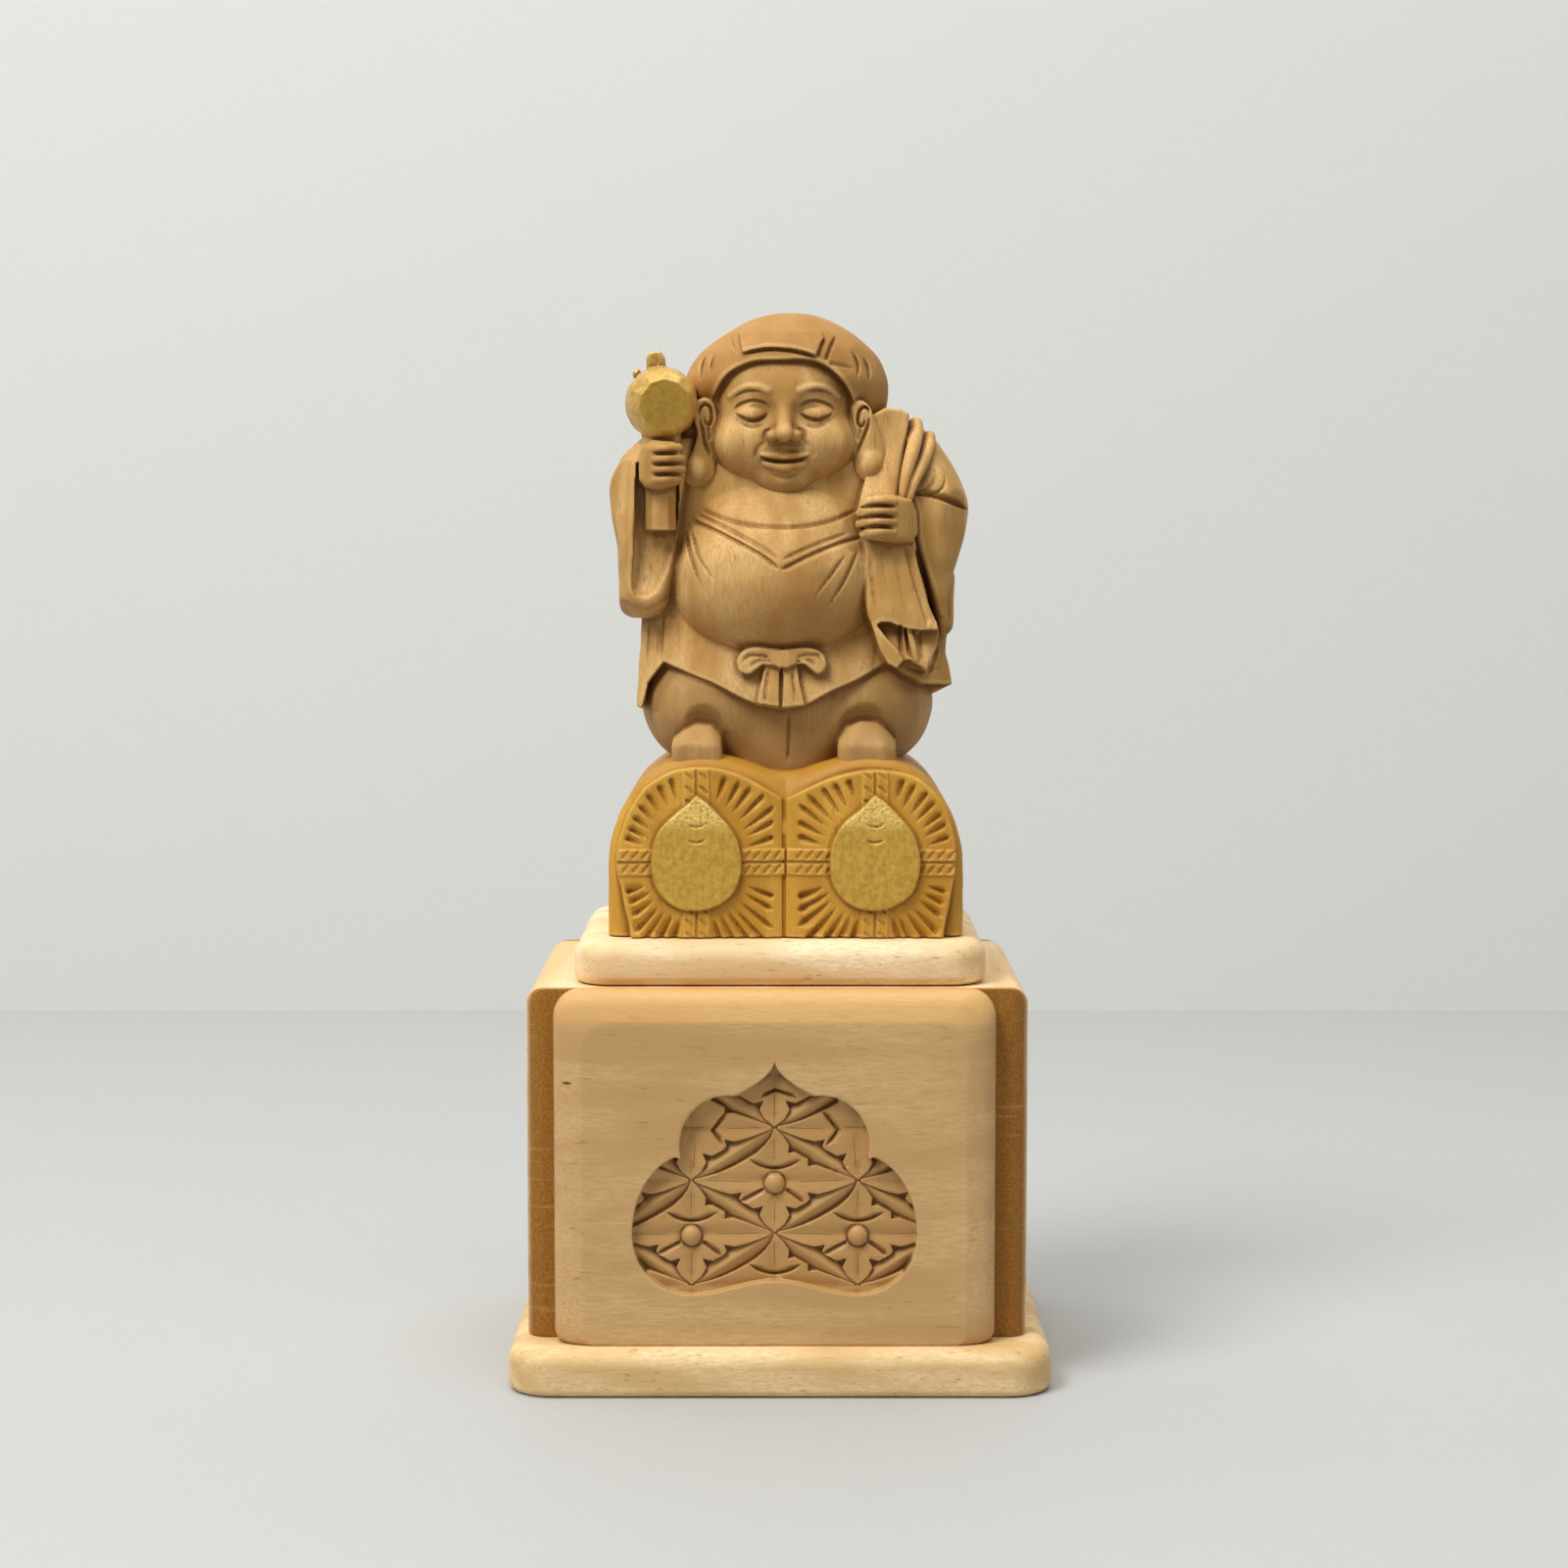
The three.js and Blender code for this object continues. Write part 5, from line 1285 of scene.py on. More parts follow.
# %% [markdown]
# ## The head
# The head is a block of its own with a finer grid. Two broad balls make jaw and brow, and the
# features are laid on in the order a carver works: brows, sockets, eyes, nose, lips and chin. The
# face is a plain, calm one: the eye line is halfway between chin and crown, and the nose and mouth
# divide the lower half in thirds.

# %% Jaw, brow and eyes
FACE_X = -0.3


def on_face(points, side=1):
    """Places noted from the middle of the face, taken to one side of it."""
    return [(FACE_X + side * across, z) for across, z in points]


head = Block((-21, -21, 72.5), (21, 17.5, 110.2), FINER)
head.add(ball((FACE_X, -2.6, 84.4), (13.8, 12.2, 8.9)))
head.add(ball((FACE_X, -1.8, 91.8), (13.4, 12.2, 11)), 4)
head.add(ball((FACE_X, -3.4, 95.4), (11.6, 10.6, 8)), 3)
for side in (-1, 1):
    head.add(ball((FACE_X + side * 6.9, -9.4, 85.4), (5, 4.9, 4.2)), 3)
head.add(ball((FACE_X, -11, 79.1), (4, 3.3, 2.6)), 2.5)
for side in (-1, 1):
    eye = FACE_X + side * 5.3
    head.cut(ball((eye, -16.2, 90.3), (4.4, 3.3, 2.3), side * 4), 1.6)
    head.add(ball((eye, -11, 90.3), (3.5, 3, 2.1), side * 4), 0.35)
print("head", head.field.shape)

# %% Brows, lids and cheek lines
BROW = [(2.8, 94.3), (4.8, 95), (7, 94.9), (9.4, 93.5)]
EYE_CUTS = [
    ([(2.9, 93.6), (4.8, 94.3), (7, 94.2), (9.4, 92.8)], 0.8, 0.26, 0.4, (0.5, 0.5)),
    ([(2.5, 90.6), (4, 89.6), (5.8, 89.3), (7.6, 89.9), (8.7, 90.7)], 0.75, 0.55, 0.2),
    ([(2.3, 91.2), (3.7, 92.3), (5.6, 92.6), (7.6, 92), (9, 90.9)], 0.7, 0.42, 0),
    ([(3.4, 88.7), (5.4, 88.1), (7.4, 88.7)], 0.8, 0.2, 0),
    ([(2.9, 85.6), (4.4, 84.6), (5.2, 82.6)], 1.5, 0.32, 0.3),
]
face_cuts = []
for side in (-1, 1):
    ridge(head, on_face(BROW, side), [0.2, 0.4, 0.4, 0.2], 0.05, 1.1)
    for line, *cut in EYE_CUTS:
        face_cuts.append((on_face(line, side), *cut))
print(len(face_cuts), "lines at the eyes and cheeks")

# %% Nose, lips and chin
WING = [(2.1, 87.9), (3.35, 87.1), (3.3, 85.7)]
nose_line = [(FACE_X, -12.6, 93.8), (FACE_X, -13.7, 91), (FACE_X, -15.9, 87.6)]
head.add(rod(nose_line, [0.8, 0.95, 1.45]), 1.4)
head.add(ball((FACE_X, -16.2, 86.8), (1.65, 1.7, 1.4)), 0.6)
for side in (-1, 1):
    head.add(ball((FACE_X + side * 2, -14.9, 86.5), (1.15, 1.6, 1.15), side * 20), 0.55)
    face_cuts.append((on_face(WING, side), 0.7, 0.35, 0.3))
    head.cut(ball((FACE_X + side * 1.15, -16.2, 85.5), (0.5, 0.8, 0.35), side * 15), 0.25)
head.carve(face_cuts, behind=-6)
LIP_LINE = [(-4.7, 83.4), (-2.7, 82.4), (0, 82.1), (2.7, 82.4), (4.7, 83.4)]
UPPER_LIP = [(-4, 83.2), (-1.4, 83.1), (0, 82.8), (1.4, 83.1), (4, 83.2)]
LOWER_LIP = [(-3.2, 81.8), (0, 81), (3.2, 81.8)]
ridge(head, on_face(UPPER_LIP), [0.3, 0.75, 0.65, 0.75, 0.3], 0.1, 0.5)
ridge(head, on_face(LOWER_LIP), [0.45, 0.95, 0.45], 0.05, 0.5)
head.carve([
    (on_face(LIP_LINE), 0.8, 0.65, 0),
    (on_face([(-2.6, 79.9), (0, 79.5), (2.6, 79.9)]), 1.7, 0.35, 0, (0.5, 0.5)),
    (on_face([(0, 84.9), (0, 83.6)]), 1.2, 0.15, 0, (0.5, 0.5)),
    (on_face([(-6.5, 77.3), (0, 76), (6.5, 77.3)]), 1, 0.25, 0),
], behind=-6)
print(len(face_cuts), "lines with the nose's wings")

# %% [markdown]
# ## Ears with long lobes
# The ears are slabs whose front falls back from the middle, with a ball for each heavy lobe. Three
# V cuts on each side leave the rim and the fold within it.

# %% Ears
EAR_LEFT = [
    (-11.6, 88.6), (-12, 90.6), (-12.6, 92.5), (-14.1, 93.3), (-15.7, 92.4), (-16, 89.7),
    (-15.4, 86.9), (-16.5, 83.4), (-17.5, 80.8), (-17.4, 78.6), (-16.2, 77.8), (-14.6, 77.9),
    (-12.6, 79.3), (-12, 82),
]
EAR_RIGHT = [
    (11.3, 90.9), (11.8, 92.5), (13.2, 92.8), (14.6, 91.7), (15.3, 90.1), (16.3, 87.3),
    (17.1, 85.3), (17.5, 83.3), (16.9, 81.2), (15.9, 79.9), (14.5, 78.9), (13.2, 79.1),
    (12.1, 80.5), (11.7, 82.5), (11.6, 86.9),
]
CURL_LEFT = [
    (-15.2, 89.7), (-15, 91.2), (-14.1, 92.1), (-13.1, 91.4), (-12.9, 89.5), (-13.5, 88.5),
    (-14.1, 89.3), (-13.9, 90.2),
]
CURL_RIGHT = [
    (14.7, 89.9), (14.4, 91.1), (13.6, 91.6), (12.8, 90.7), (12.6, 89), (13.2, 88.2),
    (13.7, 89), (13.5, 89.9),
]


def ear_front(middle):
    """A front face that falls back by the square of the distance from its middle, up to 3 mm."""

    def face(x, z):
        return -10.4 + 0.09 * np.clip(np.abs(x - middle), 0, 3) ** 2

    return face


ears = Block((-20, -14, 75), (20, 2, 96), FINER)
for outline, middle in ((EAR_LEFT, -14.4), (EAR_RIGHT, 14.2)):
    ears.add(slab(outline, ear_front(middle), -1, 0.6, smooth=True))
ears.add(ball((-15.3, -9.4, 80.6), (2, 2.1, 2.6), -10), 0.6)
ears.add(ball((14.7, -9.4, 81.6), (2.3, 2.1, 2.7), 15), 0.6)
ears.carve([
    (CURL_LEFT, 0.8, 0.9, 0),
    ([(-15.2, 89.9), (-14.6, 87.6), (-14.1, 85.2), (-13, 82.8)], 0.9, 0.8, 0.3),
    ([(-13.6, 88.6), (-13.4, 86.8), (-13.4, 85.4)], 0.9, 0.5, 0.3),
    (CURL_RIGHT, 0.8, 0.9, 0),
    ([(14.7, 90.1), (14.3, 88.1), (13.2, 85.3), (12.1, 83)], 0.9, 0.8, -0.3),
    ([(13.2, 88.4), (12.9, 86.8), (12.5, 85.4)], 0.9, 0.5, -0.3),
], behind=-5)
head.join(ears, 0.3)
print("ears", ears.field.shape)

# %% [markdown]
# ## The cap
# The cap is a soft bag: a stack of level ovals whose crown follows a short formula. An arch is cut
# out of it over the face, and a raised patch stands on the front, with folds gathered beside it.

# %% Cap
CAP_ROWS = [
    (88.5, 0.8, 3, 14.6, 11), (91, 0.4, 1.5, 17.2, 13.5), (95.5, 0.2, 0.4, 18, 14.8),
    (98.8, 0.2, 0.7, 17.2, 14.8), (101.6, 0.4, 0.9, 15.3, 14.2),
]
CROWN = {"top": 108.62, "spread": 5.8, "widest": 12.3, "step": 1.95}
PATCH_RAISED = 0.55
for wide in np.arange(CROWN["widest"], 0, -CROWN["step"]):
    height = CROWN["top"] - (wide / CROWN["spread"]) ** 2
    CAP_ROWS.append((height, 0.95 - 0.03 * wide, 1, wide, wide * (1.2 - 0.016 * wide)))
ARCH = [
    (-13.9, 84), (-13.2, 91.2), (-11.7, 95), (-9.7, 97.6), (-6.4, 99.2), (-3.1, 99.6), (2.3, 99.7),
    (5.4, 99.3), (8.1, 97.8), (10.4, 95.4), (12, 91.6), (12.9, 84),
]
PATCH = [
    (-8.2, 104.8), (-7.5, 101), (-3.1, 101.7), (1.2, 101.4), (5.2, 100.4), (6.7, 103.4),
    (6.1, 105),
]
cap = Block((-21, -19, 86), (21, 17.5, 110.2), FINER)
cap.add(stack(CAP_ROWS, 2.05))
cap.cut(slab(ARCH, -60, -8.5, 0.4, smooth=True), 0.3)
raised = [
    (z, x, y, wide + PATCH_RAISED, deep + PATCH_RAISED) for z, x, y, wide, deep in CAP_ROWS
]
cap.add(both(slab(PATCH, -60, -4, 0.2), stack(raised, 2.05), 0.15), 0.1)
cap.carve([
    ([(-7.6, 100.6), (-3.1, 101.3), (1.2, 101), (5.4, 100)], 0.9, 0.7, 0.3, (0.15, 0.15)),
    ([(6.9, 103.9), (5.5, 99.8)], 0.8, 0.6, -0.3, (0.4, 0.15)),
    ([(8.8, 104.2), (6.9, 99.3)], 0.85, 0.65, -0.3, (0.4, 0.15)),
    ([(-13.7, 101.4), (-14.6, 98.8), (-14.8, 96.2)], 0.7, 0.5, 0.3, (0.5, 0.4)),
    ([(-12.1, 101.8), (-12.9, 99.2), (-13.2, 97)], 0.65, 0.4, 0.3, (0.5, 0.4)),
    ([(11.2, 101.8), (12.6, 99), (12.4, 96.2)], 0.7, 0.5, -0.3, (0.5, 0.4)),
    ([(13.2, 100.9), (14.4, 98.3), (14.5, 95.6)], 0.7, 0.5, -0.3, (0.5, 0.4)),
    ([(-8.6, 101.2), (-9.4, 103.2), (-9.2, 105)], 0.7, 0.25, 0.3),
    ([(7.4, 98.9), (10.2, 98.5), (12.6, 98)], 0.9, 0.35, 0.5, (0.1, 0.7)),
], behind=-1)
head.join(cap, 0.12)
knife_wave(head, 0.04, 5.5, 5)
print("cap", cap.field.shape)

# %% [markdown]
# ## The mallet
# The lucky mallet is a small barrel lying front to back, gilded all over. A lathe turns it about a
# line, and so does the formula: a radius for every depth. Rings of flat cuts leave facets on it.

# %% Mallet
MALLET_X, MALLET_Z = -21.8, 92.4
MALLET_LEAN = (0.10, -0.06)
BARREL = [
    (-14.6, 4.45), (-13.2, 5.4), (-11, 6.15), (-8.5, 6.5), (-5, 6.4), (-2, 5.8), (0.5, 4.8),
    (1.5, 4.2),
]
LEANS_BEFORE = -6


def turned(profile, x_middle, z_middle, edge=0.3):
    """A form turned about a line from front to back, which leans a little in front: the distance
    to its profile of depth and radius, divided by the profile's slope, and cut off at both ends."""
    profile = np.asarray(profile, float)
    reach = profile[:, 1].max()
    low = (x_middle - reach, profile[0, 0], z_middle - reach)
    high = (x_middle + reach, profile[-1, 0], z_middle + reach)

    def distance(x, y, z):
        ahead = np.clip(LEANS_BEFORE - y, 0, 20)
        x, z = x - MALLET_LEAN[0] * ahead, z - MALLET_LEAN[1] * ahead
        radius = np.interp(y, profile[:, 0], profile[:, 1])
        slope = np.gradient(radius.ravel(), np.ravel(y)).reshape(radius.shape)
        aside = (np.hypot(x - x_middle, z - z_middle) - radius) / np.sqrt(1 + slope**2)
        ends = np.maximum(profile[0, 0] - y, y - profile[-1, 0])
        return -soft_min(-aside, -ends, edge).astype(np.float32)

    return low, high, distance


FACETS = 11
FACET_RINGS = [(-14.6, 4.28, 0.62), (-11.5, 5.92, 0.30), (-6, 6.34, 0)]
mallet = Block((-30, -18, 84), (-13, 5, 103.5), FINER)
mallet.add(turned(BARREL, MALLET_X, MALLET_Z, 0.08))
for k in range(FACETS):
    angle = 2 * math.pi * (k + 0.3) / FACETS
    way = np.array([math.cos(angle), math.sin(angle)])
    for depth, radius, lean in FACET_RINGS:
        ahead = max(LEANS_BEFORE - depth, 0)
        middle = np.array([MALLET_X, MALLET_Z]) + np.multiply(MALLET_LEAN, ahead)
        point = (middle[0] + radius * way[0], depth, middle[1] + radius * way[1])
        mallet.keep(half_space(point, (way[0], -lean, way[1])), 0.08)
print("the barrel has", FACETS * len(FACET_RINGS), "facets")

# %% Mallet's knob
KNOB = [
    (-24.3, 97.6), (-24.3, 100.3), (-23.8, 101.2), (-22.8, 101.6), (-21.8, 101.3), (-21.2, 100.2),
    (-20.9, 97.6),
]
mallet.add(slab(KNOB, -8.8, -5, 0.5), 0.3)
mallet.add(ball((-26.2, -4.5, 97.6), (0.75, 0.8, 0.9)), 0.2)
mallet.carve([([(-23.4, 100.6), (-22.6, 99.9), (-22.2, 98.9)], 0.6, 0.25, 0)], behind=-4)
knife_wave(mallet, 0.06, 4, 8)
print("mallet", mallet.field.shape)

# %% [markdown]
# ## The straw bales
# The two bales are one block with two bulging outlines and a saddle on top where the figure stands.
# Their front faces are cut like the end of a bundle: a fan of V cuts from the jewel to the rim. A
# texture could draw the straw, but the real cuts are deep enough to cast shadows, so they are cut.

# %% Outline of the bales
BALE = {"axis": 15.3, "shoulder": 11.8, "outer": 15.5, "inner": 20.3, "crown": 19.3}
STRAW_FACE = -22.5
JEWEL = {"x": 15.4, "z": 12.5}


def bale_outline():
    """One bale's shoulder and crown as half an ellipse with a narrow outer and a wide inner half,
    down to the valley between the bales, mirrored to the other bale."""
    valley = math.acos(BALE["axis"] / BALE["inner"])
    angle = np.linspace(math.pi, valley, 40)
    wide = np.where(angle > math.pi / 2, BALE["outer"], BALE["inner"])
    x = -BALE["axis"] + wide * np.cos(angle)
    z = BALE["shoulder"] + BALE["crown"] * np.sin(angle)
    left = np.stack([x, z], -1)
    left = np.concatenate([[[left[0, 0], -5]], left])
    return np.concatenate([left[:-1], left[::-1] * [-1, 1]])


# %% Bodies, saddle and straw end
STRAW_STEP = FINER + 0.02
SADDLE = [
    (13, 18), (13.5, 30.6), (8, 29.4), (3, 28.4), (-3, 28.4), (-8, 29.4), (-13.5, 30.6), (-13, 18),
]


def bale_block(back):
    """A block as wide and high as both bales, from before their front to a depth."""
    return Block((-32.5, -26, -1.2), (32.5, back, 33.4), STRAW_STEP)


def straw_front(x, z):
    """The straw ends bulge a little and fall back towards the seam between the bales."""
    return STRAW_FACE + 0.9 * np.clip(1 - np.abs(x + 0.3) / 4.4, 0, 1) ** 1.3


STRAW_LEFT = [
    (-0.1, -3), (-0.1, 23.9), (-2.3, 25.2), (-5.4, 27), (-9.3, 28.7), (-13.3, 29.5), (-17.7, 29.3),
    (-21.2, 28.1), (-24.6, 25.6), (-26.8, 22.3), (-28.5, 17.9), (-29.3, 13.9), (-29.1, 11.5),
    (-28.5, 9), (-27.8, 5.6), (-27, 2.3), (-26.4, -3),
]
STRAW_RIGHT = [
    (27, -3), (27.3, 1), (28.2, 5.9), (29.1, 10.3), (29.5, 13.9), (29.1, 17.4), (28.2, 20.8),
    (26.4, 24.3), (23.8, 27), (21.1, 28.3), (16.7, 29), (12.3, 28.8), (7.9, 27.7), (3.5, 25.8),
    (-0.5, 23.9), (-0.5, -3),
]
straw_ends = {
    side: np.concatenate([points[:1], smooth_line(points[1:-1], 4), points[-1:]])
    for side, points in ((-1, STRAW_LEFT), (1, STRAW_RIGHT))
}
bales = bale_block(24.5)
bales.add(slab(bale_outline(), -20.4, 22.5, 2.2))
bales.add(slab(SADDLE, leaning(-17.5, 0.30, 31), 20, 1.6), 3)
straw = bale_block(-14)
for outline in straw_ends.values():
    straw.add(slab(outline, straw_front, -15, 0.3), 0.05)
print("bales", bales.field.shape)

# %% Jewel outline and straw cuts
JEWEL_POINTS = np.array([
    (0, 12.2), (-1.6, 10.7), (-3.2, 9.3), (-5.2, 7.6), (-6.7, 5.6), (-7.5, 3.3), (-7.8, 0.8),
    (-7.6, -1.6), (-6.8, -3.9), (-5.3, -5.8), (-3.2, -7.1), (-0.6, -7.6), (2.1, -7.3),
    (4.5, -6.2), (6.4, -4.4), (7.4, -2.2), (7.8, 0.3), (7.6, 2.8), (6.9, 5), (5.4, 7.2),
    (3.4, 9.4), (1.8, 11), (0, 12.2),
])


def jewel_outline(side):
    """A round drop with a pointed tip, a little fuller on its left: a curve through points noted
    about the middle of its round part."""
    return smooth_line(JEWEL_POINTS, 4)[:-1] + [side * JEWEL["x"], JEWEL["z"]]


draw = np.random.default_rng(12)
RAYS_A_BALE, ROPE_HALF, FEWEST_SPOTS = 42, 2.6, 25
cuts = []
for side in (-1, 1):
    middle = np.array([side * JEWEL["x"], JEWEL["z"]])
    for k in range(RAYS_A_BALE):
        angle = 2 * math.pi * (k + 0.5 + draw.uniform(-0.1, 0.1)) / RAYS_A_BALE
        way = np.array([math.cos(angle), math.sin(angle)])
        spots = middle + np.linspace(5, 26, 180)[:, None] * way
        from_jewel = outline_distance(spots[:, 0], spots[:, 1], jewel_outline(side))
        from_edge = outline_distance(spots[:, 0], spots[:, 1], straw_ends[side])
        from_rope = np.minimum(np.abs(spots[:, 0] - middle[0]), np.abs(spots[:, 1] - middle[1]))
        free = (from_jewel > 0.9 + draw.uniform(0, 0.6)) & (from_edge < -0.6)
        free &= (from_rope > ROPE_HALF) & (side * spots[:, 0] > 1.9) & (spots[:, 1] > -1)
        if free.sum() < FEWEST_SPOTS:
            continue
        first, last = np.flatnonzero(free)[[0, -1]]
        line = [spots[first], spots[(first + last) // 2], spots[last]]
        broad = max(0, -0.5 * way[0] - 0.75 * way[1])
        wide = 1.4 + 1.0 * broad + 0.25 * draw.uniform()
        ends = (0.85, 0.14 + 0.14 * draw.uniform())
        cuts.append((line, wide, 0.35 + 0.38 * wide, 0.3 * side, ends))
straw.carve(cuts, behind=-16)
straw.carve([([(-0.3, -1), (-0.3, 12), (-0.3, 25.6)], 1, 0.35, 0, (0.05, 0.05))], behind=-16)
print(len(cuts), "straw cuts")

# %% [markdown]
# ## Ropes and jewels
# Two ropes run across the bales and two up each, under a flat jewel. A rope is a flat strip with
# slanting V cuts for its twist, as a carver would suggest it.

# %% Ropes
ROPE_GAP, ROPE_HEIGHT, STRAND_HALF = 2.45, 13.2, 1.05
rope = bale_block(-18)
twist = []


def rope_front(x, z):
    """The ropes lie on the straw and follow it."""
    return straw_front(x, z) - 0.3


for side in (-1, 1):
    for offset in (-ROPE_GAP / 2, ROPE_GAP / 2):
        level = ROPE_HEIGHT + offset
        start, end = side * 0.1, side * 29.6
        strand = [
            (start, level - STRAND_HALF), (start, level + STRAND_HALF),
            (end, level + 0.95), (end, level - 1.15),
        ]
        rope.add(slab(strand, rope_front, -20, 0.22), 0.05)
        x = side * JEWEL["x"] + offset
        left, right = x - STRAND_HALF, x + STRAND_HALF
        strand = [(left, -2), (left, 30.6), (right, 30.6), (right, -2)]
        rope.add(slab(strand, STRAW_FACE - 0.3, -20, 0.22), 0.05)
        for start in np.arange(1.9, 29, 1.75):
            low = (side * start - 0.2, level - 0.95)
            twist.append(([low, (low[0] + 1.5, level + 0.95)], 0.7, 0.55, 0.3, (0.35, 0.35)))
        for start in np.arange(-0.4, 30, 2.3):
            twist.append(([(x - 0.95, start + 1.6), (x + 0.95, start)], 0.7, 0.5, 0.3, (0.35, 0.35)))
rope.carve(twist, behind=-19)
face_room = bale_block(-18)
for outline in straw_ends.values():
    face_room.add(slab(outline, -60, -19, 0.15), 0.05)
rope.field = -soft_min(-rope.field, -face_room.field - 0.15, 0.1)
straw.join(rope, 0.08)
print(len(twist), "cuts twist the ropes")

# %% Jewels
gems = Block((-25, -26, 2), (25, -18, 27), STRAW_STEP)
for side in (-1, 1):
    gems.add(slab(jewel_outline(side), STRAW_FACE - 1.2, -20, 0.35), 0.05)
    for height, wide, sag in ((19.4, 1.9, 0.75), (16.7, 1.8, 0.7)):
        line = [(side * JEWEL["x"] + u * wide, height + sag * u * u) for u in (-1, -0.5, 0, 0.5, 1)]
        gems.carve([(line, 0.7, 0.4, 0)], behind=-20)
straw.join(gems, 0.08)
bales.join(straw, 0.12)
knife_wave(bales, 0.04, 5, 9)
bales.keep(half_space((0, 0, 0.1), (0, 0, -1)), 0.05)
print("jewels", gems.field.shape)

# %% [markdown]
# ## Pieces and their painted numbers
# Each block becomes a piece, and each of its points gets numbers for the material: how far it lies
# in a narrow crease or a wide hollow, for dirt and painted shade, how sharp an edge it is on, for
# wear and a painted highlight, and whether it faces down, for painted shade beneath. The top of the
# cap is kept clean, as the distances of a stack's flat end aren't true there.

# %% Pieces of the carving
CLEAN_ABOVE = 105.5
blocks = {
    "carved_head": (head, 190000), "carved_body": (body, 190000),
    "gilded_mallet": (mallet, 60000), "rice_bales": (bales, 190000),
}
carved = {}
for name, (block, most) in blocks.items():
    piece = carved_piece(name, block, CARVING_PLACE, "daikoku_figure", "figure_wood", most)
    points, outward = piece_points(piece, CARVING_PLACE)
    below_crown = np.clip((CLEAN_ABOVE - points[:, 2]) / 1.5, 0, 1)
    # Hollows are marked for dirt and painted shade, and edges for wear and a painted highlight.
    paint(piece, "hollow", below_crown * hollowness(block, points, outward, 0.8))
    paint(piece, "valley", below_crown * hollowness(block, points, outward, 2.4))
    paint(piece, "edge", hollowness(block, points, outward, -0.7))
    # Painted shade: points that face down are marked, to be darkened as if in shade.
    paint(piece, "under", np.clip(0.1 - 1.3 * outward[:, 2], 0, 1))
    carved[name] = piece

# %% Cloth, gold leaf and the mallet's end
HANDLED = {"x": 1.2, "z": 57.8, "wide": 11, "high": 7.5}
points, _ = piece_points(carved["carved_body"], CARVING_PLACE)
across = (points[:, 0] - HANDLED["x"]) / HANDLED["wide"]
from_belly = np.hypot(across, (points[:, 2] - HANDLED["z"]) / HANDLED["high"])
paint(carved["carved_body"], "handled", np.exp(-from_belly**2) * (points[:, 1] < -12))
off_coat = np.clip(read_block(coat, points) / 0.4, 0, 1)
off_coat = off_coat * np.clip(read_block(bow, points) / 0.3, 0, 1)
paint(carved["carved_body"], "trousers", off_coat * (points[:, 2] < 46))
points, _ = piece_points(carved["carved_head"], CARVING_PLACE)
paint(carved["carved_head"], "cap", np.clip(1 - read_block(cap, points) / 0.4, 0, 1))
points, _ = piece_points(carved["rice_bales"], CARVING_PLACE)
on_gem = (read_block(gems, points) < 0.12) & (points[:, 1] < STRAW_FACE - 0.4)
paint(carved["rice_bales"], "gilding", on_gem)
paint(carved["rice_bales"], "wrinkled", on_gem * np.clip((points[:, 2] - 18.2) / 2.2, 0, 1))
on_saddle = np.clip((points[:, 2] - 21) / 4, 0, 1) * (points[:, 1] > STRAW_FACE + 1.5)
paint(carved["rice_bales"], "saddle", on_saddle)
points, outward = piece_points(carved["gilded_mallet"], CARVING_PLACE)
# Painted shade: marks the mallet's front end face, to be painted darker.
paint(carved["gilded_mallet"], "end_face", (points[:, 1] < -14.2) & (outward[:, 1] < -0.9))
print(int(on_gem.sum()), "points of the bales are gilded")

# %% [markdown]
# ## Shared finishes
# Two effects are on every piece of wood, so each is a node group built once. The first is grain:
# fibres drawn out along the board, broad bands between growth rings, and the short dark flecks of a
# ray-flecked wood. The second is age and painted light in the carving: the hollows are darkened,
# partly for dirt and old stain and partly as painted shade, while the edges are lightened, partly
# for wear and partly as a painted highlight. Where it is hollow was measured on the carved block and
# is read here from the pieces' own attributes. Everything else reads Object coordinates, turned
# into millimetres.

# %% Helpers for node trees
def colour(red, green, blue):
    """A colour as the eye names it, from 0 to 255, turned into the linear light of a shader."""
    share = np.array([red, green, blue]) / 255
    linear = np.where(share <= 0.04045, share / 12.92, ((share + 0.055) / 1.055) ** 2.4)
    return (*map(float, linear), 1)


def put(tree, kind, sockets=None, **settings):
    """Adds a node, sets its options, and gives each socket a value or a link."""
    made = tree.nodes.new(kind)
    for name, value in settings.items():
        setattr(made, name, value)
    for key, value in (sockets or {}).items():
        if isinstance(value, bpy.types.NodeSocket):
            tree.links.new(value, made.inputs[key])
        else:
            made.inputs[key].default_value = value
    return made


def maths(tree, operation, a, b=0.5, c=0.5, clamp=False):
    """One sum on numbers, such as MULTIPLY or POWER."""
    sockets = {0: a, 1: b, 2: c}
    return put(tree, "ShaderNodeMath", sockets, operation=operation, use_clamp=clamp).outputs[0]


def blend(tree, share, first, second, way="MIX"):
    """Mixes two colours by a share."""
    sockets = {0: share, 6: first, 7: second}
    node = put(tree, "ShaderNodeMix", sockets, data_type="RGBA", blend_type=way)
    return node.outputs[2]


def step_up(tree, value, low, high):
    """Nought below `low`, one above `high`, and a smooth ramp between."""
    sockets = {"Value": value, "From Min": low, "From Max": high}
    return put(
        tree, "ShaderNodeMapRange", sockets, interpolation_type="SMOOTHSTEP"
    ).outputs["Result"]


def noise(tree, place, scale, detail=3, rough=0.55):
    """A cloud of values about one half, with lumps of one over `scale` millimetres."""
    sockets = {"Vector": place, "Scale": scale, "Detail": detail, "Roughness": rough}
    return put(tree, "ShaderNodeTexNoise", sockets).outputs["Fac"]


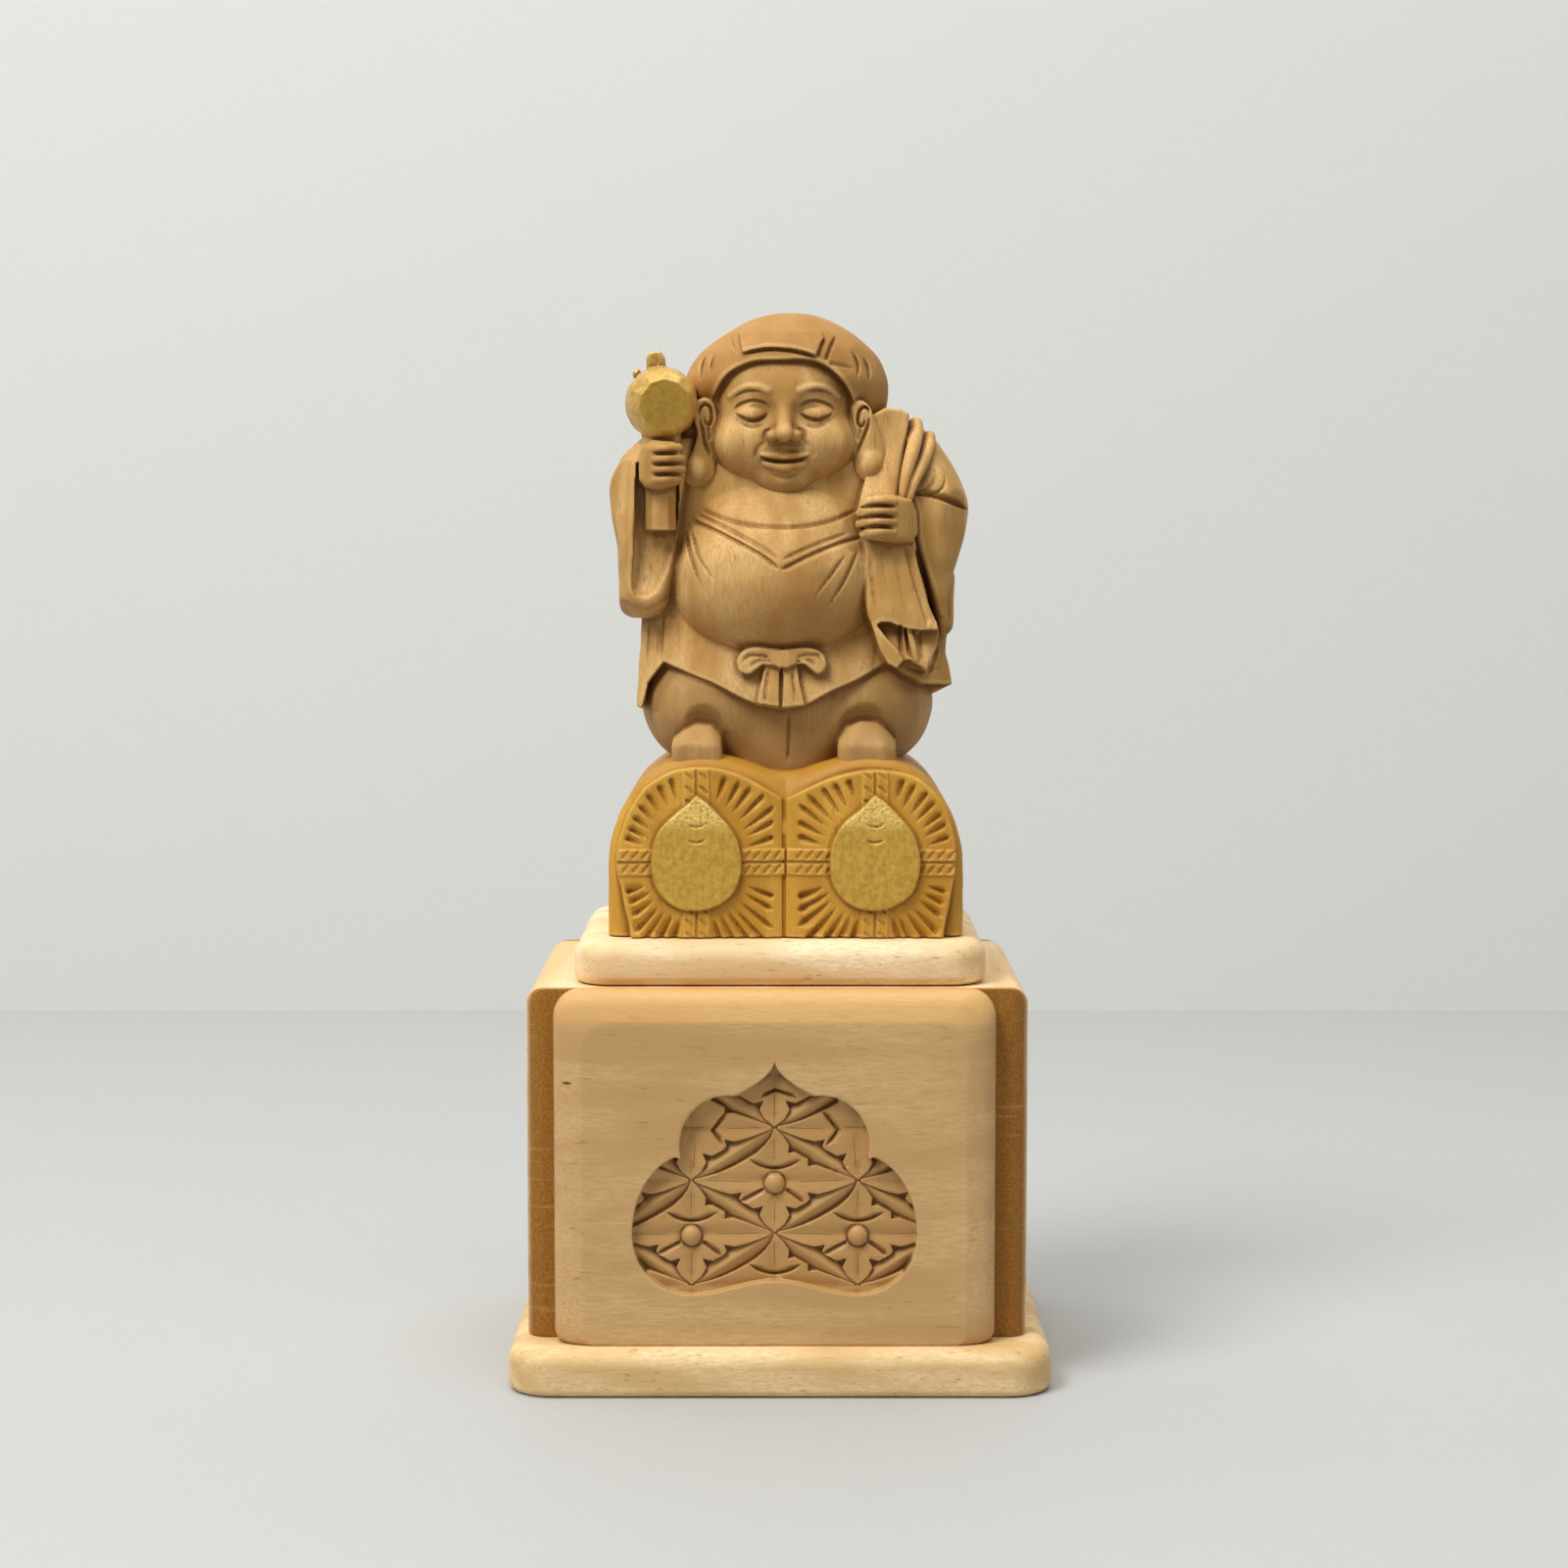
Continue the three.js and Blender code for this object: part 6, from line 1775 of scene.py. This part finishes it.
def new_group(name, inputs, outputs):
    """An empty shader node group with named sockets: its tree, and its two end nodes."""
    tree = bpy.data.node_groups.new(name, "ShaderNodeTree")
    for label, kind, start in inputs:
        socket = tree.interface.new_socket(label, in_out="INPUT", socket_type=kind)
        if start is not None:
            socket.default_value = start
    for label, kind in outputs:
        tree.interface.new_socket(label, in_out="OUTPUT", socket_type=kind)
    return tree, put(tree, "NodeGroupInput"), put(tree, "NodeGroupOutput")


NUMBER, VECTOR = "NodeSocketFloat", "NodeSocketVector"

# %% Grain
grain_group, given, result = new_group(
    "wood grain",
    [("Place", VECTOR, None), ("Fibre width", NUMBER, 0.4), ("Drawn out", NUMBER, 12.0)],
    [("Fibres", NUMBER), ("Bands", NUMBER), ("Flecks", NUMBER), ("Height", NUMBER)],
)
drawn = maths(grain_group, "DIVIDE", 1.0, given.outputs["Drawn out"])
squeeze = put(grain_group, "ShaderNodeCombineXYZ", {"X": drawn, "Y": 1.0, "Z": 1.0}).outputs[0]
along = put(
    grain_group, "ShaderNodeVectorMath", {0: given.outputs["Place"], 1: squeeze},
    operation="MULTIPLY",
).outputs[0]
fineness = maths(grain_group, "DIVIDE", 1.0, given.outputs["Fibre width"])
fibres = noise(grain_group, along, fineness, 4.0, 0.65)
bands = noise(grain_group, along, 0.16, 2.0, 0.5)
flecks = noise(grain_group, along, 1.35, 2.0, 0.6)
grain_group.links.new(step_up(grain_group, fibres, 0.32, 0.68), result.inputs["Fibres"])
grain_group.links.new(step_up(grain_group, bands, 0.35, 0.65), result.inputs["Bands"])
grain_group.links.new(step_up(grain_group, flecks, 0.62, 0.76), result.inputs["Flecks"])
low_spots = maths(grain_group, "MULTIPLY", flecks, 0.3)
grain_group.links.new(maths(grain_group, "SUBTRACT", fibres, low_spots), result.inputs["Height"])

# %% Age in the carving
age_and_light_group, given, result = new_group(
    "age in the carving",
    [
        ("Place", VECTOR, None), ("Hollow", NUMBER, 0.0), ("Valley", NUMBER, 0.0),
        ("Edge", NUMBER, 0.0), ("Dirt reach", NUMBER, 1.0),
    ],
    [("Dirt", NUMBER), ("Rubbed", NUMBER)],
)
# Hollows take dirt and painted shade, and edges take wear and a painted highlight.
patches = noise(age_and_light_group, given.outputs["Place"], 0.45, 3.0, 0.6)
crease = step_up(age_and_light_group, given.outputs["Hollow"], 0.04, 0.42)
valley = step_up(age_and_light_group, given.outputs["Valley"], 0.08, 0.75)
crease = maths(age_and_light_group, "MULTIPLY", crease, 0.75)
both_hollows = maths(age_and_light_group, "MULTIPLY_ADD", valley, 0.55, crease)
uneven = maths(age_and_light_group, "MULTIPLY_ADD", patches, 0.5, 0.75)
dirt_and_shade = maths(age_and_light_group, "MULTIPLY", both_hollows, uneven)
dirt_and_shade = maths(age_and_light_group, "MULTIPLY", dirt_and_shade, given.outputs["Dirt reach"], clamp=True)
age_and_light_group.links.new(dirt_and_shade, result.inputs["Dirt"])
wear_and_highlight = step_up(age_and_light_group, given.outputs["Edge"], 0.10, 0.5)
wear_and_highlight = maths(age_and_light_group, "MULTIPLY", wear_and_highlight, uneven, clamp=True)
age_and_light_group.links.new(wear_and_highlight, result.inputs["Rubbed"])
print(len(bpy.data.node_groups), "node groups")

# %% [markdown]
# ## The woods
# The figure's wood is a fine tan wood whose fibres stand upright. The boards are paler, with their
# grain lying across, and the block shows end grain in front and long grain on top. One function
# makes them all from a short list of tones; what differs is the direction of the grain and what
# each one adds to it.

# %% A wood
def new_material(name):
    """A material with an empty Principled shader, and the piece's place in millimetres."""
    material = bpy.data.materials.new(name)
    material.use_nodes = True
    tree = material.node_tree
    shader = tree.nodes["Principled BSDF"]
    local = put(tree, "ShaderNodeTexCoord").outputs["Object"]
    place = put(
        tree, "ShaderNodeVectorMath", {0: local, 1: (1000.0, 1000.0, 1000.0)},
        operation="MULTIPLY",
    ).outputs[0]
    return material, tree, shader, place


def from_piece(tree, name):
    """A number painted on the piece's points."""
    return put(tree, "ShaderNodeAttribute", attribute_name=name).outputs["Fac"]


def grain_nodes(tree, place, turn, fibre_width, drawn_out):
    """The grain group on coordinates turned so that the fibres lie along their first axis."""
    turned = put(
        tree, "ShaderNodeMapping", {"Vector": place, "Rotation": tuple(map(math.radians, turn))}
    ).outputs[0]
    group = put(tree, "ShaderNodeGroup", node_tree=grain_group)
    tree.links.new(turned, group.inputs["Place"])
    group.inputs["Fibre width"].default_value = fibre_width
    group.inputs["Drawn out"].default_value = drawn_out
    return group.outputs


def age_and_light_nodes(tree, place, reach=1.0):
    """Dirt and painted shade in hollows, wear and a painted highlight on edges, from a piece's
    attributes.
    """
    group = put(tree, "ShaderNodeGroup", node_tree=age_and_light_group)
    tree.links.new(place, group.inputs["Place"])
    for label, name in (("Hollow", "hollow"), ("Valley", "valley"), ("Edge", "edge")):
        tree.links.new(from_piece(tree, name), group.inputs[label])
    group.inputs["Dirt reach"].default_value = reach
    return group.outputs


def tint(tree, base, share, strength, *tone):
    """Lays a colour over the base, as strongly as a share times a strength."""
    return blend(tree, maths(tree, "MULTIPLY", share, strength), base, colour(*tone))


def wood_colour(tree, grain, light, dark, fleck, fibre_share=0.35, fleck_share=0.5):
    """Light and dark wood by the bands, darkened a little by fibres and more by flecks."""
    light, dark, fleck = colour(*light), colour(*dark), colour(*fleck)
    tone = blend(tree, grain["Bands"], light, dark)
    tone = blend(tree, maths(tree, "MULTIPLY", grain["Fibres"], fibre_share), tone, dark)
    return blend(tree, maths(tree, "MULTIPLY", grain["Flecks"], fleck_share), tone, fleck)


def knife_facets(tree, place, size):
    """Shallow hollows about `size` millimetres wide, side by side, as a gouge leaves them."""
    cell = put(
        tree, "ShaderNodeTexVoronoi", {"Vector": place, "Scale": 1 / size}, feature="F1"
    ).outputs["Distance"]
    return maths(tree, "MULTIPLY", cell, cell)


def finish(tree, shader, base, height, depth, rough, rough_low, rough_high):
    """Colour, a bump of so many millimetres, and roughness between two values."""
    tree.links.new(base, shader.inputs["Base Color"])
    bump = put(tree, "ShaderNodeBump", {"Strength": 1.0, "Distance": depth * MM, "Height": height})
    tree.links.new(bump.outputs["Normal"], shader.inputs["Normal"])
    span_of_rough = {"Value": rough, "To Min": rough_low, "To Max": rough_high}
    even = put(tree, "ShaderNodeMapRange", span_of_rough).outputs["Result"]
    tree.links.new(even, shader.inputs["Roughness"])


# %% Figure wood
figure_wood, tree, shader, place = new_material("figure wood")
grain = grain_nodes(tree, place, (0, 90, 0), 0.36, 13.0)
age = age_and_light_nodes(tree, place, 1.0)
base = wood_colour(tree, grain, (222, 181, 118), (182, 138, 74), (142, 96, 44), 0.6, 0.6)
warm = step_up(tree, noise(tree, place, 0.09, 2.0), 0.45, 0.68)
base = tint(tree, base, warm, 0.30, 186, 130, 60)
base = tint(tree, base, from_piece(tree, "handled"), 0.6, 164, 112, 54)
# Painted shade on the undersides.
base = tint(tree, base, from_piece(tree, "under"), 0.5, 144, 98, 44)
base = tint(tree, base, from_piece(tree, "cap"), 0.72, 162, 114, 52)
base = tint(tree, base, from_piece(tree, "trousers"), 0.55, 162, 126, 78)
# Painted highlight with wear on the edges, then painted shade with dirt in the hollows.
base = tint(tree, base, age["Rubbed"], 0.4, 218, 180, 118)
base = tint(tree, base, age["Dirt"], 0.66, 114, 70, 24)
FACET_SHARE = 3.4
height = maths(tree, "MULTIPLY_ADD", knife_facets(tree, place, 5.0), FACET_SHARE, grain["Height"])
finish(tree, shader, base, height, 0.06, grain["Fibres"], 0.52, 0.70)
shader.inputs["Specular IOR Level"].default_value = 0.26
for name in ("carved_head", "carved_body"):
    carved[name].data.materials.append(figure_wood)
print(len(tree.nodes), "nodes")

# %% Straw stain and gilding of the bales
straw_stain, tree, shader, place = new_material("straw stain")
grain = grain_nodes(tree, place, (0, 90, 0), 0.4, 9.0)
age = age_and_light_nodes(tree, place, 1.0)
base = wood_colour(tree, grain, (216, 164, 64), (192, 138, 44), (158, 106, 28), 0.5, 0.4)
base = tint(tree, base, from_piece(tree, "saddle"), 0.6, 168, 118, 38)
# Painted highlight with wear on the straw's edges, and painted shade with dirt in the straw cuts.
base = tint(tree, base, age["Rubbed"], 0.5, 222, 176, 90)
base = tint(tree, base, age["Dirt"], 0.74, 134, 82, 12)
leaf = from_piece(tree, "gilding")
mottle = step_up(tree, noise(tree, place, 0.9, 4.0, 0.7), 0.38, 0.64)
streak = step_up(tree, grain["Fibres"], 0.2, 0.9)
gold = blend(tree, mottle, colour(222, 180, 84), colour(200, 154, 58))
gold = tint(tree, gold, streak, 0.3, 180, 144, 60)
# Painted shade with dirt in the gilding's hollows.
gold = tint(tree, gold, age["Dirt"], 0.7, 120, 84, 26)
tip = from_piece(tree, "wrinkled")
wrinkles = noise(tree, place, 2.2, 3.0, 0.7)
# Painted glints: bright spots on the wrinkled tip of each jewel, as if it catches the light.
tip_glints = maths(tree, "MULTIPLY", tip, step_up(tree, wrinkles, 0.36, 0.58))
gold = tint(tree, gold, tip_glints, 0.85, 250, 222, 134)
base = blend(tree, leaf, base, gold)
height = maths(tree, "MULTIPLY_ADD", maths(tree, "MULTIPLY", wrinkles, tip), 6.0, grain["Height"])
finish(tree, shader, base, height, 0.06, grain["Fibres"], 0.46, 0.62)
shader.inputs["Specular IOR Level"].default_value = 0.3
tree.links.new(maths(tree, "MULTIPLY", leaf, 0.45), shader.inputs["Metallic"])
carved["rice_bales"].data.materials.append(straw_stain)
print(len(tree.nodes), "nodes")

# %% Gold paint of the mallet
gold_paint, tree, shader, place = new_material("gold paint")
grain = grain_nodes(tree, place, (0, 90, 0), 0.5, 5.0)
age = age_and_light_nodes(tree, place, 1.0)
mottle = step_up(tree, noise(tree, place, 0.8, 4.0, 0.7), 0.35, 0.7)
base = blend(tree, mottle, colour(214, 178, 98), colour(194, 152, 66))
base = tint(tree, base, grain["Fibres"], 0.3, 176, 134, 56)
# Painted shade: the front end face, turned away from the light, is a darker olive gold.
shaded_end_gold = blend(tree, mottle, colour(188, 148, 60), colour(164, 126, 44))
base = blend(tree, from_piece(tree, "end_face"), base, shaded_end_gold)
# Painted highlight with wear on the edges, and painted shade with dirt in the hollows.
base = tint(tree, base, age["Rubbed"], 0.4, 234, 206, 134)
base = tint(tree, base, age["Dirt"], 0.8, 128, 82, 28)
finish(tree, shader, base, mottle, 0.05, mottle, 0.34, 0.5)
shader.inputs["Metallic"].default_value = 0.4
carved["gilded_mallet"].data.materials.append(gold_paint)
print(len(tree.nodes), "nodes")

# %% Pale boards
BOARD_TONES = {
    "plinth": ("top_plinth", (254, 234, 194), (230, 196, 142), (182, 138, 86)),
    "base": ("base_plate", (246, 217, 166), (214, 177, 119), (164, 118, 66)),
}
for name, (node, light, dark, fleck) in BOARD_TONES.items():
    pale_board, tree, shader, place = new_material("pale board " + name)
    grain = grain_nodes(tree, place, (0, 0, 0), 0.42, 4.0)
    base = wood_colour(tree, grain, light, dark, fleck, 0.7, 0.75)
    finish(tree, shader, base, grain["Height"], 0.06, grain["Fibres"], 0.5, 0.66)
    boards[node].data.materials.append(pale_board)

# %% Panel
panel_wood, tree, shader, place = new_material("panel wood")
grain = grain_nodes(tree, place, (0, 0, 0), 0.38, 7.0)
base = wood_colour(tree, grain, (214, 177, 122), (194, 153, 98), (158, 114, 64), 0.8, 0.55)
upright = put(tree, "ShaderNodeSeparateXYZ", {0: place}).outputs["Z"]
top_band = step_up(tree, upright, PANEL_HIGH[2] - 6.5, PANEL_HIGH[2] - 4.5)
base = tint(tree, base, top_band, 0.5, 222, 170, 96)
FLECK_SCALE = np.array([0.8, 0, 2.4])
FLECK_PLACE = np.array([-36.2, 0, 53.5])
settings = {0: place, 1: tuple(FLECK_SCALE), 2: tuple(-FLECK_PLACE * FLECK_SCALE)}
from_fleck = put(tree, "ShaderNodeVectorMath", settings, operation="MULTIPLY_ADD").outputs[0]
dark_fleck = put(
    tree, "ShaderNodeTexGradient", {0: from_fleck}, gradient_type="SPHERICAL"
).outputs["Fac"]
base = blend(tree, step_up(tree, dark_fleck, 0.1, 0.6), base, colour(112, 66, 32))
# Stain with painted shade: the window's recess is darkened all over.
base = tint(tree, base, from_piece(tree, "carved"), 0.68, 186, 138, 74)
# Painted shade with dirt: the creases of the lattice are darkened.
base = tint(tree, base, from_piece(tree, "hollow"), 0.85, 106, 64, 20)
finish(tree, shader, base, grain["Height"], 0.05, grain["Fibres"], 0.46, 0.6)
front_panel.data.materials.append(panel_wood)
print(len(tree.nodes), "nodes")

# %% Block
block_wood, tree, shader, place = new_material("block wood")
grain = grain_nodes(tree, place, (0, 0, 90), 0.4, 14.0)
long_tone = wood_colour(tree, grain, (240, 212, 168), (222, 184, 130), (176, 126, 72))
inward = put(tree, "ShaderNodeSeparateXYZ", {0: place}).outputs["Y"]
block_middle = (BLOCK_LOW[1] + BLOCK_HIGH[1]) / 2
half_depth = (BLOCK_HIGH[1] - BLOCK_LOW[1]) / 2
from_middle = maths(tree, "ABSOLUTE", maths(tree, "SUBTRACT", inward, block_middle))
end = step_up(tree, from_middle, half_depth - 2.8, half_depth - 0.9)
pores = noise(tree, place, 3.2, 2.0, 0.8)
end_tone = blend(tree, step_up(tree, pores, 0.35, 0.65), colour(168, 116, 42), colour(136, 86, 22))
squash = put(tree, "ShaderNodeMapping", {"Vector": place, "Scale": (0.05, 0.1, 1.3)}).outputs[0]
rays = step_up(tree, noise(tree, squash, 0.6, 3.0, 0.6), 0.60, 0.72)
end_tone = tint(tree, end_tone, rays, 0.5, 208, 160, 96)
base = blend(tree, end, long_tone, end_tone)
finish(tree, shader, base, pores, 0.05, pores, 0.5, 0.64)
shader.inputs["Specular IOR Level"].default_value = 0.3
stand_block.data.materials.append(block_wood)
print(len(tree.nodes), "nodes")

# %% [markdown]
# ## Camera, floor and light
# The photograph looks at the piece from a little above its middle, 0.56 m in front of it, with a
# long lens. The floor is a pale plain surface that meets a plain pale backdrop far behind. The
# light is a large soft window-like area from the upper left, a weaker one from the right, and a
# soft one from above.

# %% Camera
CAMERA = {"place": (0.0007, -0.5612, 0.1487), "down": 4.8, "sensor": 36, "lens": 72}
camera_data = bpy.data.cameras.new("camera")
camera_data.sensor_width = CAMERA["sensor"]
camera_data.lens = CAMERA["lens"]
camera = bpy.data.objects.new("camera", camera_data)
camera.location = CAMERA["place"]
camera.rotation_euler = (math.pi / 2 - math.radians(CAMERA["down"]), 0, 0)
bpy.context.collection.objects.link(camera)
bpy.context.scene.camera = camera
print("lens", CAMERA["lens"], "mm")

# %% Floor and backdrop
STAGE = {"half": 1.6, "wall": 0.385}


def stage_sheet(name, corners, color, roughness):
    """A flat four-cornered sheet of one plain colour that isn't part of the object."""
    mesh = bpy.data.meshes.new(name)
    mesh.from_pydata(corners, [], [(0, 1, 2, 3)])
    sheet = bpy.data.objects.new(name, mesh)
    bpy.context.collection.objects.link(sheet)
    material = bpy.data.materials.new(name)
    material.use_nodes = True
    shader = material.node_tree.nodes["Principled BSDF"]
    shader.inputs["Base Color"].default_value = color
    shader.inputs["Roughness"].default_value = roughness
    mesh.materials.append(material)
    return material


def clear_from_behind(material):
    """Lets a camera behind the sheet look through it: the sheet shows on its front side only."""
    tree = material.node_tree
    back = put(tree, "ShaderNodeNewGeometry").outputs["Backfacing"]
    front = maths(tree, "SUBTRACT", 1.0, back)
    tree.links.new(front, tree.nodes["Principled BSDF"].inputs["Alpha"])


half, wall = STAGE["half"], STAGE["wall"]
floor = [(-half, -half, 0), (half, -half, 0), (half, wall, 0), (-half, wall, 0)]
stage_sheet("floor", floor, (0.45, 0.455, 0.445, 1), 0.6)
backdrop = [(-half, wall, 0), (half, wall, 0), (half, wall, half), (-half, wall, half)]
clear_from_behind(stage_sheet("backdrop", backdrop, (0.71, 0.715, 0.695, 1), 0.9))


# %% Lights
def soft_light(name, place, target, size, power, color=(1, 1, 1)):
    """A square area light at a place, turned to face a target."""
    data = bpy.data.lights.new(name, "AREA")
    data.size = size
    data.energy = power
    data.color = color
    light = bpy.data.objects.new(name, data)
    light.location = place
    way = np.subtract(target, place)
    flat = math.hypot(way[0], way[1])
    light.rotation_euler = (math.atan2(flat, -way[2]), 0, math.atan2(way[1], way[0]) - math.pi / 2)
    bpy.context.collection.objects.link(light)


soft_light("window", (-0.62, -0.62, 1.2), (0, 0, 0.1), 0.55, 15.8, (1.0, 0.985, 0.96))
soft_light("room", (0.9, -0.8, 0.8), (0, 0, 0.1), 1.2, 2.4, (1.0, 0.99, 0.97))
soft_light("ceiling", (0.0, -0.1, 1.5), (0, 0.0, 0), 1.2, 16)
world = bpy.data.worlds.new("studio")
world.use_nodes = True
sky = world.node_tree.nodes["Background"]
sky.inputs["Color"].default_value = (0.9, 0.92, 0.95, 1)
sky.inputs["Strength"].default_value = 0.15
bpy.context.scene.world = world
print(len(bpy.data.lights), "area lights and a faint sky")
bpy.context.scene.view_settings.view_transform = "Standard"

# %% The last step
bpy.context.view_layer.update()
